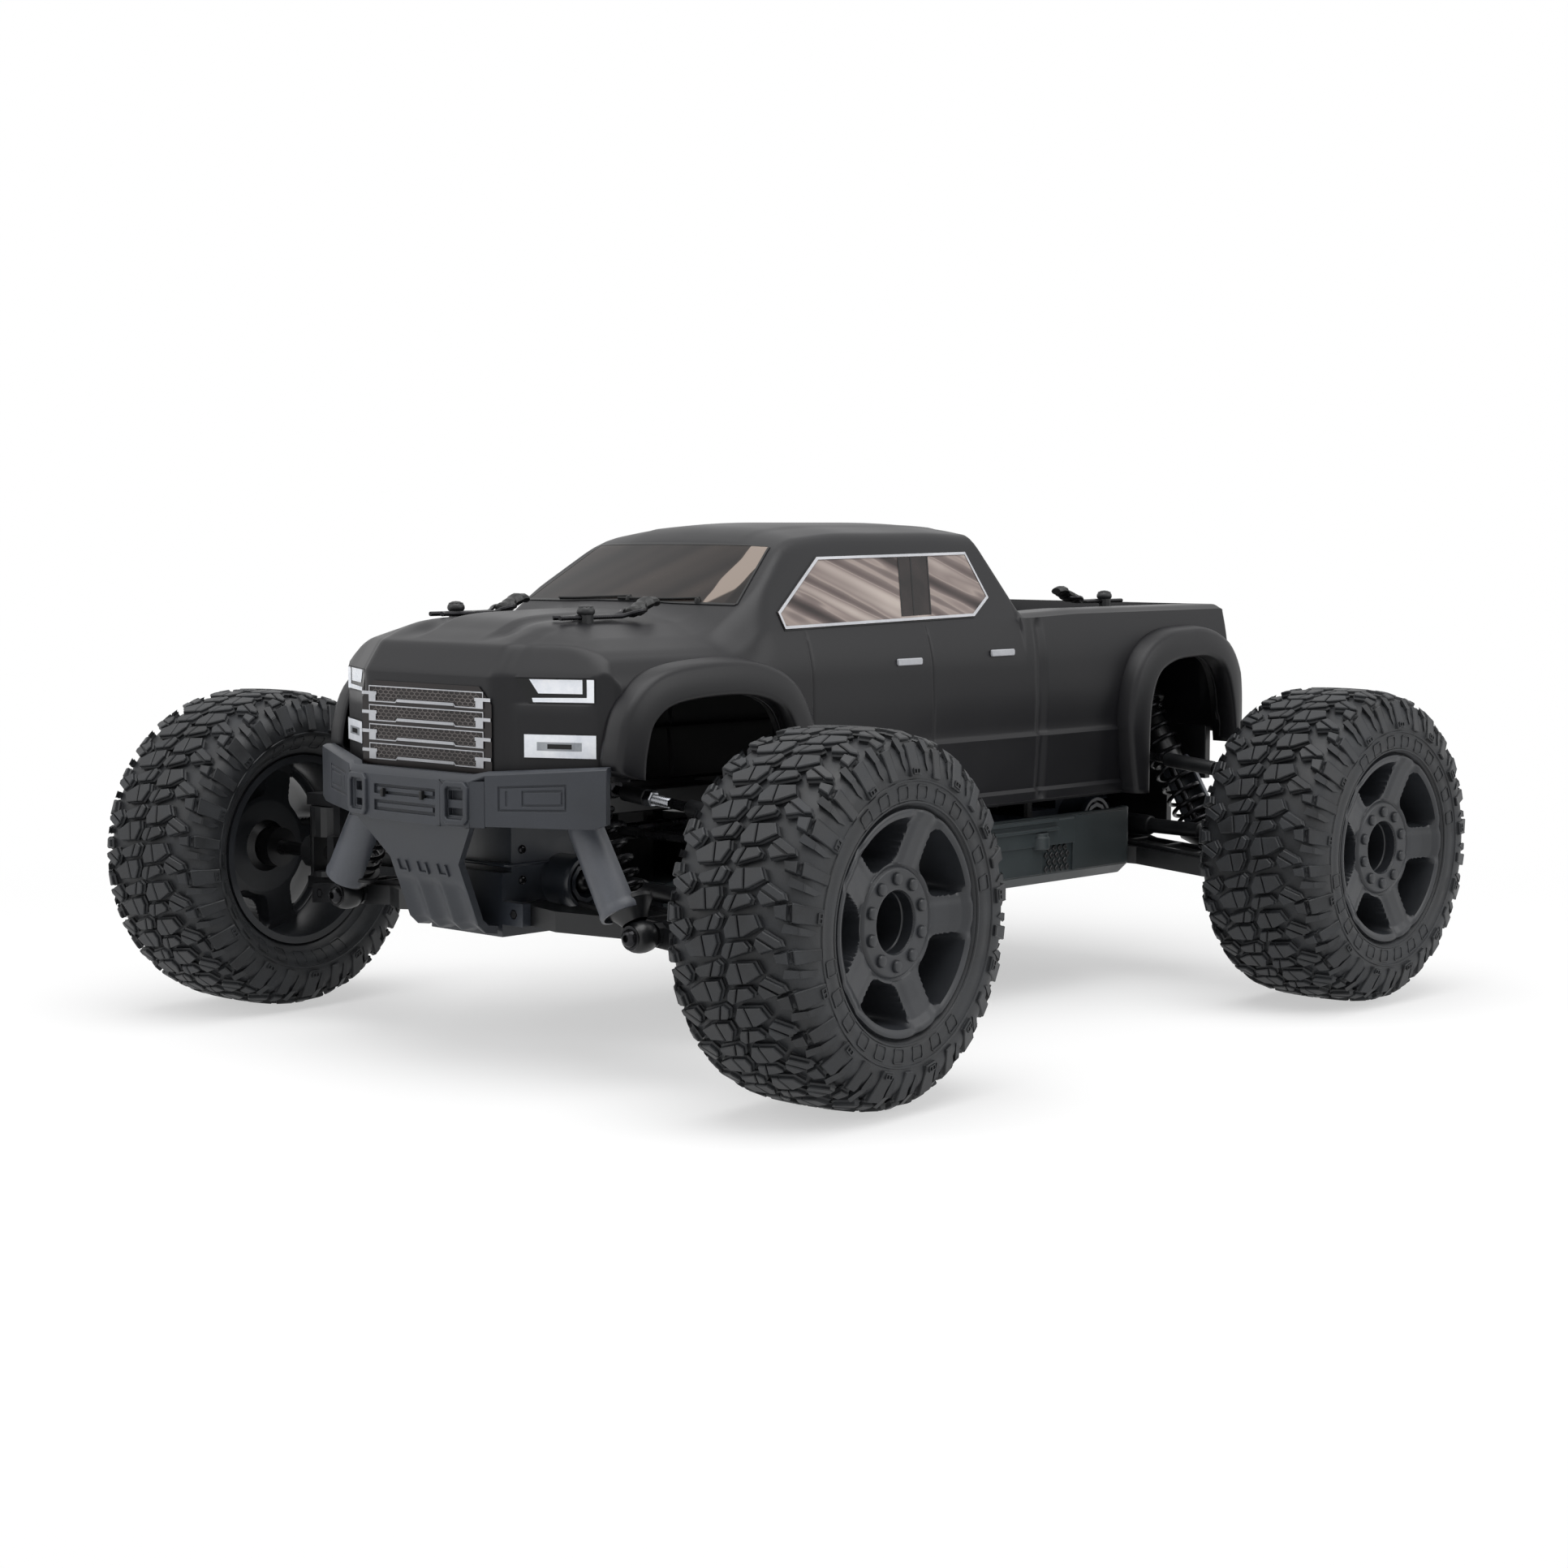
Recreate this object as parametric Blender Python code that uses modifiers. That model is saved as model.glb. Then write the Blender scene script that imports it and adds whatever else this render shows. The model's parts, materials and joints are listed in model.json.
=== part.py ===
# Four-wheel-drive radio-controlled monster truck with a crew-cab pick-up body, in metres.
# +X is forward, +Y is the truck's left, +Z is up; the origin is on the ground under the wheelbase centre.
# At each axle, u runs outward from the axle line along X, and v runs outward from the middle along Y.
import math

import bmesh
import bpy
from mathutils import Matrix, Vector

# Wheels and stance
WHEELBASE = 0.328
TRACK = 0.3436
TYRE_RADIUS = 0.0693
TYRE_WIDTH = 0.066
TYRE_WALL = 0.0034
LUG_DEPTH = 0.0032
TYRE_SHIFT = 0.0030
CARCASS_SHARE = 0.60
SIDEWALL_SHARE = 0.45
BEAD_SHARE = 1.2
TREAD_TILES = 26
TREAD_PHASE_SHARE = 0.40
TREAD_TURN_SHARE = 0.11
# Tread columns: share of the section height, share of the half width, lug rise, lug spread
BLOCK_INNER = (1.0, 0.045, 1.0, 0.0)
BLOCK_OUTER = (0.985, 0.50, 0.97, 0.25)
BAR_SHOULDER = (0.83, 0.86, 0.62, 0.75)
BAR_END = (0.42, 0.99, 0.10, 0.70)
# Lug edges along one tile, as shares of its length
BLOCK_INNER_EDGES = (0.10, 0.96)
BLOCK_OUTER_EDGES = (0.03, 0.42, 0.80)
BAR_SHOULDER_EDGES = (0.69, 1.08)
BAR_END_EDGES = (0.79, 1.21)
WHEEL_STEPS = 20
RIM_RADIUS = 0.0413
RIM_WIDTH = 0.0545
RIM_WALL = 0.0030
RIM_LIP = 0.0024
RIM_SEAT_DROP = 0.0008
RIM_DISH = 0.0060
HUB_FACE_DROP = 0.0020
HUB_BACK = 0.0090
SPOKE_BACK = 0.0120
SPOKES = 5
SPOKE_WIDTH = 0.011
HUB_RADIUS = 0.0199
HUB_BORE_RADIUS = 0.0113
STUB_AXLE_RADIUS = 0.0030
STEER_AT_REST = math.radians(5.0)

# Clearances
GAP = 0.0003
RUN = 0.0005
PIN_PLAY = 0.0005
ROUND = 10
PIN_SIDES = 6

# Suspension, measured from the axle and the middle of the truck
KINGPIN_OFFSET = 0.0460
PIN_TO_KINGPIN = 0.0080
INNER_PIN_DROP = 0.0093
OUTER_PIN_DROP = 0.0158
PIN_RADIUS = 0.0016
ARM_HALF_LENGTH = 0.0260
ARM_LEG = 0.0118
ARM_BARREL = 0.0045
ARM_THICKNESS = 0.0080
ARM_TIP_HALF = 0.0128
FORK_WALL = 0.0053
SHOCK_U = 0.0205
SHOCK_FOOT_V = 0.0889
SHOCK_FOOT_DROP = 0.0128
SHOCK_HEAD_V = 0.0360
SHOCK_HEAD_RISE = 0.0752
LINK_INNER_V = 0.0400
LINK_INNER_RISE = 0.0375
LINK_OUTER_RISE = 0.0297
LINK_RADIUS = 0.0020
ROD_END_RADIUS = 0.0038
ROD_END_WIDTH = 0.0070
HALFSHAFT_RADIUS = 0.0020
HALFSHAFT_BALL = 0.0040
OUTPUT_RISE = 0.0105

# Uprights
UPRIGHT_HALF = 0.0060
UPRIGHT_WEB = 0.0045
KNUCKLE_RADIUS = 0.0090
JAW_THICKNESS = 0.0050
KNUCKLE_TOP_RISE = 0.0202
POCKET_HALF = 0.0074
STEER_ARM = 0.0220
STEER_ARM_RISE = 0.0107
STEER_ARM_THICKNESS = 0.0040

# Shock absorbers, along the damper from its upper eye
EYE_RADIUS = 0.0048
EYE_HALF = 0.0055
DAMPER_RADIUS = 0.0068
DAMPER_END = 0.0550
DAMPER_ROD_RADIUS = 0.0018
DAMPER_ROD_TOP = 0.0380
DAMPER_BORE_TOP = 0.0165
UPPER_PERCH = 0.0215
LOWER_PERCH = 0.0780
PERCH_RADIUS = 0.0112
PERCH_THICKNESS = 0.0030
GUARD_TOP = 0.0640
GUARD_WALL = 0.0015
SPRING_RADIUS = 0.0092
SPRING_WIRE = 0.0008
SPRING_CURLS = 6
SPRING_POINTS = 8

# Chassis and drive line
FLOOR_DROP = 0.0188
FLOOR_THICKNESS = 0.0030
TUB_HALF_WIDTH = 0.0740
TUB_END_HALF_WIDTH = 0.0480
TUB_WALL = 0.0025
TUB_HEIGHT = 0.0305
TUB_END_HEIGHT = 0.0175
POD_FRONT_X = 0.1050
POD_OVERHANG = 0.0100
GEARBOX_HALF_WIDTH = 0.0215
GEARBOX_PIN_GAP = 0.0065
GEARBOX_LUG = 0.0040
GEARBOX_SHOULDER_RISE = 0.0062
GEARBOX_TOP_RISE = 0.0307
GEARBOX_NOSE_U = 0.0255
GEARBOX_INPUT_U = -0.0120
OUTPUT_BOSS_RADIUS = 0.0080
OUTPUT_BORE_RADIUS = 0.0062
OUTPUT_BOSS_V = 0.0370
SHAFT_RISE = 0.0152
SHAFT_RADIUS = 0.0025
GEAR_MODULE = 0.0017
GEAR_TIP_SHARE = 0.7
GEAR_FOOT_SHARE = 0.30
GEAR_POINT_SHARE = 0.10
SPUR_TEETH = 30
PINION_TEETH = 10
GEAR_WIDTH = 0.0080
GEAR_X = -0.0615
MOTOR_RADIUS = 0.0180
MOTOR_LENGTH = 0.0510
MOTOR_SHAFT_RADIUS = 0.0016
BATTERY_SIZE = (0.138, 0.0415, 0.0250)
BATTERY_X = -0.0160
CONTROLLER_SIZE = (0.065, 0.0360, 0.0270)
CONTROLLER_X = -0.0125
SERVO_SIZE = (0.041, 0.0200, 0.0250)
SERVO_Y = -0.0185
SERVO_HORN_SETBACK = 0.0240
LINKAGE_THICKNESS = 0.0022
DRAG_LINK_OVERHANG = 0.0030
DRAG_LINK_WIDTH = 0.0100

# Shock towers, body posts and clips
TOWER_THICKNESS = 0.0040
TOWER_FOOT_HALF = 0.0300
POST_U = 0.0015
POST_V = 0.0390
POST_RADIUS = 0.0030
POST_TOP = 0.1785
CLIP_Z = 0.1742
CLIP_WIRE = 0.0006
CLIP_TIP = 0.0135
CLIP_RING = 0.0300
CLIP_RING_RADIUS = 0.0048

# Front bumper and skid
BUMPER_NOSE_X = 0.2245
BUMPER_FLAT_HALF = 0.0376
BUMPER_TIP_X = 0.1985
BUMPER_TIP_V = 0.0856
BUMPER_WALL = 0.0040
BUMPER_LOW_Z = 0.0948
BUMPER_TOP_Z = 0.1133
BUMPER_TIP_RISE = 0.0047
SKID_TOP_HALF = 0.0335
SKID_LOW_HALF = 0.0205
SKID_WALL = 0.0050
SKID_BEND_Z = 0.0806
SKID_BEND_X = 0.2160

# Body shell
SHELL_WALL = 0.0016
NOSE_X = 0.2135
NOSE_HALF = 0.0375
CHEEK_X = 0.1927
CHEEK_V = 0.0746
FENDER_X = 0.1830
SIDE_V = 0.0815
ROCKER_V = 0.0775
ROCKER_Z = 0.0885
CREASE_Z = 0.1190
NOSE_LOW_Z = 0.1138
NOSE_TOP_Z = 0.1522
HOOD_Z = 0.1765
HOOD_EDGE_Z = 0.1710
HOOD_EDGE_V = 0.0380
FENDER_Z = 0.1610
FENDER_V = 0.0720
SCREEN_BASE_X = 0.1090
SCREEN_TOP_X = 0.0695
ROOF_Z = 0.2120
ROOF_V = 0.0540
CAB_REAR_TOP_X = -0.0480
CAB_REAR_LOW_X = -0.0600
BELT_Z = 0.1680
BELT_V = 0.0750
TAIL_X = -0.2110
TAIL_LOW_Z = 0.1120
RAIL_Z = 0.1725
RAIL_V = 0.0570
BED_FLOOR_Z = 0.1660
BED_TAIL_WALL = 0.0060
# Steps from the named shell sizes to the corners between them.
ROCKER_SKIRT = 0.0500
ROCKER_RISE = 0.0060
SIDE_TUCK = 0.0015
WAIST_TUCK = 0.0010
WAIST_RISE = 0.0080
FENDER_STEP_V = 0.0040
FENDER_STEP_Z = 0.0030
HOOD_STEP_V = 0.0120
HOOD_STEP_Z = 0.0020
HOOD_CROWN_SHARE = 0.58
HOOD_CROWN_DROP = 0.0010
SHELL_OVER = 0.0010
FENDER_TOE = 0.0080
NOSE_BEND_RUN = 0.0080
NOSE_BEND_RISE = 0.0110
HOOD_FRONT_RUN = 0.0170
HOOD_FRONT_RISE = 0.0155
HOOD_TOP_RUN = 0.0320
HOOD_TOP_DROP = 0.0020
CAB_FOOT_RUN = 0.0300
BED_UNDER_RUN = 0.0150
BED_UNDER_DROP = 0.0040
TAIL_UNDER_DROP = 0.0060
TAIL_LEAN = 0.0030
TAIL_CORNER_RUN = 0.0050
TAIL_CORNER_V = 0.0070
NOSE_LIP = 0.0040
BED_TUCK = 0.0040
BED_SIDE_TUCK = 0.0012
BED_SIDE_DROP = 0.0130
RAIL_ROUND_Z = 0.0030
RAIL_STEP_V = 0.0080
BED_LAP = 0.0200
BED_FOOT_RISE = 0.0100
TAIL_TOP_RUN = 0.0100
TAIL_ROUND_RUN = 0.0020
TAIL_ROUND_DROP = 0.0040
TAIL_TOP_DROP = 0.0100
TAIL_FOOT_RUN = 0.0060
CAB_SILL_DROP = 0.0120
CAB_SKIRT = 0.0100
ROOF_EDGE_OUT = 0.0020
ROOF_EDGE_DROP = 0.0070
ROOF_CROWN_IN = 0.0060
ROOF_CROWN_DROP = 0.0012
COWL_RUN = 0.0120
COWL_STEP_RUN = 0.0080
COWL_STEP_DROP = 0.0060
SCREEN_TOP_DROP = 0.0080
ROOF_FRONT_RUN = 0.0100
ROOF_FRONT_DROP = 0.0015
ROOF_REAR_RUN = 0.0100
ROOF_REAR_DROP = 0.0040
CAB_LAP = 0.0020
FLARE_V = 0.0900
FLARE_BAND = 0.0095
ARCH_LEG = 0.0040

# Places worked out from the sizes above
AXLE_X = WHEELBASE / 2
AXLE_Z = TYRE_RADIUS
WHEEL_V = TRACK / 2
KINGPIN_V = WHEEL_V - KINGPIN_OFFSET
OUTER_PIN_V = KINGPIN_V - PIN_TO_KINGPIN
OUTER_PIN_Z = AXLE_Z - OUTER_PIN_DROP
INNER_PIN_V = GEARBOX_HALF_WIDTH + GEARBOX_PIN_GAP
INNER_PIN_Z = AXLE_Z - INNER_PIN_DROP
OUTPUT_Z = INNER_PIN_Z + OUTPUT_RISE
FLOOR_Z = AXLE_Z - FLOOR_DROP
FLOOR_TOP = FLOOR_Z + FLOOR_THICKNESS
SHAFT_Z = AXLE_Z + SHAFT_RISE
GEARBOX_HALF_LENGTH = ARM_HALF_LENGTH + GAP + GEARBOX_LUG
GEARBOX_TOP_Z = AXLE_Z + GEARBOX_TOP_RISE
GEARBOX_SHOULDER_Z = AXLE_Z + GEARBOX_SHOULDER_RISE
TUB_END_X = AXLE_X - GEARBOX_HALF_LENGTH - RUN
SHOCK_FOOT_Z = AXLE_Z - SHOCK_FOOT_DROP
SHOCK_HEAD_Z = AXLE_Z + SHOCK_HEAD_RISE
SHOCK_LENGTH = math.hypot(SHOCK_FOOT_V - SHOCK_HEAD_V, SHOCK_HEAD_Z - SHOCK_FOOT_Z)
SHOCK_LEAN = math.atan2(SHOCK_FOOT_V - SHOCK_HEAD_V, SHOCK_HEAD_Z - SHOCK_FOOT_Z)
TOWER_FACE_U = SHOCK_U - PERCH_RADIUS - 3 * RUN
EYE_FACE_U = SHOCK_U - EYE_HALF
UPRIGHT_INNER_V = KINGPIN_V - KNUCKLE_RADIUS - RUN - UPRIGHT_WEB
UPRIGHT_OUTER_V = KINGPIN_V + KNUCKLE_RADIUS
KNUCKLE_LOW_Z = OUTER_PIN_Z + ARM_BARREL + 3 * RUN
KNUCKLE_HIGH_Z = AXLE_Z + KNUCKLE_TOP_RISE
LINK_U = -(UPRIGHT_HALF + RUN + ROD_END_WIDTH / 2)
LINK_INNER_Z = AXLE_Z + LINK_INNER_RISE
LINK_OUTER_Z = AXLE_Z + LINK_OUTER_RISE
LINK_OUTER_V = (UPRIGHT_INNER_V + KINGPIN_V) / 2
STEER_ARM_Z = AXLE_Z + STEER_ARM_RISE
TIE_ROD_Z = STEER_ARM_Z + STEER_ARM_THICKNESS + 2 * RUN + ROD_END_RADIUS
TIE_ROD_INNER_V = INNER_PIN_V + ROD_END_RADIUS
STEER_SHIFT = -STEER_ARM * math.sin(STEER_AT_REST)
DRAG_LINK_Z = GEARBOX_SHOULDER_Z + 2 * RUN
SAVER_Z = DRAG_LINK_Z + LINKAGE_THICKNESS + GAP
SERVO_HORN_X = AXLE_X - STEER_ARM - SERVO_HORN_SETBACK
GEAR_CENTRES = GEAR_MODULE * (SPUR_TEETH + PINION_TEETH) / 2
MOTOR_Z = FLOOR_TOP + MOTOR_RADIUS + RUN
MOTOR_Y = -math.sqrt(GEAR_CENTRES ** 2 - (SHAFT_Z - MOTOR_Z) ** 2)
FRONT, REAR = 1, -1
LEFT, RIGHT = 1, -1
END_NAMES = {FRONT: "front", REAR: "rear"}
SIDE_NAMES = {LEFT: "left", RIGHT: "right"}

# Wheel arch openings as distances outward along X from the axle and heights
FRONT_ARCH = (
    (0.0175, NOSE_LOW_Z + 0.003),
    (0.0160, NOSE_LOW_Z + 0.012),
    (0.0115, 0.1370),
    (-0.0020, 0.1435),
    (-0.0350, 0.1450),
    (-0.0560, 0.1400),
    (-0.0650, 0.1280),
    (-0.0720, 0.1080),
    (-0.0740, ROCKER_Z - ARCH_LEG),
)
REAR_ARCH = (
    (-0.0300, ROCKER_Z - ARCH_LEG),
    (-0.0290, 0.1100),
    (-0.0265, 0.1300),
    (-0.0190, 0.1440),
    (-0.0040, 0.1490),
    (0.0160, 0.1490),
    (0.0280, 0.1440),
    (0.0350, 0.1300),
    (0.0385, TAIL_LOW_Z - ARCH_LEG),
)

# Base colour, roughness and metallic value of each finish
FINISHES = {
    "shell_polycarbonate": ((0.018, 0.018, 0.020), 0.55, 0.0),
    "chassis_nylon": ((0.045, 0.052, 0.055), 0.55, 0.0),
    "bumper_nylon": ((0.030, 0.032, 0.036), 0.60, 0.0),
    "arm_nylon": ((0.022, 0.022, 0.024), 0.55, 0.0),
    "gearbox_nylon": ((0.035, 0.038, 0.042), 0.50, 0.0),
    "upright_nylon": ((0.022, 0.022, 0.024), 0.50, 0.0),
    "wheel_nylon": ((0.020, 0.020, 0.022), 0.45, 0.0),
    "tyre_rubber": ((0.022, 0.022, 0.024), 0.85, 0.0),
    "damper_aluminium": ((0.020, 0.020, 0.022), 0.35, 1.0),
    "spring_steel": ((0.020, 0.020, 0.022), 0.35, 1.0),
    "link_steel": ((0.55, 0.55, 0.57), 0.25, 1.0),
    "shaft_steel": ((0.30, 0.30, 0.31), 0.35, 1.0),
    "clip_wire": ((0.040, 0.040, 0.042), 0.35, 1.0),
    "motor_can": ((0.05, 0.05, 0.055), 0.40, 1.0),
    "battery_wrap": ((0.05, 0.06, 0.10), 0.45, 0.0),
    "controller_case": ((0.03, 0.03, 0.03), 0.50, 0.0),
    "servo_case": ((0.03, 0.03, 0.03), 0.45, 0.0),
    "gear_nylon": ((0.08, 0.08, 0.08), 0.45, 0.0),
    "pinion_steel": ((0.35, 0.35, 0.36), 0.35, 1.0),
}


# Modelling helpers
def add_object(name, mesh):
    obj = bpy.data.objects.new(name, mesh)
    PARTS.objects.link(obj)
    return obj


def from_bmesh(name, bm):
    mesh = bpy.data.meshes.new(name)
    bmesh.ops.recalc_face_normals(bm, faces=bm.faces)
    bm.to_mesh(mesh)
    bm.free()
    return add_object(name, mesh)


def box(name, a, b):
    bm = bmesh.new()
    bmesh.ops.create_cube(bm, size=1.0)
    spans = Vector(abs(q - p) for p, q in zip(a, b))
    place = Matrix.Translation((Vector(a) + Vector(b)) / 2) @ Matrix.Diagonal(spans).to_4x4()
    bmesh.ops.transform(bm, matrix=place, verts=bm.verts)
    return from_bmesh(name, bm)


def rod(name, a, b, radius, sides=ROUND):
    a, b = Vector(a), Vector(b)
    bm = bmesh.new()
    bmesh.ops.create_cone(
        bm, cap_ends=True, segments=sides, radius1=radius, radius2=radius, depth=(b - a).length
    )
    turn = Vector((0, 0, 1)).rotation_difference(b - a).to_matrix().to_4x4()
    bmesh.ops.transform(bm, matrix=Matrix.Translation((a + b) / 2) @ turn, verts=bm.verts)
    return from_bmesh(name, bm)


def ball(name, centre, radius):
    bm = bmesh.new()
    bmesh.ops.create_uvsphere(bm, u_segments=8, v_segments=4, radius=radius)
    bmesh.ops.translate(bm, vec=Vector(centre), verts=bm.verts)
    return from_bmesh(name, bm)


def bake(obj):
    graph = bpy.context.evaluated_depsgraph_get()
    mesh = bpy.data.meshes.new_from_object(obj.evaluated_get(graph))
    old = obj.data
    if obj.type == "MESH":
        obj.modifiers.clear()
        obj.data = mesh
        bpy.data.meshes.remove(old)
        return obj
    name = obj.name
    bpy.data.objects.remove(obj)
    return add_object(name, mesh)


def weld(obj):
    bm = bmesh.new()
    bm.from_mesh(obj.data)
    bmesh.ops.remove_doubles(bm, verts=bm.verts, dist=1e-6)
    bmesh.ops.recalc_face_normals(bm, faces=bm.faces)
    bm.to_mesh(obj.data)
    bm.free()
    return obj


def new_curve(name, points, cyclic):
    curve = bpy.data.curves.new(name, "CURVE")
    spline = curve.splines.new("POLY")
    spline.points.add(len(points) - 1)
    for target, point in zip(spline.points, points):
        target.co = (*point, 1.0)
    spline.use_cyclic_u = cyclic
    return curve


# A flat outline swept from low to high along one axis; outline pairs are the other two axes in order.
def plate(name, outline, low, high, axis):
    curve = new_curve(name, [(p, q, 0.0) for p, q in outline], True)
    curve.dimensions = "2D"
    curve.fill_mode = "BOTH"
    curve.extrude = abs(high - low) / 2
    obj = weld(bake(add_object(name, curve)))
    rows = {
        "X": ((0, 0, 1), (1, 0, 0), (0, 1, 0)),
        "Y": ((1, 0, 0), (0, 0, 1), (0, 1, 0)),
        "Z": ((1, 0, 0), (0, 1, 0), (0, 0, 1)),
    }
    middle = {"X": (1, 0, 0), "Y": (0, 1, 0), "Z": (0, 0, 1)}[axis]
    shift = Matrix.Translation(Vector(middle) * (low + high) / 2)
    obj.data.transform(shift @ Matrix(rows[axis]).to_4x4())
    return weld(obj)


def tube(name, points, radius, resolution):
    curve = new_curve(name, points, False)
    curve.dimensions = "3D"
    curve.bevel_depth = radius
    curve.bevel_resolution = resolution
    curve.use_fill_caps = True
    return weld(bake(add_object(name, curve)))


# A (radius, height) profile, listed from top to bottom, turned about Z.
def turned(name, profile, steps, closed=False):
    count = len(profile)
    edges = [(i, i + 1) for i in range(count - 1)]
    if closed:
        edges.append((count - 1, 0))
    mesh = bpy.data.meshes.new(name)
    mesh.from_pydata([(r, 0.0, z) for r, z in profile], edges, [])
    obj = add_object(name, mesh)
    screw = obj.modifiers.new("turn", "SCREW")
    screw.axis = "Z"
    screw.steps = steps
    screw.render_steps = steps
    screw.use_merge_vertices = True
    screw.merge_threshold = 1e-5
    return weld(bake(obj))


def combine(target, tools, operation):
    for tool in tools:
        modifier = target.modifiers.new("shape", "BOOLEAN")
        modifier.operation = operation
        modifier.solver = "EXACT"
        modifier.object = tool
    bpy.context.view_layer.update()
    bake(target)
    for tool in tools:
        bpy.data.objects.remove(tool)
    return target


def join(target, *tools):
    return combine(target, tools, "UNION")


def cut(target, *tools):
    return combine(target, tools, "DIFFERENCE")


def keep_common(target, *tools):
    return combine(target, tools, "INTERSECT")


# Moves a polygon's sides inwards by a distance, with mitred corners.
def inset(outline, distance):
    area = sum(a[0] * b[1] - b[0] * a[1] for a, b in zip(outline, outline[1:] + outline[:1]))
    turn = math.copysign(distance, area)
    result = []
    for i, here in enumerate(outline):
        before = Vector(here) - Vector(outline[i - 1])
        after = Vector(outline[(i + 1) % len(outline)]) - Vector(here)
        n1 = Vector((-before.y, before.x)).normalized()
        n2 = Vector((-after.y, after.x)).normalized()
        shift = (n1 + n2) * (turn / (1.0 + n1.dot(n2)))
        result.append((here[0] + shift.x, here[1] + shift.y))
    return result


def mirrored(half):
    return half + [(-p, q) for p, q in reversed(half) if p > 1e-9]


def finish(obj, finish_name):
    material = bpy.data.materials.get(finish_name)
    if material is None:
        colour, roughness, metallic = FINISHES[finish_name]
        material = bpy.data.materials.new(finish_name)
        material.use_nodes = True
        shader = material.node_tree.nodes["Principled BSDF"]
        shader.inputs["Base Color"].default_value = (*colour, 1.0)
        shader.inputs["Roughness"].default_value = roughness
        shader.inputs["Metallic"].default_value = metallic
    obj.data.materials.clear()
    obj.data.materials.append(material)
    return obj


# Puts an object's origin on its joint axis and hangs it on its parent.
def hang(obj, pivot, parent):
    obj.data.transform(Matrix.Translation(-Vector(pivot)))
    obj.location = pivot
    bpy.context.view_layer.update()
    obj.parent = parent
    obj.matrix_parent_inverse = parent.matrix_world.inverted()
    return obj


def smooth(obj):
    obj.data.shade_smooth()
    obj.data.set_sharp_from_angle(angle=math.radians(40))
    return obj


# A point at one axle: end and side pick the corner.
def at(end, side, u, v, z):
    return (end * (AXLE_X + u), side * v, z)


# Chassis pieces
def make_tub():
    half = [
        (TUB_END_X, TUB_END_HALF_WIDTH),
        (POD_FRONT_X, TUB_HALF_WIDTH),
        (-TUB_END_X - POD_OVERHANG, TUB_HALF_WIDTH),
        (-TUB_END_X - POD_OVERHANG, TUB_END_HALF_WIDTH + POD_OVERHANG),
        (-TUB_END_X, TUB_END_HALF_WIDTH),
    ]
    outline = half + [(x, -y) for x, y in reversed(half)]
    tub = plate("chassis_tub", outline, FLOOR_Z, FLOOR_Z + TUB_HEIGHT, "Z")
    tray = plate("tray", inset(outline, TUB_WALL), FLOOR_TOP, FLOOR_Z + 2 * TUB_HEIGHT, "Z")
    notches = [
        box(
            "end_notch",
            (end * POD_FRONT_X, -TUB_END_HALF_WIDTH + TUB_WALL, FLOOR_Z + TUB_END_HEIGHT),
            (end * (TUB_END_X + POD_OVERHANG / 2), TUB_END_HALF_WIDTH - TUB_WALL, FLOOR_Z + 2 * TUB_HEIGHT),
        )
        for end in (FRONT, REAR)
    ]
    return finish(cut(tub, tray, *notches), "chassis_nylon")


def make_gearbox(end):
    half_width = GEARBOX_HALF_WIDTH
    length = GEARBOX_HALF_LENGTH
    case = box(
        END_NAMES[end] + "_gearbox",
        at(end, LEFT, -length, half_width, FLOOR_Z),
        at(end, RIGHT, length, half_width, GEARBOX_SHOULDER_Z),
    )
    upper = box(
        "upper_case",
        at(end, LEFT, GEARBOX_INPUT_U, half_width, GEARBOX_SHOULDER_Z - 2 * GEARBOX_LUG),
        at(end, RIGHT, GEARBOX_NOSE_U, half_width, GEARBOX_TOP_Z),
    )
    lug_v = INNER_PIN_V + ARM_BARREL + 2 * RUN
    lugs = [
        box(
            "pin_lug",
            at(end, LEFT, sign * length, lug_v, INNER_PIN_Z - ARM_BARREL),
            at(end, RIGHT, sign * (length - GEARBOX_LUG), lug_v, INNER_PIN_Z + ARM_BARREL),
        )
        for sign in (1, -1)
    ]
    boss = rod(
        "output_boss",
        at(end, LEFT, 0, OUTPUT_BOSS_V, OUTPUT_Z),
        at(end, RIGHT, 0, OUTPUT_BOSS_V, OUTPUT_Z),
        OUTPUT_BOSS_RADIUS,
    )
    join(case, upper, boss, *lugs)
    for side in (LEFT, RIGHT):
        bore = rod(
            "output_bore",
            at(end, side, 0, half_width + 4 * RUN, OUTPUT_Z),
            at(end, side, 0, OUTPUT_BOSS_V + GEARBOX_LUG, OUTPUT_Z),
            OUTPUT_BORE_RADIUS,
        )
        pin_hole = rod(
            "pin_hole",
            at(end, side, -length - RUN, INNER_PIN_V, INNER_PIN_Z),
            at(end, side, length + RUN, INNER_PIN_V, INNER_PIN_Z),
            PIN_RADIUS + PIN_PLAY,
            PIN_SIDES,
        )
        cut(case, bore, pin_hole)
    return finish(case, "gearbox_nylon")


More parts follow.
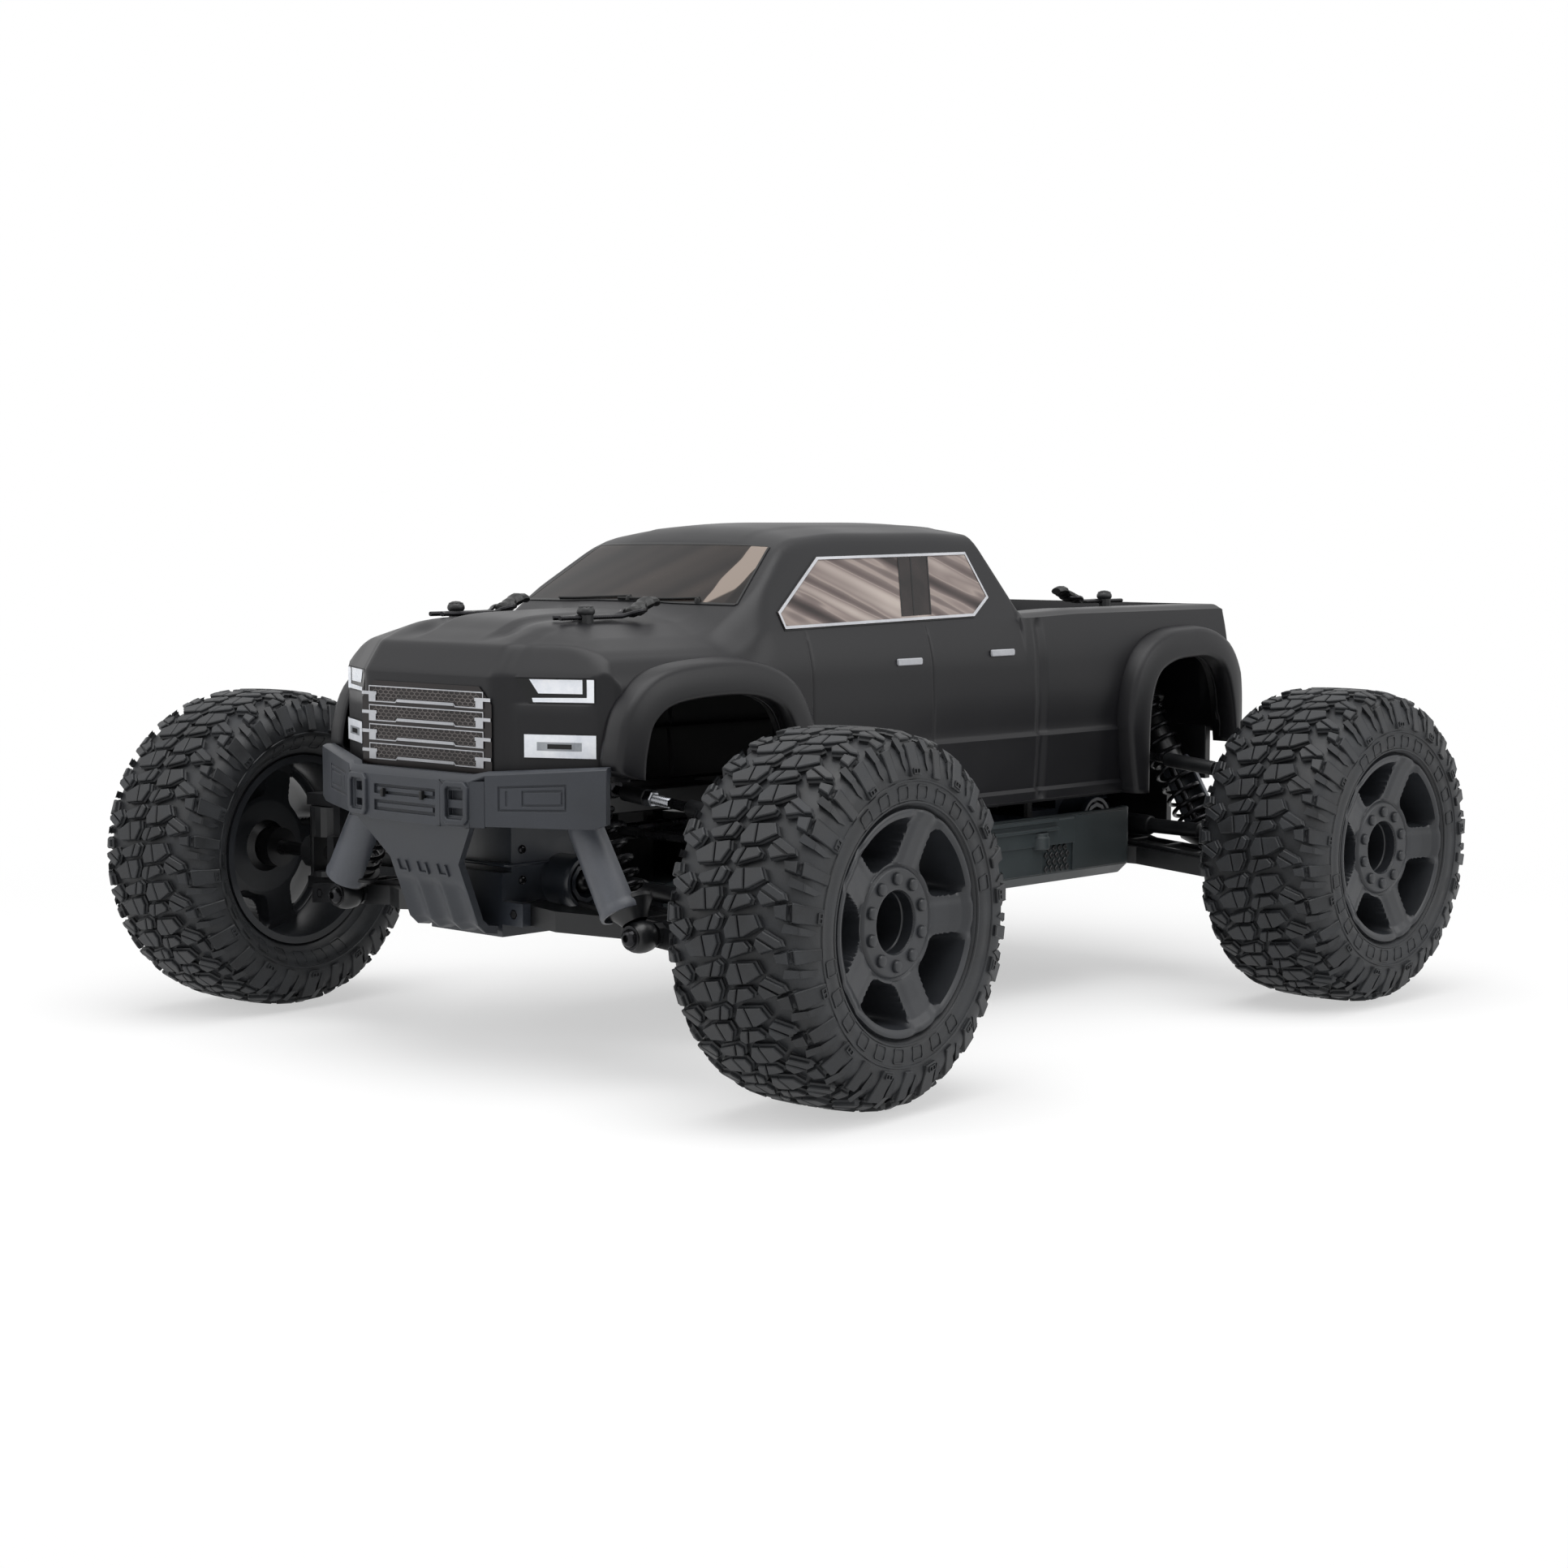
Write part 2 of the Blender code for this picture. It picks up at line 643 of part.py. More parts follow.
def make_tower(end):
    foot_z = GEARBOX_TOP_Z + GAP
    top_z = SHOCK_HEAD_Z + 1.5 * EYE_RADIUS
    half = [
        (TOWER_FOOT_HALF, foot_z),
        (LINK_INNER_V + EYE_RADIUS, LINK_INNER_Z),
        (SHOCK_HEAD_V + 2 * EYE_RADIUS, SHOCK_HEAD_Z),
        (SHOCK_HEAD_V + EYE_RADIUS, top_z),
        (SHOCK_HEAD_V - 2 * EYE_RADIUS, top_z),
        (0.0, SHOCK_HEAD_Z - 2 * EYE_RADIUS),
    ]
    faces = [end * (AXLE_X + TOWER_FACE_U - TOWER_THICKNESS), end * (AXLE_X + TOWER_FACE_U)]
    tower = plate(END_NAMES[end] + "_shock_tower", mirrored(half), min(faces), max(faces), "X")
    for side in (LEFT, RIGHT):
        shock_boss = rod(
            "shock_boss",
            at(end, side, TOWER_FACE_U - TOWER_THICKNESS / 2, SHOCK_HEAD_V, SHOCK_HEAD_Z),
            at(end, side, EYE_FACE_U - RUN, SHOCK_HEAD_V, SHOCK_HEAD_Z),
            EYE_RADIUS,
        )
        link_boss = box(
            "link_boss",
            at(end, side, -UPRIGHT_HALF, LINK_INNER_V - 1.5 * ROD_END_RADIUS, foot_z),
            at(
                end,
                side,
                TOWER_FACE_U - TOWER_THICKNESS / 2,
                LINK_INNER_V + EYE_RADIUS,
                LINK_INNER_Z + ROD_END_RADIUS,
            ),
        )
        bracket = box(
            "post_bracket",
            at(end, side, POST_U - 1.5 * POST_RADIUS, POST_V - 2 * POST_RADIUS, SHOCK_HEAD_Z - RUN),
            at(end, side, TOWER_FACE_U - RUN, POST_V + 2 * POST_RADIUS, top_z - RUN),
        )
        post = rod(
            "body_post",
            at(end, side, POST_U, POST_V, top_z - 4 * RUN),
            at(end, side, POST_U, POST_V, POST_TOP),
            POST_RADIUS,
            ROUND,
        )
        clip_hole = rod(
            "clip_hole",
            at(end, side, POST_U - 2 * POST_RADIUS, POST_V, CLIP_Z),
            at(end, side, POST_U + 2 * POST_RADIUS, POST_V, CLIP_Z),
            CLIP_WIRE + RUN,
            PIN_SIDES,
        )
        cut(join(tower, shock_boss, link_boss, bracket, post), clip_hole)
    return finish(tower, "gearbox_nylon")


def make_bumper():
    tip_inner_x = BUMPER_TIP_X - BUMPER_WALL
    half = [
        (BUMPER_NOSE_X, BUMPER_FLAT_HALF),
        (BUMPER_TIP_X, BUMPER_TIP_V),
        (tip_inner_x, BUMPER_TIP_V - BUMPER_WALL / 2),
        (BUMPER_NOSE_X - BUMPER_WALL, BUMPER_FLAT_HALF - BUMPER_WALL / 2),
    ]
    outline = half + [(x, -y) for x, y in reversed(half)]
    bumper = plate("front_bumper", outline, BUMPER_LOW_Z, BUMPER_TOP_Z, "Z")
    middle_z = (BUMPER_LOW_Z + BUMPER_TOP_Z) / 2
    for vertex in bumper.data.vertices:
        outward = max(0.0, (abs(vertex.co.y) - BUMPER_FLAT_HALF) / (BUMPER_TIP_V - BUMPER_FLAT_HALF))
        rise = BUMPER_TIP_RISE if vertex.co.z > middle_z else BUMPER_TIP_RISE / 2
        vertex.co.z += rise * outward
    skid_low_z = FLOOR_Z + SKID_WALL / 4
    gearbox_x = AXLE_X + GEARBOX_HALF_LENGTH + GAP
    top_x = BUMPER_NOSE_X - BUMPER_WALL / 2
    side_view = [
        (top_x, BUMPER_LOW_Z + SKID_WALL / 2),
        (SKID_BEND_X, SKID_BEND_Z),
        (gearbox_x + 2 * SKID_WALL, FLOOR_Z + SKID_WALL),
        (gearbox_x + SKID_WALL / 2, skid_low_z),
        (gearbox_x, skid_low_z),
        (gearbox_x, skid_low_z + SKID_WALL),
        (gearbox_x + SKID_WALL, FLOOR_Z + 2 * SKID_WALL),
        (SKID_BEND_X - SKID_WALL, SKID_BEND_Z + SKID_WALL / 4),
        (top_x - SKID_WALL, BUMPER_LOW_Z + SKID_WALL / 2),
    ]
    skid = plate("skid", side_view, -SKID_TOP_HALF, SKID_TOP_HALF, "Y")
    front_view = mirrored(
        [
            (SKID_TOP_HALF, BUMPER_TOP_Z),
            (SKID_TOP_HALF, BUMPER_LOW_Z),
            (SKID_LOW_HALF, SKID_BEND_Z),
            (SKID_LOW_HALF, FLOOR_Z - SKID_WALL),
        ]
    )
    keep_common(skid, plate("skid_taper", front_view, gearbox_x - SKID_WALL, BUMPER_NOSE_X, "X"))
    bracket = box(
        "bumper_bracket",
        (AXLE_X + GEARBOX_NOSE_U + GAP, -SKID_LOW_HALF / 2, BUMPER_LOW_Z + RUN),
        (BUMPER_NOSE_X - BUMPER_WALL / 2, SKID_LOW_HALF / 2, BUMPER_LOW_Z + SKID_WALL),
    )
    return finish(join(bumper, skid, bracket), "bumper_nylon")


# Electrics and drive line
def make_battery():
    size = Vector(BATTERY_SIZE)
    outer_y = TUB_HALF_WIDTH - TUB_WALL - RUN
    low = (BATTERY_X - size.x / 2, outer_y - size.y, FLOOR_TOP + GAP)
    high = (BATTERY_X + size.x / 2, outer_y, FLOOR_TOP + GAP + size.z)
    return finish(box("battery", low, high), "battery_wrap")


def make_controller():
    size = Vector(CONTROLLER_SIZE)
    outer_y = -(TUB_HALF_WIDTH - TUB_WALL - 4 * RUN)
    low = (CONTROLLER_X - size.x / 2, outer_y, FLOOR_TOP + GAP)
    high = (CONTROLLER_X + size.x / 2, outer_y + size.y, FLOOR_TOP + GAP + size.z)
    return finish(box("speed_controller", low, high), "controller_case")


def make_servo():
    size = Vector(SERVO_SIZE)
    front_x = SERVO_HORN_X + size.y / 2
    low = (front_x - size.x, SERVO_Y - size.y / 2, FLOOR_TOP + GAP)
    high = (front_x, SERVO_Y + size.y / 2, SAVER_Z - GAP)
    return finish(box("servo", low, high), "servo_case")


def make_motor():
    back_x = GEAR_X - GEAR_WIDTH / 2 - 2 * RUN - MOTOR_LENGTH
    front_x = back_x + MOTOR_LENGTH
    can = rod("motor", (back_x, MOTOR_Y, MOTOR_Z), (front_x, MOTOR_Y, MOTOR_Z), MOTOR_RADIUS, 2 * ROUND)
    shaft = rod(
        "motor_shaft",
        (front_x - RUN, MOTOR_Y, MOTOR_Z),
        (GEAR_X + GEAR_WIDTH, MOTOR_Y, MOTOR_Z),
        MOTOR_SHAFT_RADIUS,
        PIN_SIDES,
    )
    return finish(smooth(join(can, shaft)), "motor_can")


# A spur gear with straight-flanked teeth and generous backlash; phase is the angle of its first tooth.
def make_gear(name, teeth, centre, bore, phase, finish_name):
    pitch_radius = GEAR_MODULE * teeth / 2
    step = 2 * math.pi / teeth
    tip, root = pitch_radius + GEAR_TIP_SHARE * GEAR_MODULE, pitch_radius - GEAR_MODULE
    outline = []
    for i in range(teeth):
        middle = phase + i * step
        foot, point = GEAR_FOOT_SHARE * step, GEAR_POINT_SHARE * step
        for radius, offset in ((root, -foot), (tip, -point), (tip, point), (root, foot)):
            angle = middle + offset
            outline.append((centre[0] + radius * math.cos(angle), centre[1] + radius * math.sin(angle)))
    gear = plate(name, outline, GEAR_X - GEAR_WIDTH / 2, GEAR_X + GEAR_WIDTH / 2, "X")
    hole = rod(
        "gear_bore",
        (GEAR_X - GEAR_WIDTH, *centre),
        (GEAR_X + GEAR_WIDTH, *centre),
        bore,
        ROUND,
    )
    return finish(cut(gear, hole), finish_name)


def make_drive_line(root):
    mesh_angle = math.atan2(MOTOR_Z - SHAFT_Z, MOTOR_Y)
    pinion_phase = mesh_angle + math.pi + math.pi / PINION_TEETH
    spur = make_gear(
        "spur_gear", SPUR_TEETH, (0.0, SHAFT_Z), SHAFT_RADIUS + GAP, mesh_angle, "gear_nylon"
    )
    pinion = make_gear(
        "pinion_gear",
        PINION_TEETH,
        (MOTOR_Y, MOTOR_Z),
        MOTOR_SHAFT_RADIUS + PIN_PLAY,
        pinion_phase,
        "pinion_steel",
    )
    reach = AXLE_X + GEARBOX_INPUT_U - GAP
    shaft = rod("centre_driveshaft", (-reach, 0, SHAFT_Z), (reach, 0, SHAFT_Z), SHAFT_RADIUS, ROUND)
    hang(spur, (GEAR_X, 0.0, SHAFT_Z), root)
    hang(pinion, (GEAR_X, MOTOR_Y, MOTOR_Z), root)
    hang(finish(smooth(shaft), "shaft_steel"), (0.0, 0.0, SHAFT_Z), root)


# Steering linkage between the servo and the knuckles
def make_linkage(root):
    link_x = AXLE_X - STEER_ARM
    half_width = DRAG_LINK_WIDTH / 2
    half_length = TIE_ROD_INNER_V + DRAG_LINK_OVERHANG
    drag = box(
        "drag_link",
        (link_x - half_width, STEER_SHIFT - half_length, DRAG_LINK_Z),
        (link_x + half_width, STEER_SHIFT + half_length, DRAG_LINK_Z + LINKAGE_THICKNESS),
    )
    studs = [
        rod(
            "stud",
            (link_x, STEER_SHIFT + side * TIE_ROD_INNER_V, DRAG_LINK_Z + LINKAGE_THICKNESS / 2),
            (link_x, STEER_SHIFT + side * TIE_ROD_INNER_V, TIE_ROD_Z - ROD_END_RADIUS - RUN),
            LINK_RADIUS,
            PIN_SIDES,
        )
        for side in (LEFT, RIGHT)
    ]
    join(drag, *studs)
    hang(finish(drag, "link_steel"), (link_x, STEER_SHIFT, DRAG_LINK_Z), root)
    horn = rod(
        "servo_saver",
        (SERVO_HORN_X, SERVO_Y, SAVER_Z),
        (SERVO_HORN_X, SERVO_Y, SAVER_Z + LINKAGE_THICKNESS),
        1.5 * half_width,
    )
    arm = box(
        "saver_arm",
        (SERVO_HORN_X, SERVO_Y - half_width / 2, SAVER_Z),
        (link_x, SERVO_Y + half_width / 2, SAVER_Z + LINKAGE_THICKNESS),
    )
    arm.data.transform(Matrix.Translation((-SERVO_HORN_X, -SERVO_Y, 0)))
    arm.data.transform(Matrix.Rotation(STEER_SHIFT / SERVO_HORN_SETBACK, 4, "Z"))
    arm.data.transform(Matrix.Translation((SERVO_HORN_X, SERVO_Y, 0)))
    hang(finish(join(horn, arm), "arm_nylon"), (SERVO_HORN_X, SERVO_Y, SAVER_Z), root)
    return drag


# Suspension at one corner
def make_arm(end, side, label):
    tip_v = OUTER_PIN_V + ARM_BARREL + RUN
    fork_v = OUTER_PIN_V - 2 * ARM_BARREL
    fork_u = ARM_TIP_HALF - FORK_WALL
    leg_u = ARM_HALF_LENGTH - ARM_LEG
    notch_v = OUTPUT_BOSS_V + 3 * FORK_WALL / 2 - 4 * RUN
    waist_v = (INNER_PIN_V + 2 * OUTER_PIN_V) / 3 - 4 * ARM_BARREL
    half = [
        (fork_u, fork_v),
        (fork_u, tip_v),
        (ARM_TIP_HALF, tip_v),
        (ARM_TIP_HALF, waist_v),
        (ARM_HALF_LENGTH, notch_v + ARM_BARREL),
        (ARM_HALF_LENGTH, INNER_PIN_V),
        (leg_u, INNER_PIN_V),
        (leg_u, notch_v),
    ]
    outline = half + [(-u, v) for u, v in reversed(half)]
    points = [at(end, side, u, v, 0.0)[:2] for u, v in outline]
    arm = plate("lower_arm_" + label, points, -ARM_THICKNESS / 2, ARM_THICKNESS / 2, "Z")
    slope = (OUTER_PIN_Z - INNER_PIN_Z) / (OUTER_PIN_V - INNER_PIN_V)
    for vertex in arm.data.vertices:
        vertex.co.z += INNER_PIN_Z + slope * (side * vertex.co.y - INNER_PIN_V)
    barrels = [
        rod(
            "barrel",
            at(end, side, sign * leg_u, INNER_PIN_V, INNER_PIN_Z),
            at(end, side, sign * ARM_HALF_LENGTH, INNER_PIN_V, INNER_PIN_Z),
            ARM_BARREL,
        )
        for sign in (1, -1)
    ]
    pin = rod(
        "hinge_pin",
        at(end, side, -GEARBOX_HALF_LENGTH, INNER_PIN_V, INNER_PIN_Z),
        at(end, side, GEARBOX_HALF_LENGTH, INNER_PIN_V, INNER_PIN_Z),
        PIN_RADIUS,
        PIN_SIDES,
    )
    boss = rod(
        "shock_boss",
        at(end, side, ARM_TIP_HALF - FORK_WALL, SHOCK_FOOT_V, SHOCK_FOOT_Z),
        at(end, side, EYE_FACE_U - RUN, SHOCK_FOOT_V, SHOCK_FOOT_Z),
        EYE_RADIUS,
    )
    outer_hole = rod(
        "outer_pin_hole",
        at(end, side, -2 * ARM_TIP_HALF, OUTER_PIN_V, OUTER_PIN_Z),
        at(end, side, 2 * ARM_TIP_HALF, OUTER_PIN_V, OUTER_PIN_Z),
        PIN_RADIUS + PIN_PLAY,
        PIN_SIDES,
    )
    cut(join(arm, pin, boss, *barrels), outer_hole)
    return finish(arm, "arm_nylon")


# The upright that both axles share: hinge barrel and pin, web round the halfshaft, ear for the camber link.
def make_upright(name, end, side):
    barrel = rod(
        name,
        at(end, side, -(ARM_TIP_HALF - FORK_WALL - RUN), OUTER_PIN_V, OUTER_PIN_Z),
        at(end, side, ARM_TIP_HALF - FORK_WALL - RUN, OUTER_PIN_V, OUTER_PIN_Z),
        ARM_BARREL,
    )
    pin = rod(
        "outer_pin",
        at(end, side, -ARM_TIP_HALF, OUTER_PIN_V, OUTER_PIN_Z),
        at(end, side, ARM_TIP_HALF, OUTER_PIN_V, OUTER_PIN_Z),
        PIN_RADIUS,
        PIN_SIDES,
    )
    web_v = UPRIGHT_INNER_V + UPRIGHT_WEB
    ear_z = LINK_OUTER_Z + ROD_END_RADIUS
    stem = box(
        "stem",
        at(end, side, -UPRIGHT_HALF, UPRIGHT_INNER_V, OUTER_PIN_Z),
        at(end, side, UPRIGHT_HALF, web_v, ear_z),
    )
    ring = box(
        "ring",
        at(end, side, -OUTPUT_BORE_RADIUS - ARM_BARREL * 0.75, UPRIGHT_INNER_V, AXLE_Z - POCKET_HALF),
        at(end, side, OUTPUT_BORE_RADIUS + ARM_BARREL * 0.75, web_v, AXLE_Z + POCKET_HALF + 2 * RUN),
    )
    ear = box(
        "ear",
        at(end, side, -UPRIGHT_HALF, UPRIGHT_INNER_V, KNUCKLE_HIGH_Z + RUN),
        at(end, side, UPRIGHT_HALF, LINK_OUTER_V + ROD_END_RADIUS, ear_z),
    )
    return join(barrel, pin, stem, ring, ear)


def halfshaft_opening(end, side, to_v):
    return rod(
        "halfshaft_opening",
        at(end, side, 0, UPRIGHT_INNER_V - UPRIGHT_WEB, AXLE_Z),
        at(end, side, 0, to_v, AXLE_Z),
        OUTPUT_BORE_RADIUS,
    )


def axle_bore(end, side):
    return rod(
        "axle_bore",
        at(end, side, 0, KINGPIN_V, AXLE_Z),
        at(end, side, 0, UPRIGHT_OUTER_V + 2 * KNUCKLE_RADIUS, AXLE_Z),
        STUB_AXLE_RADIUS + PIN_PLAY,
        ROUND,
    )


def bearing_boss(end, side):
    return rod(
        "bearing_boss",
        at(end, side, 0, KINGPIN_V + KNUCKLE_RADIUS / 2, AXLE_Z),
        at(end, side, 0, UPRIGHT_OUTER_V + KNUCKLE_RADIUS / 3, AXLE_Z),
        POCKET_HALF,
    )


def make_caster_block(side):
    block = make_upright("caster_block_" + SIDE_NAMES[side], FRONT, side)
    low_top = KNUCKLE_LOW_Z - RUN
    high_low = KNUCKLE_HIGH_Z + RUN
    jaws = [
        box(
            "jaw",
            at(FRONT, side, -UPRIGHT_HALF, UPRIGHT_INNER_V, low),
            at(FRONT, side, UPRIGHT_HALF, UPRIGHT_OUTER_V, low + JAW_THICKNESS),
        )
        for low in (low_top - JAW_THICKNESS, high_low)
    ]
    kingpin_hole = rod(
        "kingpin_hole",
        at(FRONT, side, 0, KINGPIN_V, low_top - 2 * JAW_THICKNESS),
        at(FRONT, side, 0, KINGPIN_V, high_low + 2 * JAW_THICKNESS),
        PIN_RADIUS + PIN_PLAY,
        PIN_SIDES,
    )
    cut(join(block, *jaws), halfshaft_opening(FRONT, side, KINGPIN_V), kingpin_hole)
    return finish(block, "upright_nylon")


def make_knuckle(side):
    knuckle = rod(
        "steering_knuckle_" + SIDE_NAMES[side],
        at(FRONT, side, 0, KINGPIN_V, KNUCKLE_LOW_Z),
        at(FRONT, side, 0, KINGPIN_V, KNUCKLE_HIGH_Z),
        KNUCKLE_RADIUS,
        2 * ROUND,
    )
    pocket = box(
        "halfshaft_pocket",
        at(FRONT, side, -2 * KNUCKLE_RADIUS, KINGPIN_V - 2 * KNUCKLE_RADIUS, AXLE_Z - POCKET_HALF),
        at(FRONT, side, 2 * KNUCKLE_RADIUS, KINGPIN_V + 3 * RUN, AXLE_Z + POCKET_HALF),
    )
    kingpin = rod(
        "kingpin",
        at(FRONT, side, 0, KINGPIN_V, KNUCKLE_LOW_Z - JAW_THICKNESS),
        at(FRONT, side, 0, KINGPIN_V, KNUCKLE_HIGH_Z + JAW_THICKNESS),
        PIN_RADIUS,
        PIN_SIDES,
    )
    steer_arm_top = STEER_ARM_Z + STEER_ARM_THICKNESS
    steer_arm = box(
        "steer_arm",
        at(FRONT, side, 0, KINGPIN_V - ROD_END_RADIUS, STEER_ARM_Z),
        at(FRONT, side, -STEER_ARM - ROD_END_RADIUS, KINGPIN_V + ROD_END_RADIUS, steer_arm_top),
    )
    join(knuckle, kingpin, steer_arm, bearing_boss(FRONT, side))
    return finish(smooth(cut(knuckle, pocket, axle_bore(FRONT, side))), "upright_nylon")


def make_rear_hub(side):
    hub = make_upright("rear_hub_" + SIDE_NAMES[side], REAR, side)
    block = box(
        "hub_block",
        at(REAR, side, -KNUCKLE_RADIUS, UPRIGHT_INNER_V, AXLE_Z - POCKET_HALF),
        at(REAR, side, KNUCKLE_RADIUS, UPRIGHT_OUTER_V, AXLE_Z + POCKET_HALF + 2 * RUN),
    )
    join(hub, block, bearing_boss(REAR, side))
    pocket = halfshaft_opening(REAR, side, KINGPIN_V + 3 * RUN)
    return finish(cut(hub, pocket, axle_bore(REAR, side)), "upright_nylon")


def make_halfshaft(end, side, label):
    inner = at(end, side, 0, OUTPUT_BOSS_V - HALFSHAFT_BALL + RUN, OUTPUT_Z)
    outer = at(end, side, 0, OUTER_PIN_V - 1.3 * HALFSHAFT_BALL, AXLE_Z)
    shaft = rod("halfshaft_" + label, inner, outer, HALFSHAFT_RADIUS, PIN_SIDES)
    join(shaft, ball("inner_ball", inner, HALFSHAFT_BALL), ball("outer_ball", outer, HALFSHAFT_BALL))
    return finish(smooth(shaft), "shaft_steel"), inner


def make_link(name, inner, outer, finish_name):
    link = rod(name, inner, outer, LINK_RADIUS, PIN_SIDES)
    half = Vector((ROD_END_WIDTH / 2, 0, 0))
    sides = PIN_SIDES + 2
    ends = [
        rod("rod_end", Vector(p) - half, Vector(p) + half, ROD_END_RADIUS, sides) for p in (inner, outer)
    ]
    return finish(join(link, *ends), finish_name)


def make_tie_rod(side):
    x = AXLE_X - STEER_ARM
    inner = Vector((x, side * TIE_ROD_INNER_V + STEER_SHIFT, TIE_ROD_Z))
    outer = Vector((x, side * KINGPIN_V + STEER_SHIFT, TIE_ROD_Z))
    return make_link("tie_rod_" + SIDE_NAMES[side], inner, outer, "link_steel"), inner


# Shock absorbers are made along Z with the upper eye at the origin, then leaned into place.
def lean_into_place(obj, end, side):
    head = at(end, side, SHOCK_U, SHOCK_HEAD_V, SHOCK_HEAD_Z)
    obj.data.transform(Matrix.Translation(head) @ Matrix.Rotation(side * SHOCK_LEAN, 4, "X"))
    return obj


def eye(name, depth):
    return rod(name, (-EYE_HALF, 0, -depth), (EYE_HALF, 0, -depth), EYE_RADIUS)


def make_damper_body(end, side, label):
    cap_z = -EYE_RADIUS - 2 * RUN
    neck = EYE_RADIUS * 0.8
    profile = [
        (0.0, cap_z / 2),
        (neck, cap_z / 2),
        (neck, cap_z),
        (DAMPER_RADIUS + PERCH_THICKNESS / 2, cap_z),
        (DAMPER_RADIUS + PERCH_THICKNESS / 2, -UPPER_PERCH / 2),
        (DAMPER_RADIUS, -UPPER_PERCH / 2),
        (DAMPER_RADIUS, -UPPER_PERCH),
        (PERCH_RADIUS, -UPPER_PERCH),
        (PERCH_RADIUS, -UPPER_PERCH - PERCH_THICKNESS),
        (DAMPER_RADIUS, -UPPER_PERCH - PERCH_THICKNESS),
        (DAMPER_RADIUS, -DAMPER_END),
        (DAMPER_ROD_RADIUS + PIN_PLAY, -DAMPER_END),
        (DAMPER_ROD_RADIUS + PIN_PLAY, -DAMPER_BORE_TOP),
        (0.0, -DAMPER_BORE_TOP),
    ]
    body = turned("shock_body_" + label, profile, ROUND)
    join(body, eye("upper_eye", 0.0))
    return finish(smooth(lean_into_place(body, end, side)), "damper_aluminium")


def make_damper_shaft(end, side, label):
    foot = SHOCK_LENGTH
    profile = [
        (0.0, -DAMPER_ROD_TOP),
        (DAMPER_ROD_RADIUS, -DAMPER_ROD_TOP),
        (DAMPER_ROD_RADIUS, -LOWER_PERCH),
        (PERCH_RADIUS, -LOWER_PERCH),
        (PERCH_RADIUS, -LOWER_PERCH - PERCH_THICKNESS),
        (EYE_RADIUS * 0.8, -LOWER_PERCH - PERCH_THICKNESS),
        (EYE_RADIUS * 0.8, -foot),
        (0.0, -foot),
    ]
    shaft = turned("shock_shaft_" + label, profile, ROUND)
    guard_inner = PERCH_RADIUS - RUN
    guard = turned(
        "guard",
        [
            (guard_inner + GUARD_WALL, -GUARD_TOP),
            (guard_inner + GUARD_WALL, -foot + 2 * EYE_RADIUS),
            (guard_inner, -foot + 2 * EYE_RADIUS),
            (guard_inner, -GUARD_TOP),
        ],
        ROUND,
        closed=True,
    )
    reach = 2 * PERCH_RADIUS
    outer_half = box("outer_half", (end * RUN, -reach, -2 * foot), (end * reach, reach, 0.0))
    keep_common(guard, outer_half)
    join(shaft, eye("lower_eye", foot), guard)
    return finish(smooth(lean_into_place(shaft, end, side)), "arm_nylon")


def spring_path():
    top = -UPPER_PERCH - PERCH_THICKNESS - SPRING_WIRE - RUN
    bottom = -LOWER_PERCH + SPRING_WIRE + RUN
    count = SPRING_CURLS * SPRING_POINTS
    path = []
    for i in range(count + 1):
        angle = 2 * math.pi * i / SPRING_POINTS
        height = top + (bottom - top) * i / count
        path.append(Vector((SPRING_RADIUS * math.cos(angle), SPRING_RADIUS * math.sin(angle), height)))
    return path


# The least clear distance between one curl's wire and the next, from points along the path.
def least_gap(path, wire):
    fine = []
    for a, b in zip(path, path[1:]):
        fine += [a.lerp(b, t / 4) for t in range(4)]
    fine.append(path[-1])
    skip = 2 * SPRING_POINTS
    nearest = min((fine[i] - fine[j]).length for i in range(len(fine)) for j in range(i + skip, len(fine)))
    return nearest - 2 * wire


def make_spring(end, side, label):
    path = spring_path()
    spring = tube("spring_" + label, path, SPRING_WIRE, 1)
    return finish(smooth(lean_into_place(spring, end, side)), "spring_steel")


# Wheel and tyre, turned about Z with +Z outboard, then stood on the axle line.
def stand_on_axle(obj, end, side):
    turn = Matrix.Rotation(-side * math.pi / 2, 4, "X")
    obj.data.transform(Matrix.Translation(at(end, side, 0, WHEEL_V, AXLE_Z)) @ turn)
    return obj


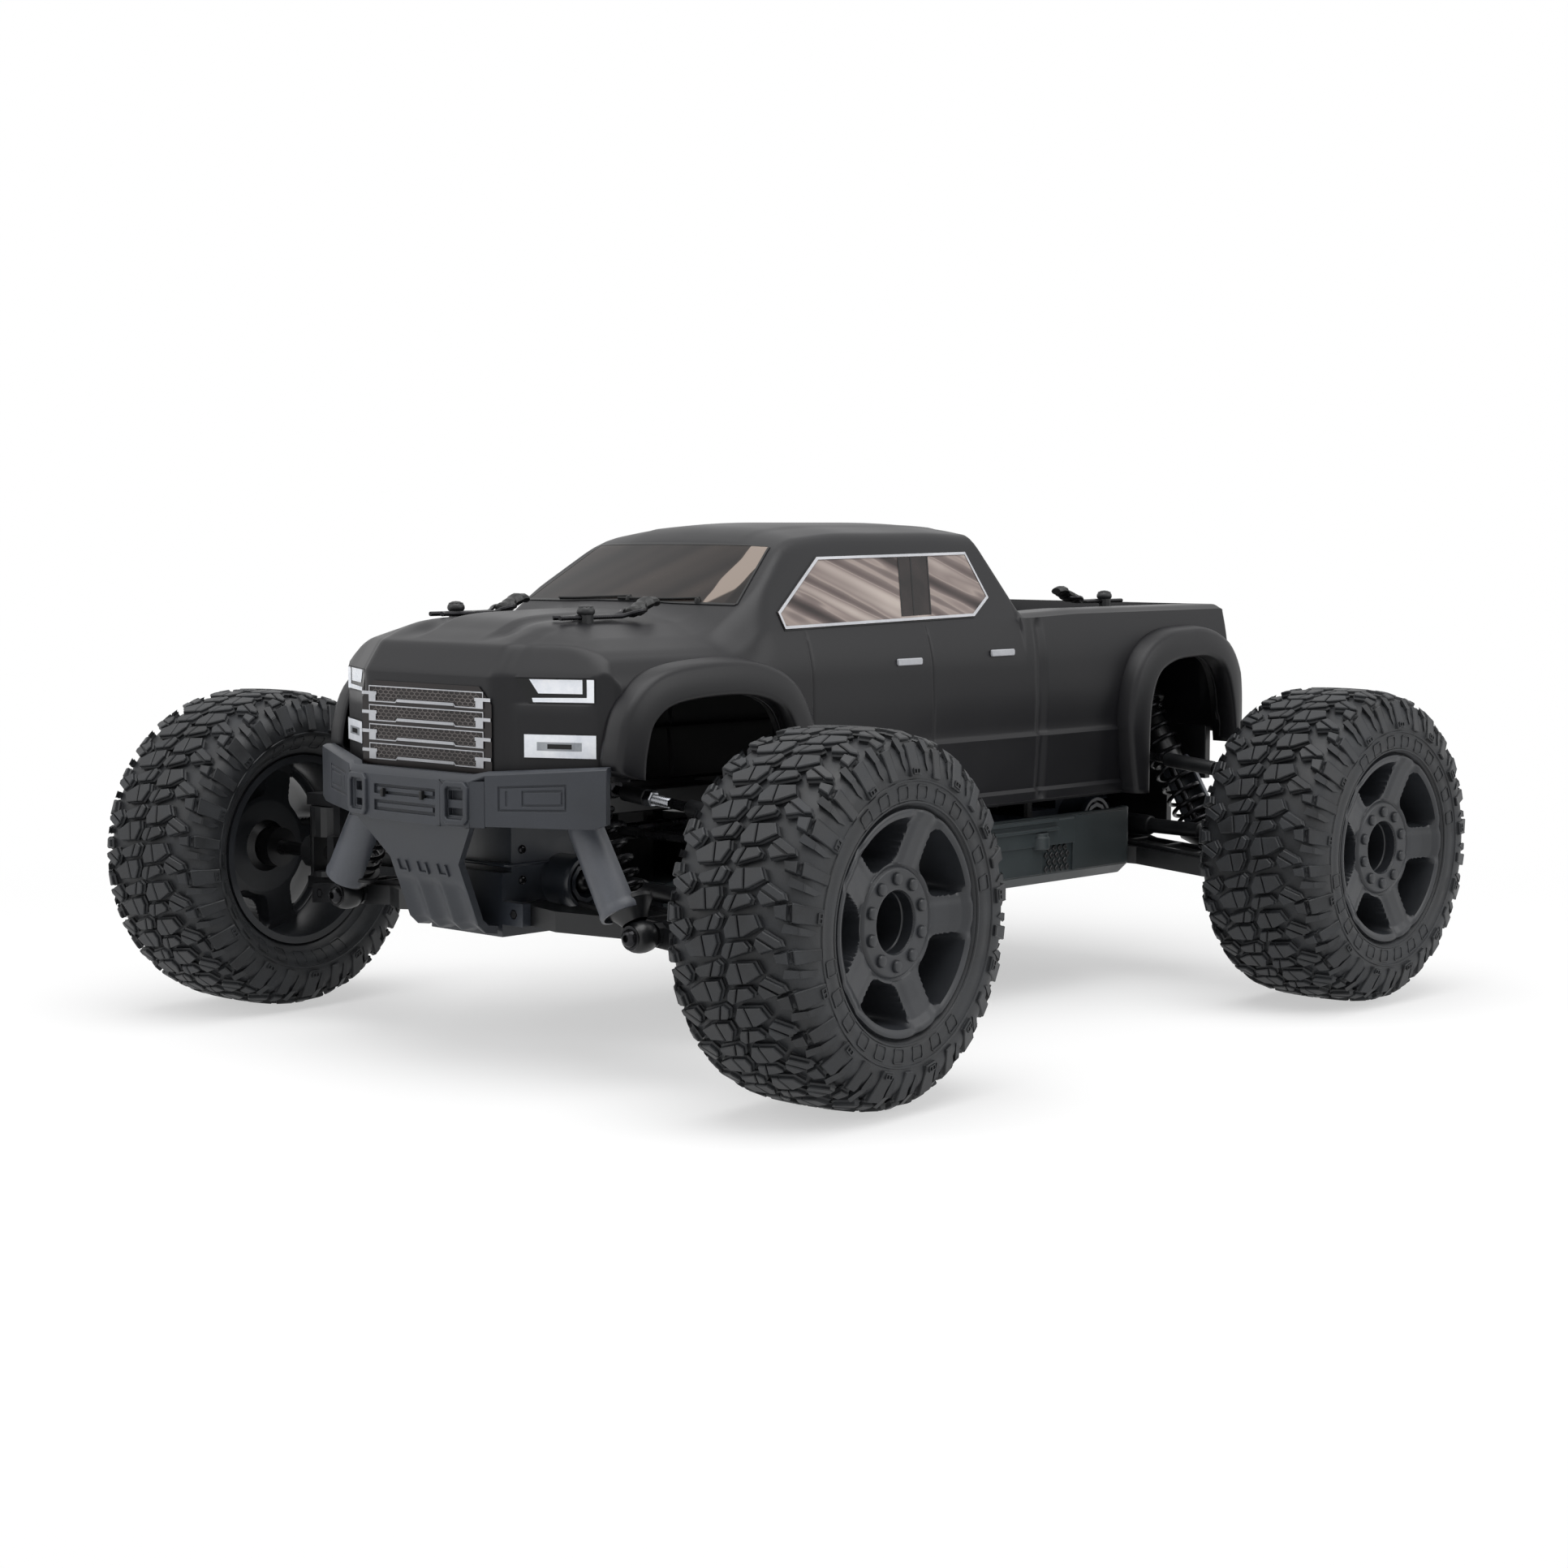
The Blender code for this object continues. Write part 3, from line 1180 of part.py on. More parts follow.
def make_wheel(end, side, label):
    half = RIM_WIDTH / 2
    face = half - RIM_DISH
    seat = RIM_RADIUS - RIM_SEAT_DROP
    inner = seat - RIM_WALL
    lip = RIM_LIP
    stub_end = -(KINGPIN_OFFSET - 3 * RUN - 2 * GAP)
    profile = [
        (0.0, HUB_BACK - RIM_WALL),
        (HUB_BORE_RADIUS, HUB_BACK - RIM_WALL),
        (HUB_BORE_RADIUS, face),
        (HUB_RADIUS, face - HUB_FACE_DROP),
        (inner, half),
        (RIM_RADIUS, half),
        (RIM_RADIUS, half - lip),
        (seat, half - lip),
        (seat, -half + lip),
        (RIM_RADIUS, -half + lip),
        (RIM_RADIUS, -half),
        (inner, -half),
        (inner, half - SPOKE_BACK),
        (HUB_BORE_RADIUS, HUB_BACK - 3 * RIM_WALL),
        (STUB_AXLE_RADIUS, HUB_BACK - 3 * RIM_WALL),
        (STUB_AXLE_RADIUS, stub_end),
        (0.0, stub_end),
    ]
    wheel = turned("wheel_" + label, profile, WHEEL_STEPS)
    window_inner = HUB_RADIUS + RIM_WALL
    window_outer = inner - RIM_WALL / 2
    windows = []
    for i in range(SPOKES):
        middle = 2 * math.pi * (i + 0.5) / SPOKES
        outline = []
        for radius, signs in ((window_inner, (-1, 1)), (window_outer, (1, 0, -1))):
            spread = math.pi / SPOKES - math.asin(SPOKE_WIDTH / 2 / radius)
            for sign in signs:
                angle = middle + sign * spread
                outline.append((radius * math.cos(angle), radius * math.sin(angle)))
        windows.append(plate("window", outline, 0.0, RIM_WIDTH, "Z"))
    cut(wheel, *windows)
    return finish(smooth(stand_on_axle(wheel, end, side)), "wheel_nylon")


# A point of the tyre: flank +1 is the outer half, and the inner half is the same half turned round.
def tyre_point(radius, across, flank, turn):
    pitch = 2 * math.pi / TREAD_TILES
    angle = (flank * turn + TREAD_PHASE_SHARE) * pitch
    if flank < 0:
        angle += TREAD_TURN_SHARE * pitch
    return (radius * math.cos(angle), radius * math.sin(angle), flank * across)


def tread_point(column, turn, flank, lift):
    height, width, rise, spread = column
    section = TYRE_RADIUS - LUG_DEPTH - RIM_RADIUS
    half = TYRE_WIDTH / 2 - LUG_DEPTH * BAR_END[3]
    radius = RIM_RADIUS + section * height + lift * LUG_DEPTH * rise
    across = half * width + lift * LUG_DEPTH * spread - flank * TYRE_SHIFT
    return tyre_point(radius, across, flank, turn)


# Raised block and shoulder bar of one tile, with the carcass between them.
def tread_faces(tile, flank):
    def foot(column, edge):
        return tread_point(column, tile + edge, flank, 0)

    def top(column, edge):
        return tread_point(column, tile + edge, flank, 1)

    a, b = BLOCK_INNER, BLOCK_OUTER
    c, d = BAR_SHOULDER, BAR_END
    a1, a2 = BLOCK_INNER_EDGES
    b1, b2, b3 = BLOCK_OUTER_EDGES
    c1, c2 = BAR_SHOULDER_EDGES
    d1, d2 = BAR_END_EDGES
    return [
        [top(a, a1), top(b, b1), top(b, b2), top(b, b3), top(a, a2)],
        [foot(a, a1), foot(a, a2), top(a, a2), top(a, a1)],
        [foot(a, a1), top(a, a1), top(b, b1), foot(b, b1)],
        [foot(a, a2), foot(b, b3), top(b, b3), top(a, a2)],
        [foot(b, b1), top(b, b1), top(b, b2), foot(b, b2)],
        [foot(a, a2), foot(a, a1 + 1), foot(b, b1 + 1), foot(b, b3)],
        [top(b, b2), top(c, c1), top(c, c2), top(b, b3)],
        [foot(b, b2), top(b, b2), top(c, c1), foot(c, c1)],
        [foot(b, b3), foot(c, c2), top(c, c2), top(b, b3)],
        [top(c, c1), top(d, d1), top(d, d2), top(c, c2)],
        [foot(c, c1), top(c, c1), top(d, d1), foot(d, d1)],
        [foot(c, c2), foot(d, d2), top(d, d2), top(c, c2)],
        [foot(d, d1), top(d, d1), top(d, d2), foot(d, d2)],
        [foot(b, b3), foot(b, b1 + 1), foot(b, b2 + 1), foot(c, c1 + 1), foot(c, c2)],
        [foot(c, c2), foot(c, c1 + 1), foot(d, d1 + 1), foot(d, d2)],
    ]


# Sidewall, bead and inner wall of one tile; the inner wall has one face for two tiles.
def wall_faces(tile, flank):
    over = 1 / math.cos(math.pi / TREAD_TILES)
    seat = (RIM_RADIUS - RIM_SEAT_DROP + PIN_PLAY) * over
    bead = RIM_WIDTH / 2 - RIM_LIP - GAP
    section = TYRE_RADIUS - LUG_DEPTH - RIM_RADIUS
    half = TYRE_WIDTH / 2 - LUG_DEPTH * BAR_END[3]
    shift = flank * TYRE_SHIFT
    rings = [
        ((RIM_RADIUS + GAP) * over, bead + RUN),
        (seat, bead),
        (seat, bead - BEAD_SHARE * TYRE_WALL),
        (RIM_RADIUS + SIDEWALL_SHARE * section, half - TYRE_WALL - shift),
        (RIM_RADIUS + section - TYRE_WALL, half * CARCASS_SHARE - shift),
    ]

    def ring(row, turn):
        return tyre_point(*rings[row], flank, tile + turn)

    d1, d2 = BAR_END_EDGES
    near, far = (tread_point(BAR_END, tile + edge, flank, 0) for edge in (d1, d2))
    after = tread_point(BAR_END, tile + 1 + d1, flank, 0)
    faces = [
        [near, far, ring(0, 1)],
        [far, after, ring(0, 2), ring(0, 1)],
        [ring(0, 0), ring(0, 1), ring(1, 1), ring(1, 0)],
        [ring(1, 0), ring(1, 1), ring(2, 1), ring(2, 0)],
    ]
    if tile % 2 == 0:
        faces.append([ring(2, 0), ring(2, 1), ring(2, 2), ring(3, 2), ring(3, 0)])
        faces.append([ring(3, 0), ring(3, 2), ring(4, 2), ring(4, 0)])
    if tile % 2 == 0 and flank > 0:
        across = half * CARCASS_SHARE + TYRE_SHIFT
        back = [tyre_point(rings[4][0], across, -1, -(tile + turn)) for turn in (2, 0)]
        faces.append([ring(4, 0), ring(4, 2), *back])
    return faces


# Channel floor along the middle of the tread, between the two halves.
def channel_faces(tile):
    a1, a2 = BLOCK_INNER_EDGES
    here = [tread_point(BLOCK_INNER, tile + edge, 1, 0) for edge in (a1, a2, 1 + a1)]
    there = [tread_point(BLOCK_INNER, edge - tile - 1, -1, 0) for edge in (a2, a1, a2 - 1)]
    return [[here[0], here[1], there[1], there[0]], [here[1], here[2], there[2], there[1]]]


def make_tyre(end, side, label):
    faces = []
    for tile in range(TREAD_TILES):
        faces += channel_faces(tile)
        for flank in (1, -1):
            faces += tread_faces(tile, flank) + wall_faces(tile, flank)
    points = [point for face in faces for point in face]
    indices = iter(range(len(points)))
    mesh = bpy.data.meshes.new("tyre_" + label)
    mesh.from_pydata(points, [], [[next(indices) for _ in face] for face in faces])
    tyre = weld(add_object("tyre_" + label, mesh))
    return finish(stand_on_axle(tyre, end, side), "tyre_rubber")


def make_corner(end, side, root, drag_link):
    label = END_NAMES[end] + "_" + SIDE_NAMES[side]
    inner_pin = at(end, side, 0, INNER_PIN_V, INNER_PIN_Z)
    outer_pin = at(end, side, 0, OUTER_PIN_V, OUTER_PIN_Z)
    kingpin = at(end, side, 0, KINGPIN_V, AXLE_Z)
    wheel_centre = at(end, side, 0, WHEEL_V, AXLE_Z)
    arm = hang(make_arm(end, side, label), inner_pin, root)
    if end == FRONT:
        upright = hang(make_caster_block(side), outer_pin, arm)
        carrier = hang(make_knuckle(side), kingpin, upright)
        tie_rod, tie_rod_pivot = make_tie_rod(side)
        hang(tie_rod, tie_rod_pivot, drag_link)
    else:
        upright = hang(make_rear_hub(side), outer_pin, arm)
        carrier = upright
    wheel = hang(make_wheel(end, side, label), wheel_centre, carrier)
    hang(make_tyre(end, side, label), wheel_centre, wheel)
    if end == FRONT:
        carrier.rotation_euler.z = STEER_AT_REST
    halfshaft, inner_joint = make_halfshaft(end, side, label)
    hang(halfshaft, inner_joint, arm)
    head = at(end, side, SHOCK_U, SHOCK_HEAD_V, SHOCK_HEAD_Z)
    foot = at(end, side, SHOCK_U, SHOCK_FOOT_V, SHOCK_FOOT_Z)
    body = hang(make_damper_body(end, side, label), head, root)
    hang(make_damper_shaft(end, side, label), foot, body)
    hang(make_spring(end, side, label), head, body)
    link_inner = at(end, side, LINK_U, LINK_INNER_V, LINK_INNER_Z)
    link_outer = at(end, side, LINK_U, LINK_OUTER_V, LINK_OUTER_Z)
    hang(make_link("camber_link_" + label, link_inner, link_outer, "link_steel"), link_inner, root)


# A wire clip through the hole of one body post: a straight leg, a ring and a leg that bows round the post.
def make_clip(end, side, root):
    bow = POST_RADIUS + CLIP_WIRE + 2 * RUN
    ring_u = POST_U - CLIP_RING
    route = [(POST_U + CLIP_TIP, 0.0), (ring_u, 0.0)]
    for i in range(1, 7):
        angle = math.radians(30 + 45 * i - 45)
        route.append(
            (
                ring_u - CLIP_RING_RADIUS * math.sin(angle),
                CLIP_RING_RADIUS * (1 - math.cos(angle)),
            )
        )
    route += [
        (POST_U - 2 * bow, bow),
        (POST_U + bow, bow),
        (POST_U + CLIP_TIP, bow + CLIP_RING_RADIUS / 2),
    ]
    points = [at(end, side, u, POST_V + v, CLIP_Z) for u, v in route]
    label = END_NAMES[end] + "_" + SIDE_NAMES[side]
    clip = finish(tube("body_clip_" + label, points, CLIP_WIRE, 0), "clip_wire")
    return hang(clip, at(end, side, POST_U, POST_V, CLIP_Z), root)


# Body shell: blocks bounded by a section, a plan and a side view, hollowed by the same blocks moved in.
def shell_block(name, section, side_view, wall, floor):
    reach = 2 * SIDE_V
    outlines = [section, side_view]
    if wall > 0.0:
        outlines = [inset(outline, wall) for outline in outlines]
        outlines[1] = [(x, z - RAIL_Z / 2 if z < floor else z) for x, z in outlines[1]]
    block = plate(name, outlines[0], TAIL_X - reach, NOSE_X + reach, "X")
    return keep_common(block, plate(name + "_view", outlines[1], -reach, reach, "Y"))


def lower_block(wall):
    section = mirrored(
        [
            (ROCKER_V, ROCKER_Z - ROCKER_SKIRT),
            (ROCKER_V, ROCKER_Z),
            (SIDE_V - SIDE_TUCK, ROCKER_Z + ROCKER_RISE),
            (SIDE_V - SIDE_TUCK, CREASE_Z - SIDE_TUCK),
            (SIDE_V, CREASE_Z),
            (SIDE_V - WAIST_TUCK, (CREASE_Z + FENDER_Z) / 2 + WAIST_RISE),
            (FENDER_V + FENDER_STEP_V, FENDER_Z - FENDER_STEP_Z),
            (FENDER_V, FENDER_Z),
            (HOOD_EDGE_V + HOOD_STEP_V, HOOD_EDGE_Z - HOOD_STEP_Z),
            (HOOD_EDGE_V, HOOD_EDGE_Z),
            (HOOD_EDGE_V * HOOD_CROWN_SHARE, HOOD_Z - HOOD_CROWN_DROP),
            (0.0, HOOD_Z),
        ]
    )
    side_view = [
        (TAIL_X + TAIL_LEAN, TAIL_LOW_Z),
        (-AXLE_X, ROCKER_Z),
        (AXLE_X, ROCKER_Z),
        (FENDER_X + FENDER_TOE, NOSE_LOW_Z),
        (NOSE_X + SHELL_OVER, NOSE_LOW_Z),
        (NOSE_X + SHELL_OVER, NOSE_TOP_Z),
        (NOSE_X - NOSE_BEND_RUN, NOSE_TOP_Z + NOSE_BEND_RISE),
        (NOSE_X - HOOD_FRONT_RUN, NOSE_TOP_Z + HOOD_FRONT_RISE),
        (NOSE_X - HOOD_TOP_RUN, HOOD_Z - HOOD_TOP_DROP),
        (SCREEN_BASE_X, HOOD_Z + SHELL_OVER),
        (CAB_REAR_LOW_X + CAB_FOOT_RUN, HOOD_Z + SHELL_OVER),
        (CAB_REAR_LOW_X + BED_UNDER_RUN, BED_FLOOR_Z - BED_UNDER_DROP),
        (TAIL_X + SHELL_OVER, BED_FLOOR_Z - TAIL_UNDER_DROP),
    ]
    plan_half = [
        (NOSE_X, NOSE_HALF),
        (CHEEK_X, CHEEK_V),
        (FENDER_X, SIDE_V + SHELL_OVER),
        (TAIL_X + TAIL_CORNER_RUN, SIDE_V + SHELL_OVER),
        (TAIL_X - TAIL_LEAN, SIDE_V - TAIL_CORNER_V),
    ]
    plan = plan_half + [(x, -y) for x, y in reversed(plan_half)]
    if wall > 0.0:
        plan = inset(plan, wall)
    block = shell_block("lower_block", section, side_view, wall, NOSE_LOW_Z + NOSE_LIP)
    return keep_common(block, plate("plan", plan, -ROOF_Z, 2 * ROOF_Z, "Z"))


def bed_block(wall):
    section = mirrored(
        [
            (SIDE_V - BED_TUCK, CREASE_Z),
            (SIDE_V - BED_SIDE_TUCK, RAIL_Z - BED_SIDE_DROP),
            (SIDE_V - BED_TUCK, RAIL_Z - RAIL_ROUND_Z),
            (SIDE_V - RAIL_STEP_V, RAIL_Z),
        ]
    )
    side_view = [
        (CAB_REAR_LOW_X + BED_LAP, CREASE_Z + BED_FOOT_RISE),
        (CAB_REAR_LOW_X + BED_LAP, RAIL_Z + SHELL_OVER),
        (TAIL_X + TAIL_TOP_RUN, RAIL_Z + SHELL_OVER),
        (TAIL_X + TAIL_ROUND_RUN, RAIL_Z - TAIL_ROUND_DROP),
        (TAIL_X, RAIL_Z - TAIL_TOP_DROP),
        (TAIL_X + TAIL_FOOT_RUN, CREASE_Z + BED_FOOT_RISE),
    ]
    block = shell_block("bed_block", section, side_view, wall, 0.0)
    recess = box(
        "bed_recess",
        (TAIL_X + BED_TAIL_WALL - wall, -RAIL_V - wall, BED_FLOOR_Z - wall),
        (CAB_REAR_LOW_X - SHELL_OVER + wall, RAIL_V + wall, 2 * ROOF_Z),
    )
    return cut(block, recess)


def cab_block(wall):
    sill_z = FENDER_Z - CAB_SILL_DROP
    section = mirrored(
        [
            (BELT_V, sill_z - CAB_SKIRT),
            (BELT_V, BELT_Z),
            (ROOF_V + ROOF_EDGE_OUT, ROOF_Z - ROOF_EDGE_DROP),
            (ROOF_V - ROOF_CROWN_IN, ROOF_Z - ROOF_CROWN_DROP),
            (0.0, ROOF_Z),
        ]
    )
    side_view = [
        (SCREEN_BASE_X + COWL_RUN, sill_z),
        (SCREEN_BASE_X + COWL_STEP_RUN, HOOD_Z - COWL_STEP_DROP),
        (SCREEN_BASE_X, HOOD_Z),
        (SCREEN_TOP_X, ROOF_Z - SCREEN_TOP_DROP),
        (SCREEN_TOP_X - ROOF_FRONT_RUN, ROOF_Z - ROOF_FRONT_DROP),
        (CAB_REAR_TOP_X + ROOF_REAR_RUN, ROOF_Z - SHELL_OVER),
        (CAB_REAR_TOP_X, ROOF_Z - ROOF_REAR_DROP),
        (CAB_REAR_LOW_X, RAIL_Z - CAB_LAP),
        (CAB_REAR_LOW_X, sill_z),
    ]
    return shell_block("cab_block", section, side_view, wall, 0.0)


def shell_blocks(wall):
    return join(lower_block(wall), bed_block(wall), cab_block(wall))


def arch_outlines():
    front = [(AXLE_X + u, z) for u, z in FRONT_ARCH]
    rear = [(-AXLE_X - u, z) for u, z in REAR_ARCH]
    return {FRONT: front, REAR: rear}


# The arch opening grown outwards by a band, open at the bottom.
def grown(outline, band):
    middle = sum(x for x, z in outline) / len(outline)
    result = []
    for i, (x, z) in enumerate(outline):
        before = Vector(outline[max(i - 1, 0)])
        after = Vector(outline[min(i + 1, len(outline) - 1)])
        along = (after - before).normalized()
        normal = Vector((-along.y, along.x))
        if normal.dot(Vector((x - middle, z - ROCKER_Z))) < 0:
            normal = -normal
        result.append((x + normal.x * band, z + normal.y * band))
    return result


# The arch opening with both legs run on well below the body.
def lengthened(outline):
    ends = []
    for tip, before in ((outline[0], outline[1]), (outline[-1], outline[-2])):
        along = (Vector(tip) - Vector(before)).normalized()
        ends.append(tuple(Vector(tip) + along * CREASE_Z / 3))
    return ends[:1] + outline[1:-1] + ends[1:]


def make_shell():
    shell = shell_blocks(0.0)
    shell.name = "body_shell"
    hollow = shell_blocks(SHELL_WALL)
    lip = FLARE_V - SIDE_V
    cut(shell, hollow)
    for end, opening in arch_outlines().items():
        band_outer = grown(opening, FLARE_BAND)
        band = grown(opening, -FLARE_BAND / 6) + list(reversed(band_outer))
        closed_opening = lengthened(opening)
        for side in (LEFT, RIGHT):
            inner_v, outer_v = side * (SIDE_V - SHELL_WALL - lip / 2), side * FLARE_V
            low, high = min(inner_v, outer_v), max(inner_v, outer_v)
            flare = plate("flare", band, low, high, "Y")
            cut_low, cut_high = sorted((side * (SIDE_V - 4 * lip), side * 2 * FLARE_V))
            arch = plate("arch", closed_opening, cut_low, cut_high, "Y")
            cut(join(shell, flare), arch)
    post_holes = [
        rod(
            "post_hole",
            at(end, side, POST_U, POST_V, BED_FLOOR_Z - 0.02),
            at(end, side, POST_U, POST_V, POST_TOP + 0.02),
            POST_RADIUS + 2 * GAP,
            ROUND,
        )
        for end in (FRONT, REAR)
        for side in (LEFT, RIGHT)
    ]
    return finish(cut(shell, *post_holes), "shell_polycarbonate")


def clear_scene():
    for obj in list(bpy.data.objects):
        bpy.data.objects.remove(obj)


def build():
    root = make_tub()
    fixed = [
        make_gearbox(FRONT),
        make_gearbox(REAR),
        make_tower(FRONT),
        make_tower(REAR),
        make_bumper(),
        make_battery(),
        make_controller(),
        make_servo(),
        make_motor(),
        make_shell(),
    ]
    for obj in fixed:
        obj.parent = root
    make_drive_line(root)
    drag_link = make_linkage(root)
    for end in (FRONT, REAR):
        for side in (LEFT, RIGHT):
            make_corner(end, side, root, drag_link)
            make_clip(end, side, root)
    gap = least_gap(spring_path(), SPRING_WIRE)
    print(f"spring: least gap between curls {gap * 1000:.2f} mm")


clear_scene()
PARTS = bpy.data.collections.new("rc_monster_truck")
bpy.context.scene.collection.children.link(PARTS)
build()
bpy.context.view_layer.update()
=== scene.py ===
# Looks of a radio-controlled monster truck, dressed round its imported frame.
# Metres; +X forward, +Y the truck's left, +Z up.
import json
import math

import bmesh
import bpy
import numpy as np
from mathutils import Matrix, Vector

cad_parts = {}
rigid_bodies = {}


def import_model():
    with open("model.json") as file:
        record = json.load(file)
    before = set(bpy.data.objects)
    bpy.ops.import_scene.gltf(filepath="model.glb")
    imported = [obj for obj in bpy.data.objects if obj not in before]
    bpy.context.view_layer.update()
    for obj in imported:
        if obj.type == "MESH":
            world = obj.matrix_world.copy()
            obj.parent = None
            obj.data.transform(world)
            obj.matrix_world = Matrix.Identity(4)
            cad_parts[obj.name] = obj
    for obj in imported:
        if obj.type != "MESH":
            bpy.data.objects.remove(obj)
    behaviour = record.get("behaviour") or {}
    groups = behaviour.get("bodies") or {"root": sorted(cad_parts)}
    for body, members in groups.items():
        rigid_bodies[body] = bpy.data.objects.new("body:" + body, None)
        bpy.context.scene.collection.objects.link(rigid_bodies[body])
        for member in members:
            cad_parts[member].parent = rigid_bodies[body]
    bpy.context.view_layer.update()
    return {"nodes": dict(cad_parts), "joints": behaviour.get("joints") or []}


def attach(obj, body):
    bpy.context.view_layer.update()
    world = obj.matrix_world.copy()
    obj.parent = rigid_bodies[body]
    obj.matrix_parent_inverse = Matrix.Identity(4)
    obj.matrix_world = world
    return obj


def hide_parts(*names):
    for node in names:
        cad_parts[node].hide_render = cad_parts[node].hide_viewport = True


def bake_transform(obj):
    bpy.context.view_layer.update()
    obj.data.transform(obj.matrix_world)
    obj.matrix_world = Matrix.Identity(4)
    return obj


for leftover in list(bpy.data.objects):
    bpy.data.objects.remove(leftover)
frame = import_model()
nodes = frame["nodes"]
joints = {joint["name"]: joint for joint in frame["joints"]}
corners = [(end + "_" + side, e, s)
           for end, e in (("front", 1), ("rear", -1)) for side, s in (("left", 1), ("right", -1))]
axleX = 0.164  # both axles lie this far from the middle
# where (across, up, out) of a flat part go on the front, the left side and the back
frontAxes = ((0, 1, 0), (0, 0, 1), (1, 0, 0))
leftAxes = ((-1, 0, 0), (0, 0, 1), (0, 1, 0))
backAxes = ((0, -1, 0), (0, 0, 1), (-1, 0, 0))
print("frame loaded with", len(nodes), "nodes")


# Small tools for meshes: a part is (points, faces, material slot)
def linear(code):  # sRGB hex to linear light
    srgb = np.array([int(code[i:i + 2], 16) for i in (1, 3, 5)]) / 255
    light = np.where(srgb <= 0.04045, srgb / 12.92, ((srgb + 0.055) / 1.055) ** 2.4)
    return (*light.tolist(), 1.0)


def gridFaces(rows, cols, closeRows=False, closeCols=False):  # quads between neighbouring grid points
    index = np.arange(rows * cols).reshape(rows, cols)
    if closeRows:
        index = np.vstack([index, index[:1]])
    if closeCols:
        index = np.hstack([index, index[:, :1]])
    quads = np.stack([index[:-1, :-1], index[1:, :-1], index[1:, 1:], index[:-1, 1:]], -1)
    return quads.reshape(-1, 4)


def sheetPart(points, slot=0, closeRows=False, closeCols=False):  # a surface on a grid of points
    faces = gridFaces(*points.shape[:2], closeRows, closeCols)
    return points.reshape(-1, 3), faces.tolist(), slot


def turnedPart(profile, steps, slot=0):  # (radius, height) profile carried round Z
    radius, height = np.asarray(profile, float).T
    angle = np.linspace(0, 2 * np.pi, steps, endpoint=False)
    points = np.stack([np.outer(radius, np.cos(angle)), np.outer(radius, np.sin(angle)),
                       np.repeat(height[:, None], steps, 1)], -1)
    return sheetPart(points, slot, closeCols=True)


def unit(vectors):  # vectors divided by their own lengths
    return vectors / np.linalg.norm(vectors, axis=-1, keepdims=True)


def closedEnds(part, count):  # the first and last loop of count points closed by a face each
    last = len(part[0])
    return part[0], part[1] + [list(range(count))[::-1], list(range(last - count, last))], part[2]


def sweptPart(path, profile, up, slot=0, closed=False):  # a closed (across, up) profile carried along a path
    path, profile = np.asarray(path, float), np.asarray(profile, float)
    ahead = np.roll(path, -1, 0) - np.roll(path, 1, 0) if closed else np.gradient(path, axis=0)
    along = unit(ahead)
    across = unit(np.cross(along, np.asarray(up, float)))
    rise = np.cross(across, along)
    points = path[:, None] + across[:, None] * profile[None, :, :1] + rise[:, None] * profile[None, :, 1:]
    part = sheetPart(points, slot, closeRows=closed, closeCols=True)
    return part if closed else closedEnds(part, len(profile))


def ring(radius, sides, turn=0.0):  # circle of points for sweeping and extruding
    angle = np.linspace(0, 2 * np.pi, sides, endpoint=False) + turn
    return np.stack([radius * np.cos(angle), radius * np.sin(angle)], -1)


def drawnIn(outline, amount):  # a polygon moved inwards along its corner bisectors
    outline = np.asarray(outline, float)
    edge = unit(np.roll(outline, -1, 0) - outline)
    inward = np.stack([-edge[:, 1], edge[:, 0]], -1)
    before = np.roll(inward, 1, 0)
    share = 1 + (inward * before).sum(1, keepdims=True)
    return outline + (inward + before) / np.maximum(share, 0.3) * amount


def insetLoops(outline, rows):  # one copy of an outline for each (inset, height)
    return np.stack([np.column_stack([drawnIn(outline, inset), np.full(len(outline), z)]) for inset, z in rows])


def blockPart(outline, low, high, chamfer, slot=0):  # counter-clockwise outline raised along Z, edges eased
    rows = [(chamfer, low), (0.0, low + chamfer), (0.0, high - chamfer), (chamfer, high)]
    return closedEnds(sheetPart(insetLoops(outline, rows), slot, closeCols=True), len(outline))


def boxOutline(halfX, halfY, corner=0.0):  # rectangle with cut corners
    if corner == 0.0:
        return np.array([(halfX, -halfY), (halfX, halfY), (-halfX, halfY), (-halfX, -halfY)])
    x, y = halfX - corner, halfY - corner
    return np.array([(halfX, -y), (halfX, y), (x, halfY), (-x, halfY), (-halfX, y), (-halfX, -y), (-x, -halfY),
                     (x, -halfY)])


def moved(part, axes=None, at=(0, 0, 0)):  # rows of axes say where the part's own X, Y and Z go
    points = part[0] if axes is None else part[0] @ np.asarray(axes, float)
    return points + np.asarray(at, float), part[1], part[2]


def flipped(part):  # the same part on the truck's other side
    return part[0] * (1, -1, 1), [face[::-1] for face in part[1]], part[2]


def bothSides(parts):  # parts of the truck's left, and the same on its right
    return parts + [flipped(part) for part in parts]


def axesFor(z, x=(0, 0, 1)):  # right-handed axes with Z along z and X near x
    z = unit(np.asarray(z, float))
    x = np.asarray(x, float)
    x = unit(x - z * (x @ z))
    return np.stack([x, np.cross(z, x), z])


def smoothCurve(points, count):  # Catmull-Rom curve through the points
    points = np.asarray(points, float)
    padded = np.vstack([2 * points[0] - points[1], points, 2 * points[-1] - points[-2]])
    place = np.linspace(0, len(points) - 1, count)
    first = np.minimum(place.astype(int), len(points) - 2)
    t = (place - first)[:, None]
    a, b, c, d = (padded[first + k] for k in range(4))
    return 0.5 * (2 * b + (c - a) * t + (2 * a - 5 * b + 4 * c - d) * t ** 2 + (3 * b - a - 3 * c + d) * t ** 3)


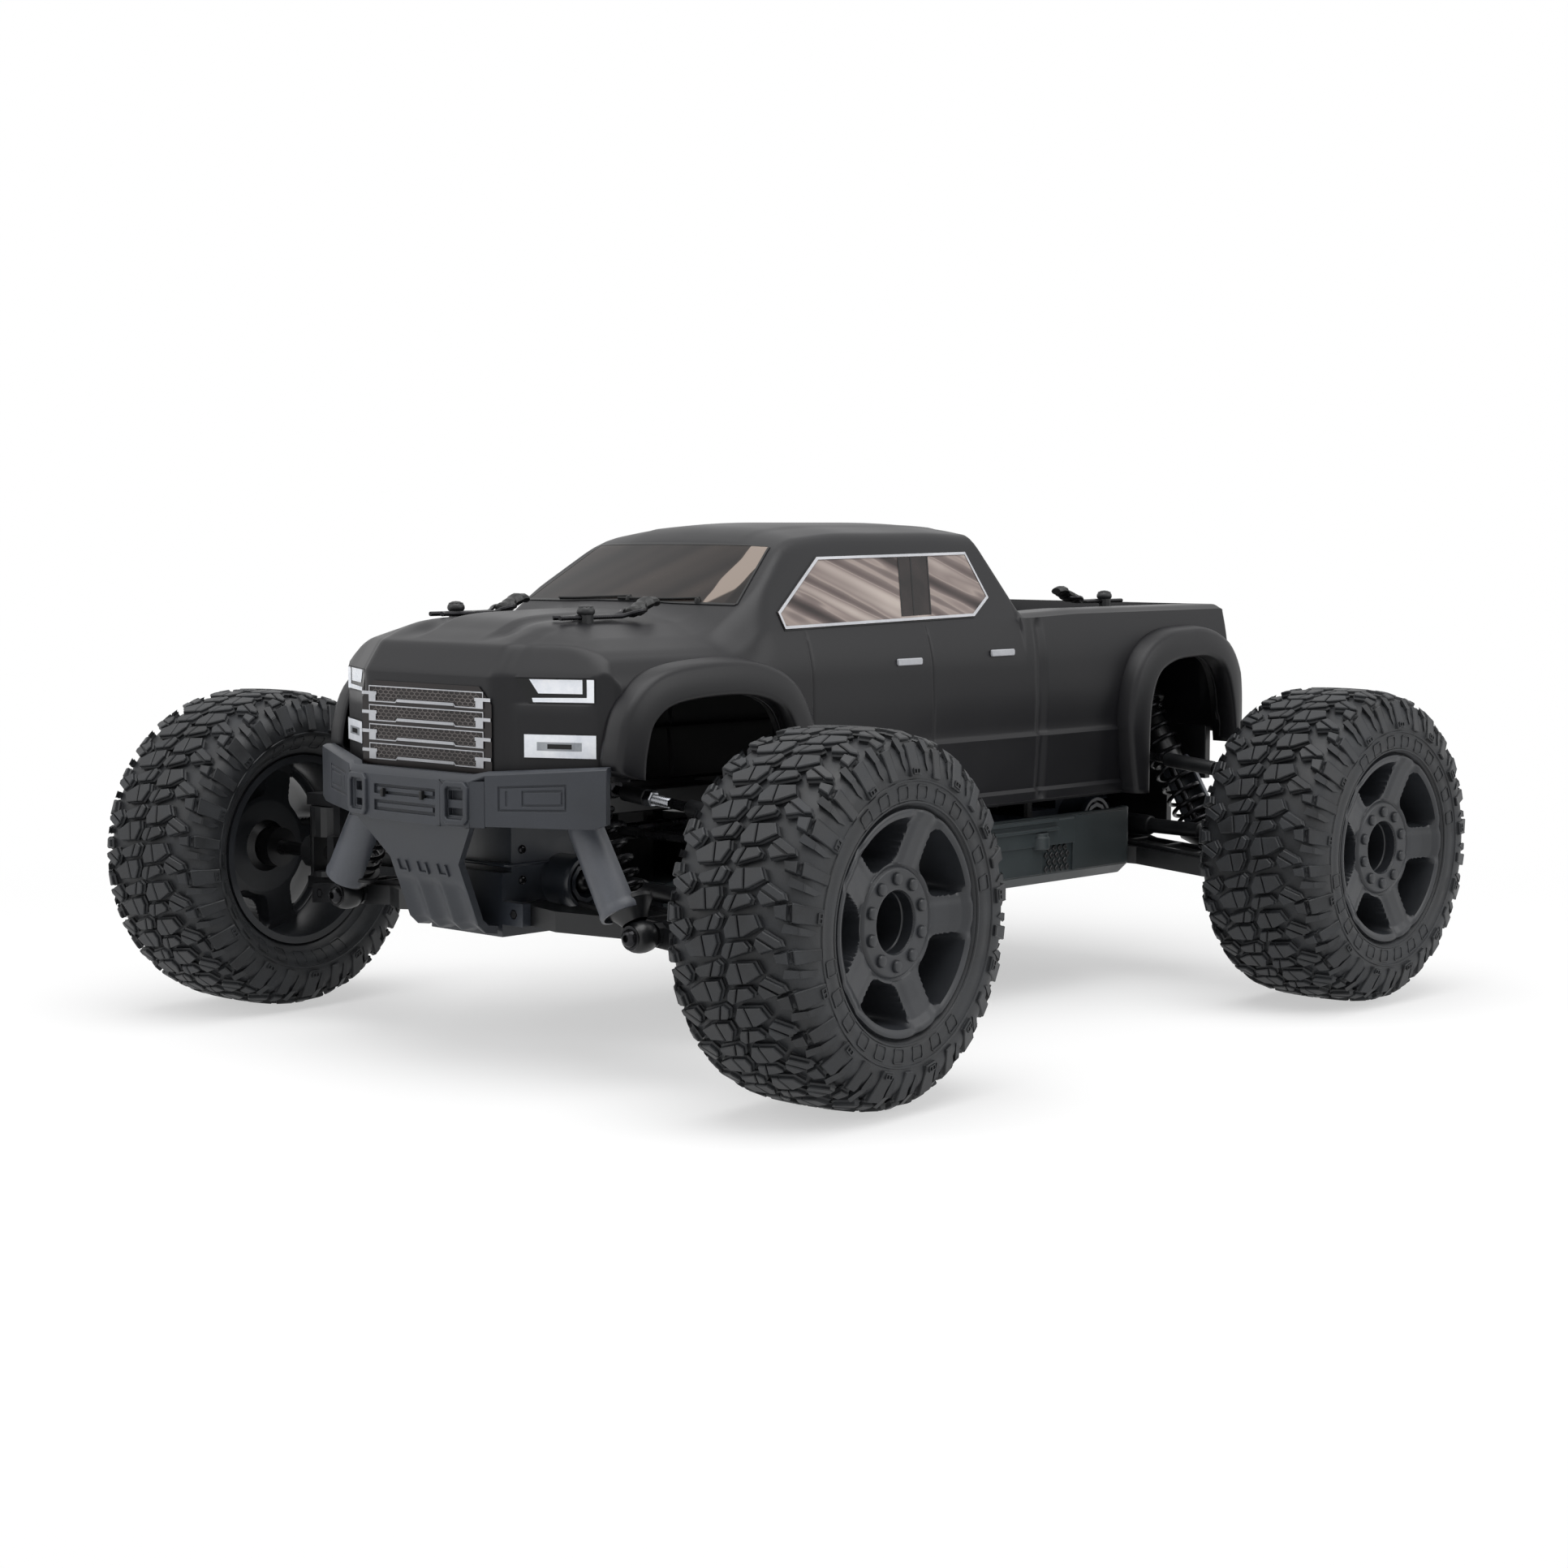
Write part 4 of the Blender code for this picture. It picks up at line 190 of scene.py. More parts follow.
def softMin(a, b, radius):  # lower of two heights with a rounded meeting
    share = np.clip(0.5 + 0.5 * (b - a) / radius, 0, 1)
    return b * (1 - share) + a * share - radius * share * (1 - share)


def softMax(a, b, radius):  # higher of two heights with the same rounding
    return -softMin(-a, -b, radius)


def ease(start, end, value):  # smooth step from 0 at start to 1 at end
    t = np.clip((value - start) / (end - start), 0, 1)
    return t * t * (3 - 2 * t)


def framePart(outline, width, low, high, edge, slot=0):  # raised border between an outline and the same drawn in
    rows = [(0.0, low), (0.0, high - edge), (edge, high), (width - edge, high), (width, high - edge), (width, low)]
    return sheetPart(insetLoops(outline, rows), slot, closeCols=True, closeRows=True)


def panelPart(boxes, back, slot=0):
    # stepped slab from (low u, high u, low v, high v, height) boxes, later ones over earlier ones
    boxes = np.asarray(boxes, float).round(6)
    us, vs = np.unique(boxes[:, :2]), np.unique(boxes[:, 2:4])
    midU, midV = (us[1:] + us[:-1]) / 2, (vs[1:] + vs[:-1]) / 2
    height = np.full((len(midU) + 2, len(midV) + 2), float(back))
    for u0, u1, v0, v1, level in boxes:
        height[1:-1, 1:-1][np.ix_((midU > u0) & (midU < u1), (midV > v0) & (midV < v1))] = level

    def quads(*points):  # faces from four corners, each given as arrays of u, v and height
        return np.stack([np.stack(np.broadcast_arrays(*point), -1) for point in points], -2).reshape(-1, 4, 3)

    i, j = np.nonzero(height[1:-1, 1:-1] > back)
    top, u0, u1, v0, v1 = height[1:-1, 1:-1][i, j], us[i], us[i + 1], vs[j], vs[j + 1]
    faces = [quads((u0, v0, top), (u1, v0, top), (u1, v1, top), (u0, v1, top)),
             quads((u0, v0, back), (u0, v1, back), (u1, v1, back), (u1, v0, back))]
    a, b = height[:-1, 1:-1], height[1:, 1:-1]
    i, j = np.nonzero(a != b)
    faces.append(quads((us[i], vs[j], a[i, j]), (us[i], vs[j + 1], a[i, j]), (us[i], vs[j + 1], b[i, j]),
                       (us[i], vs[j], b[i, j])))
    a, b = height[1:-1, :-1], height[1:-1, 1:]
    i, j = np.nonzero(a != b)
    faces.append(quads((us[i], vs[j], a[i, j]), (us[i], vs[j], b[i, j]), (us[i + 1], vs[j], b[i, j]),
                       (us[i + 1], vs[j], a[i, j])))
    points = np.concatenate(faces).reshape(-1, 3)
    return points, np.arange(len(points)).reshape(-1, 4).tolist(), slot


def patchPart(surface, corners, rows, cols, slot=0):
    # four corners in a surface's own coordinates, filled evenly and laid on it
    a, b = np.linspace(0, 1, rows)[:, None, None], np.linspace(0, 1, cols)[None, :, None]
    p, q, r, s = np.asarray(corners, float)
    flat = (p * (1 - b) + q * b) * (1 - a) + (s * (1 - b) + r * b) * a
    return sheetPart(surface(flat[..., 0], flat[..., 1]), slot)


def filmPart(points, slot=0):  # one flat many-sided face
    return np.asarray(points, float), [list(range(len(points)))], slot


def rimPart(outer, inner, slot=0):  # flat strip between two outlines with the same number of corners
    return sheetPart(np.stack([outer, inner]), slot, closeCols=True)


def tubePart(path, radius, sides, slot=0, up=(0.31, 0.52, 0.79)):  # round rod along a path
    return sweptPart(path, ring(radius, sides), up, slot)


def plateParts(front, back):  # two sheets of points closed into a plate round their edges
    edges = ((front[0], back[0]), (front[-1], back[-1]), (front[:, 0], back[:, 0]), (front[:, -1], back[:, -1]))
    return [sheetPart(front), sheetPart(back[::-1])] + [sheetPart(np.stack(edge)) for edge in edges]


def screwPart(radius, slot=0):  # button head with a round-bottomed socket, standing on Z = 0
    profile = [(0.0, 0.22), (0.34, 0.24), (0.40, 0.62), (0.62, 0.58), (0.82, 0.44), (0.95, 0.22), (1.0, 0.0),
               (1.0, -0.3)]
    return turnedPart(np.array(profile) * radius, 24, slot)


def newObject(name, data):  # an object in the scene
    obj = bpy.data.objects.new(name, data)
    bpy.context.scene.collection.objects.link(obj)
    return obj


def makePiece(name, parts, materials, body, replaces=(), sharp=35, wall=0.0, weld=2e-6, edge=0.0):
    # parts joined and welded into one mesh, smooth but for corners sharper than an angle;
    # wall thickens it inwards and edge rounds its corners
    mesh = bpy.data.meshes.new(name)
    starts = np.cumsum([0] + [len(part[0]) for part in parts])
    faces = [[start + i for i in face] for start, part in zip(starts, parts) for face in part[1]]
    mesh.from_pydata(np.concatenate([part[0] for part in parts]).tolist(), [], faces)
    slots = np.repeat([part[2] for part in parts], [len(part[1]) for part in parts])
    mesh.polygons.foreach_set("material_index", slots.astype(np.int32))
    for entry in materials if isinstance(materials, (list, tuple)) else [materials]:
        mesh.materials.append(entry)
    work = bmesh.new()
    work.from_mesh(mesh)
    bmesh.ops.remove_doubles(work, verts=work.verts, dist=weld)
    bmesh.ops.dissolve_degenerate(work, edges=work.edges, dist=1e-7)
    bmesh.ops.recalc_face_normals(work, faces=work.faces)
    work.to_mesh(mesh)
    work.free()
    mesh.shade_smooth()
    mesh.set_sharp_from_angle(angle=math.radians(sharp))
    obj = newObject(name, mesh)
    if wall:
        thick = obj.modifiers.new("wall", "SOLIDIFY")
        thick.thickness, thick.offset = wall, -1
    if edge:
        soft = obj.modifiers.new("soft_edges", "BEVEL")
        soft.width, soft.segments, soft.limit_method, soft.angle_limit = edge, 2, "ANGLE", math.radians(40)
    if isinstance(body, str):
        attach(obj, body)
    else:
        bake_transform(obj)
    if replaces:
        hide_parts(*replaces)
    return obj


# Materials
def addNode(tree, kind, values=None, links=None, **settings):  # shader node with its settings, values and links
    node = tree.nodes.new(kind)
    for key, value in settings.items():
        setattr(node, key, value)
    for key, value in (values or {}).items():
        node.inputs[key].default_value = value
    for key, source in (links or {}).items():
        tree.links.new(source, node.inputs[key])
    return node


def newMaterial(name):  # a material, its nodes, its main shader and the place in the object
    material = bpy.data.materials.new(name)
    material.use_nodes = True
    tree = material.node_tree
    return material, tree, tree.nodes["Principled BSDF"], addNode(tree, "ShaderNodeTexCoord").outputs["Object"]


def finishMaterial(name, light, dark, rough, spread, skin, metal=0.0, shine=0.32):
    # broad patches move the colour and gloss a little, and a fine grain is raised in the surface;
    # skin is (patch width, grain width, grain depth) in mm
    patchMm, grainMm, depthMm = skin
    material, tree, shader, place = newMaterial(name)
    patch = addNode(tree, "ShaderNodeTexNoise", {"Scale": 1000 / patchMm, "Detail": 4}, {"Vector": place})
    grain = addNode(tree, "ShaderNodeTexNoise", {"Scale": 1000 / grainMm, "Detail": 3, "Roughness": 0.6},
                    {"Vector": place})
    both = addNode(tree, "ShaderNodeMath", {1: 0.35}, {0: grain.outputs["Fac"], 2: patch.outputs["Fac"]},
                   operation="MULTIPLY_ADD")
    colour = addNode(tree, "ShaderNodeValToRGB", None, {"Fac": both.outputs[0]})
    colour.color_ramp.elements[0].position, colour.color_ramp.elements[0].color = 0.45, linear(dark)
    colour.color_ramp.elements[1].position, colour.color_ramp.elements[1].color = 0.90, linear(light)
    ends = {"From Min": 0.3, "From Max": 0.7, "To Min": rough - spread, "To Max": rough + spread}
    gloss = addNode(tree, "ShaderNodeMapRange", ends, {"Value": patch.outputs["Fac"]})
    bump = addNode(tree, "ShaderNodeBump", {"Strength": 0.6, "Distance": depthMm / 1000},
                   {"Height": grain.outputs["Fac"]})
    tree.links.new(colour.outputs["Color"], shader.inputs["Base Color"])
    tree.links.new(gloss.outputs["Result"], shader.inputs["Roughness"])
    tree.links.new(bump.outputs["Normal"], shader.inputs["Normal"])
    shader.inputs["Metallic"].default_value = metal
    shader.inputs["Specular IOR Level"].default_value = 0.5 if metal else shine
    return material


def printedFilm(name, light, dark, rough, spread=0.04):  # a finish with an even, nearly smooth skin
    return finishMaterial(name, light, dark, rough, spread, (9, 1.2, 0.004))


# Vacuum-formed polycarbonate painted inside: an even satin black, a trace of orange peel
satinShell = finishMaterial("satin_polycarbonate", "#141417", "#0f0f12", 0.42, 0.04, (60, 1.6, 0.008), shine=0.30)
# Glass-filled nylon: a dull moulded skin, slightly blue, with a spark-eroded grain drawn coarse enough to show
bumperNylon = finishMaterial("moulded_grey_nylon", "#31343a", "#292c31", 0.48, 0.06, (25, 0.8, 0.03), shine=0.40)
blackNylon = finishMaterial("moulded_black_nylon", "#18191b", "#101113", 0.40, 0.08, (16, 0.8, 0.03), shine=0.45)
caseNylon = finishMaterial("gearbox_nylon_skin", "#2a2e35", "#1f2329", 0.34, 0.07, (18, 0.8, 0.015), shine=0.50)
chassisNylon = finishMaterial("chassis_nylon_skin", "#2f3638", "#252b2d", 0.45, 0.06, (30, 0.8, 0.03), shine=0.40)
rimNylon = finishMaterial("rim_nylon_skin", "#292b2f", "#1f2124", 0.38, 0.05, (20, 0.7, 0.012), shine=0.42)
# Shock sleeves: grey nylon whose base colour is lightened further as a painted sheen for the sleeve's strong highlight
sleeveSheenNylon = finishMaterial("sleeve_nylon_painted_sheen", "#4a4d54", "#3d4046", 0.40, 0.05, (18, 0.8, 0.012), shine=0.55)
servoCase = finishMaterial("servo_case_skin", "#1c1d1f", "#141516", 0.42, 0.06, (14, 0.8, 0.02))
gearNylon = finishMaterial("gear_nylon_skin", "#2c2c2e", "#202022", 0.42, 0.05, (9, 0.8, 0.01))
# Tyre rubber: dull, with a fine mould texture, a little lighter where that grain is raised
treadRubber = finishMaterial("tread_rubber", "#2a2c2f", "#191a1c", 0.52, 0.08, (12, 0.7, 0.05), shine=0.38)
softRubber = finishMaterial("soft_rubber", "#131415", "#0c0d0d", 0.42, 0.05, (8, 0.6, 0.02))
# Metals: anodised aluminium, black oxide screws and wire, bright rod steel, the motor's rolled can
blackAnodise = finishMaterial("black_anodised_aluminium", "#1b1b1d", "#131314", 0.30, 0.05, (9, 0.6, 0.008), metal=0.5)
blackOxide = finishMaterial("black_oxide_steel", "#28282b", "#1a1a1c", 0.28, 0.06, (5, 0.5, 0.01), metal=0.7)
brightSteel = finishMaterial("ground_steel", "#b4b6ba", "#92949a", 0.28, 0.06, (6, 0.5, 0.01), metal=1.0)
motorCan = finishMaterial("motor_can_steel", "#5a5c60", "#45474a", 0.34, 0.06, (8, 0.6, 0.008), metal=0.9)
# Printed films under the clear shell: even colour, smooth and slightly glossy
silverTrim = finishMaterial("silver_film", "#c2c3c7", "#a5a7ac", 0.32, 0.05, (30, 1.0, 0.004))
lampWhite = printedFilm("lamp_white_film", "#f4f6fa", "#dde2ea", 0.30)
lampDark = printedFilm("lamp_black_film", "#0f1012", "#08090a", 0.30)
lampGrey = printedFilm("lamp_grey_film", "#9fa3a8", "#868a90", 0.30)
lampRed = printedFilm("lamp_red_film", "#5a1212", "#430c0d", 0.28, 0.03)
grilleDark = printedFilm("grille_black_film", "#1d1616", "#120e0e", 0.34)
grilleLine = printedFilm("grille_grey_film", "#857f7d", "#686361", 0.40)
pillarFilm = printedFilm("pillar_film", "#261f1e", "#171313", 0.25, 0.03)
# Heat-shrunk sleeve round the cells: blue-grey and smooth
batteryWrap = finishMaterial("shrink_wrap", "#30374a", "#242a39", 0.35, 0.05, (20, 1.4, 0.02))


def glassFilm(name, centre, turn, bandMm, tones, shine, reflectionBeam=None):
    # printed film: a warm grey tint crossed by broad pale bands of painted reflection with clean edges, darker towards
    # the foot
    material, tree, shader, place = newMaterial(name)
    local = addNode(tree, "ShaderNodeMapping", {"Location": centre, "Rotation": turn}, {"Vector": place},
                    vector_type="TEXTURE").outputs[0]
    bands = addNode(tree, "ShaderNodeMapping", {"Scale": (0.8, 0.8, 1000 / bandMm)}, {"Vector": local}).outputs[0]
    # stretched noise that lays the bands of painted reflection across the glass
    reflectionStreak = addNode(tree, "ShaderNodeTexNoise", {"Scale": 1.0, "Detail": 1.2, "Roughness": 0.5}, {"Vector": bands})
    cloud = addNode(tree, "ShaderNodeTexNoise", {"Scale": 38.0, "Detail": 1.0}, {"Vector": place})
    tone = addNode(tree, "ShaderNodeMath", {1: 0.15}, {0: cloud.outputs["Fac"], 2: reflectionStreak.outputs["Fac"]},
                   operation="MULTIPLY_ADD").outputs[0]
    # one painted reflection, a pale beam beside the driver's edge, where the sloping line across + rise * up lies
    # between two values
    if reflectionBeam:
        rise, low, high, soft, amount = reflectionBeam
        split = addNode(tree, "ShaderNodeSeparateXYZ", None, {"Vector": place})
        across = addNode(tree, "ShaderNodeMath", {1: rise}, {0: split.outputs["Z"], 2: split.outputs["Y"]},
                         operation="MULTIPLY_ADD").outputs[0]
        for start, end in ((low, low + soft), (high, high - soft)):
            beamReflection = addNode(tree, "ShaderNodeMapRange", {"From Min": start, "From Max": end, "To Max": amount},
                           {"Value": across}, interpolation_type="SMOOTHSTEP")
            tone = addNode(tree, "ShaderNodeMath", None, {0: tone, 1: beamReflection.outputs["Result"]},
                           operation="ADD").outputs[0]
    colour = addNode(tree, "ShaderNodeValToRGB", None, {"Fac": tone})
    ramp = colour.color_ramp.elements
    ramp[0].position, ramp[0].color = tones[0][0], linear(tones[0][1])
    ramp[1].position, ramp[1].color = tones[1][0], linear(tones[1][1])
    for position, code in tones[2:]:
        ramp.new(position).color = linear(code)
    tree.links.new(colour.outputs["Color"], shader.inputs["Base Color"])
    shader.inputs["Roughness"].default_value = 0.20
    shader.inputs["Specular IOR Level"].default_value = shine
    return material


# the pale end of each film's ramp draws painted reflections as streaks across the glass; the windscreen's last tuple
# adds its painted reflection beam
sideGlass = glassFilm("side_window_film", (0.025, 0.066, 0.184), (0, math.radians(-24), 0), 11.0,
                      [(0.40, "#2b2423"), (0.50, "#564b49"), (0.55, "#6e6360"), (0.565, "#91857f"), (0.60, "#7b6f6b"),
                       (0.70, "#aca19a")], 0.30)
screenGlass = glassFilm("windscreen_film", (0.091, 0.0, 0.190), (math.radians(35), 0, 0), 16.0,
                        [(0.55, "#0b0a0a"), (0.78, "#1d1918"), (0.95, "#302a27"), (1.0, "#8d8178")], 0.14,
                        (0.143, 0.0690, 0.0830, 0.0025, 0.24))
print("materials made:", len(bpy.data.materials))


# Tyres: a turned carcass with lugs laid on it by angle and by arc length across the tread
tyreSizes = {
    "lug": 3.5, "tiles": 26, "pitch": 16.67, "phase": 0.40, "turn": 0.11, "shift": 0.0030, "rings": 130, "shrink": 0.20,
    "rubber": 0.0032, "beadRadius": 0.0406,
    "wall": [(0.0415, 0.0246), (0.0432, 0.0268), (0.0470, 0.0296), (0.0517, 0.0306), (0.0560, 0.0303), (0.0595, 0.0288),
             (0.0622, 0.0262), (0.0639, 0.0222), (0.0650, 0.0160), (0.0654, 0.0080), (0.0655, 0.0)],
    # lugs: (round, across) outline in mm, a point and slant of the sipe that splits it, sipe width, drop at the
    # shoulder, every nth tile, first
    "lugs": [
        ([(1.6, 3.7), (0.4, 14.0), (4.8, 16.4), (8.7, 10.0), (10.0, 2.2), (6.5, 1.2)], (5.0, 7.6), 12, 0.55, 0.0, 1, 0),
        ([(11.3, 2.0), (10.0, 10.3), (12.0, 12.5), (13.7, 12.0), (17.3, 2.2), (15.8, 0.0), (13.0, 0.8)], (13.2, 4.8),
         -20, 0.55, 0.0, 1, 0),
        ([(5.6, 17.6), (8.8, 23.8), (11.0, 24.6), (14.2, 16.2), (11.0, 14.0), (7.7, 15.2)], (9.6, 17.6), 62, 0.55, 0.8,
         1, 0),
        ([(13.4, 20.6), (11.4, 27.0), (12.4, 37.8), (20.2, 38.0), (19.4, 28.0), (17.6, 21.4)], (15.0, 25.6), 4, 1.5,
         1.95, 2, 0),
        ([(13.8, 21.2), (12.2, 28.0), (13.2, 38.0), (18.8, 38.0), (18.4, 29.0), (17.2, 22.0)], (15.0, 26.4), 4, 1.7,
         2.3, 2, 1),
        ([(3.4, 25.0), (5.4, 24.6), (7.0, 33.0), (6.0, 35.0)], (5.0, 29.0), 4, 0.3, 2.9, 1, 0),
    ],
    "marks": [(0, 9), (13, 9)], "mark": (4.4, 3.1), "markRow": 43.6,
    # loops as (inset, height) of the wall marks and of the small rings on the lugs, and the rings' places
    "markLoops": [(0, -0.2), (0.1, 0.42), (0.55, 0.42), (0.65, -0.2)], "dimple": (0.9, 0.7),
    "dimpleLoops": [(-0.3, 1.2), (-0.3, 1.75), (0.1, 1.75), (0.1, 1.2)], "dimples": [(15.4, 36.0), (17.6, 36.0)],
    "wallRings": [(39.2, 0.0005), (48.0, 0.0006)],
}


def cutPolygon(outline, point, direction):  # the part of an outline to the left of a line
    depth = (outline - point) @ np.array([-direction[1], direction[0]])
    kept = []
    for here, there, a, b in zip(outline, np.roll(outline, -1, 0), depth, np.roll(depth, -1)):
        if a >= 0:
            kept.append(here)
        if (a >= 0) != (b >= 0):
            kept.append(here + (there - here) * a / (a - b))
    return np.array(kept)


def tyreParts():  # carcass turned from the wall curve; a lug is a low block with two halves on it, parted by its sipe
    size = tyreSizes
    wall = smoothCurve(size["wall"], 46)
    settle = size["shift"] * ease(0.0420, 0.0500, wall[:, 0])  # the tread sits further inboard than the beads
    inboard = np.column_stack([0 * settle, settle])
    outer = np.vstack([wall - inboard, (wall * (1, -1) - inboard)[-2::-1]])
    inside = np.stack([np.maximum(outer[::-1, 0] - size["rubber"], size["beadRadius"]), outer[::-1, 1] * 0.90], -1)
    parts = [turnedPart(np.vstack([outer, inside, outer[:1]]), size["rings"])]
    half = wall[::-1]  # from the crown down to the bead
    arc = np.concatenate([[0], np.cumsum(np.linalg.norm(np.diff(half, axis=0), axis=1))]) * 1000
    slope = unit(np.gradient(half, axis=0))
    step = 2 * np.pi / size["tiles"]

    def laid(loops, side, tiles, capped=True):
        # loops of (round, across, height) in mm wrapped on the carcass at the named tiles
        around, reach, height = loops[..., 0], np.abs(loops[..., 1]), loops[..., 2] / 1000
        way = np.where(loops[..., 1] < 0, -1.0, 1.0)
        columns = (half[:, 0], half[:, 1], slope[:, 1], -slope[:, 0], settle[::-1])
        radius, width, run, rise, sink = (np.interp(reach, arc, column) for column in columns)
        radius, width = radius + height * run, (width + height * rise) * way * side - sink
        turn = side * around / size["pitch"] + size["phase"] + (size["turn"] if side < 0 else 0)
        angle = (turn[None] + side * tiles[:, None, None]) * step
        points = np.stack([radius * np.cos(angle), radius * np.sin(angle), width + 0 * angle], -1)
        rows, count = loops.shape[:2]
        faces = gridFaces(rows, count, closeCols=True).tolist()
        faces += [list(range((rows - 1) * count, rows * count))] if capped else []
        starts = rows * count * np.arange(len(tiles))
        return points.reshape(-1, 3), [[start + i for i in face] for start in starts.tolist() for face in faces], 0

    def raised(outline, low, high, chamfer):  # loops of a lug from its flared foot to its eased top
        return insetLoops(outline, [(-0.45, low), (0.0, low + 0.6), (0.05, high - chamfer), (0.05 + chamfer, high)])

    for side in (1, -1):
        for outline, middle, slant, gap, drop, every, first in size["lugs"]:
            outline = drawnIn(np.array(outline)[::-1], size["shrink"])
            tiles = np.arange(first, size["tiles"], every)
            sink = lambda loops: drop * ease(20.0, 34.0, loops[..., 1]) * (loops[..., 2] > 0.1)
            fall = lambda loops: loops - sink(loops)[..., None] * (0, 0, 1)
            parts.append(laid(fall(raised(outline, -0.4, size["lug"] - 1.0, 0.3)), side, tiles))
            way = np.array([math.cos(math.radians(slant)), math.sin(math.radians(slant))])
            for sign in (1, -1):
                edge = np.array(middle) + gap / 2 * sign * np.array([-way[1], way[0]])
                part = cutPolygon(outline, edge, way * sign)
                parts.append(laid(fall(raised(part, size["lug"] - 2.0, size["lug"], 0.35)), side, tiles))
        block = boxOutline(*size["mark"], 0.9) + (size["pitch"] / 2, size["markRow"])
        frameLoops = insetLoops(block, size["markLoops"])
        for first, count in size["marks"]:
            parts.append(laid(frameLoops, side, np.arange(first, first + count), False))
        dimple = insetLoops(boxOutline(*size["dimple"]), size["dimpleLoops"])
        for place in size["dimples"]:
            parts.append(laid(dimple + (*place, 0), side, np.arange(0, size["tiles"], 2), False))
    for reach, height in size["wallRings"]:  # raised rings on both walls
        for side in (1, -1):
            radius, width, sink = (np.interp(reach, arc, column) for column in (half[:, 0], half[:, 1], settle[::-1]))
            path = np.column_stack([ring(radius, 104), np.full(104, side * width - sink)])
            parts.append(sweptPart(path, ring(height, 6), (0, 0, 1), closed=True))
    return parts


# Wheels: a polar height field with five deep windows, a turned barrel, ten bolts and the axle nut
wheelSizes = {
    "spokes": 5, "spokeHalf": 0.0070, "windowIn": 0.0218, "windowOut": 0.0378, "wallRun": 0.0020, "through": 0.0030,
    "face": [(0.0113, 0.0204), (0.0118, 0.0214), (0.0190, 0.0214), (0.0196, 0.0212), (0.0199, 0.0204), (0.0204, 0.0204),
             (0.0208, 0.0210), (0.0230, 0.0216), (0.0300, 0.0230), (0.0360, 0.0246), (0.0385, 0.0262), (0.0398, 0.0266),
             (0.0408, 0.0262), (0.0412, 0.0250)],
    "bolts": 10, "boltCircle": 0.0157, "bolt": 0.0024, "boreBack": 0.0012, "turns": 300, "radii": 72,
    # turned parts as (radius, height): back of the face, rim, hub behind it, and bolt heads in shares
    "back": [(0.0113, -0.004), (0.020, -0.004), (0.034, -0.001), (0.0412, -0.001)],
    "rim": [(0.0412, 0.0250), (0.0413, 0.0240), (0.0408, 0.0236), (0.0400, 0.0225), (0.0400, -0.02425),
            (0.0412, -0.02525), (0.0412, -0.02725), (0.0382, -0.02725), (0.0374, -0.024), (0.0374, -0.006),
            (0.0380, -0.001), (0.0412, -0.001)],
    "hub": [(0.0113, -0.004), (0.0085, -0.006), (0.0085, -0.0140), (0.0034, -0.0145), (0.0030, -0.020),
            (0.0030, -0.0440), (0.0, -0.0440)],
    "dome": [(0.0, 1.0), (0.60, 0.98), (0.82, 0.88), (0.95, 0.66), (1.0, 0.30), (1.0, -0.5)],
    # above the bore's floor: nut radius and height, its collar, and the end of the axle
    "nut": (0.0088, 0.0045),
    "collar": [(0.0066, 0.0044), (0.0064, 0.0058), (0.0042, 0.0062), (0.0038, 0.0030), (0.0, 0.0030)],
    "axleEnd": [(0.0030, 0.003), (0.0030, 0.0075), (0.0024, 0.0082), (0.0, 0.0082)],
}


def wheelParts():  # front and back are heights over radius and angle that meet at one depth in the windows
    size = wheelSizes
    radius = np.linspace(size["face"][0][0], size["face"][-1][0], size["radii"])[:, None]
    angle = np.linspace(0, 2 * np.pi, size["turns"], endpoint=False)[None, :]
    sector = 2 * np.pi / size["spokes"]
    offset = np.abs((angle + sector / 2) % sector - sector / 2)  # angle from the nearest window's middle
    beside = radius * np.sin(sector / 2 - offset) - size["spokeHalf"]
    inside = softMin(softMin(radius - size["windowIn"], size["windowOut"] - radius, 0.002), beside, 0.0035)
    opened = ease(0.0, size["wallRun"], inside)
    faceRadius, faceHeight = np.array(size["face"]).T
    groove = 0.0006 * ease(0.004, 0.0, np.abs(beside + 0.0006)) * (radius > 0.021)
    front = np.interp(radius, faceRadius, faceHeight) - groove
    back = np.interp(radius, *np.array(size["back"]).T)
    sheets = []
    for height in (front, back + 0 * front):
        z = height * (1 - opened) + size["through"] * opened
        sheets.append(np.stack([radius * np.cos(angle), radius * np.sin(angle), z], -1))
    shut = opened < 0.999
    keep = shut[:-1] | shut[1:]
    keep = (keep | np.roll(keep, -1, 1)).reshape(-1)
    parts = []
    for sheet in sheets:
        points, faces, slot = sheetPart(sheet, closeCols=True)
        parts.append((points, [face for face, kept in zip(faces, keep) if kept], slot))
    bore, (nutRadius, nutHigh) = size["boreBack"], size["nut"]
    parts.append(turnedPart(size["rim"], 120))
    parts.append(turnedPart([(0.0113, 0.0204), (0.0113, 0.016), (0.0109, 0.0155), (0.0109, bore), (0.0, bore)], 60))
    parts.append(blockPart(ring(nutRadius, 6), bore, bore + nutHigh, 0.0006, 1))
    parts += [turnedPart(np.array(size[key]) + (0, bore), steps, 1) for key, steps in (("collar", 36), ("axleEnd", 24))]
    parts.append(turnedPart(size["hub"], 36, 1))
    bolt = turnedPart([(r * size["bolt"], 0.0212 + z * 0.0017) for r, z in size["dome"]], 18)
    for place in ring(size["boltCircle"], size["bolts"], math.pi / size["bolts"]):
        parts.append(moved(bolt, at=(*place, 0)))
    return parts


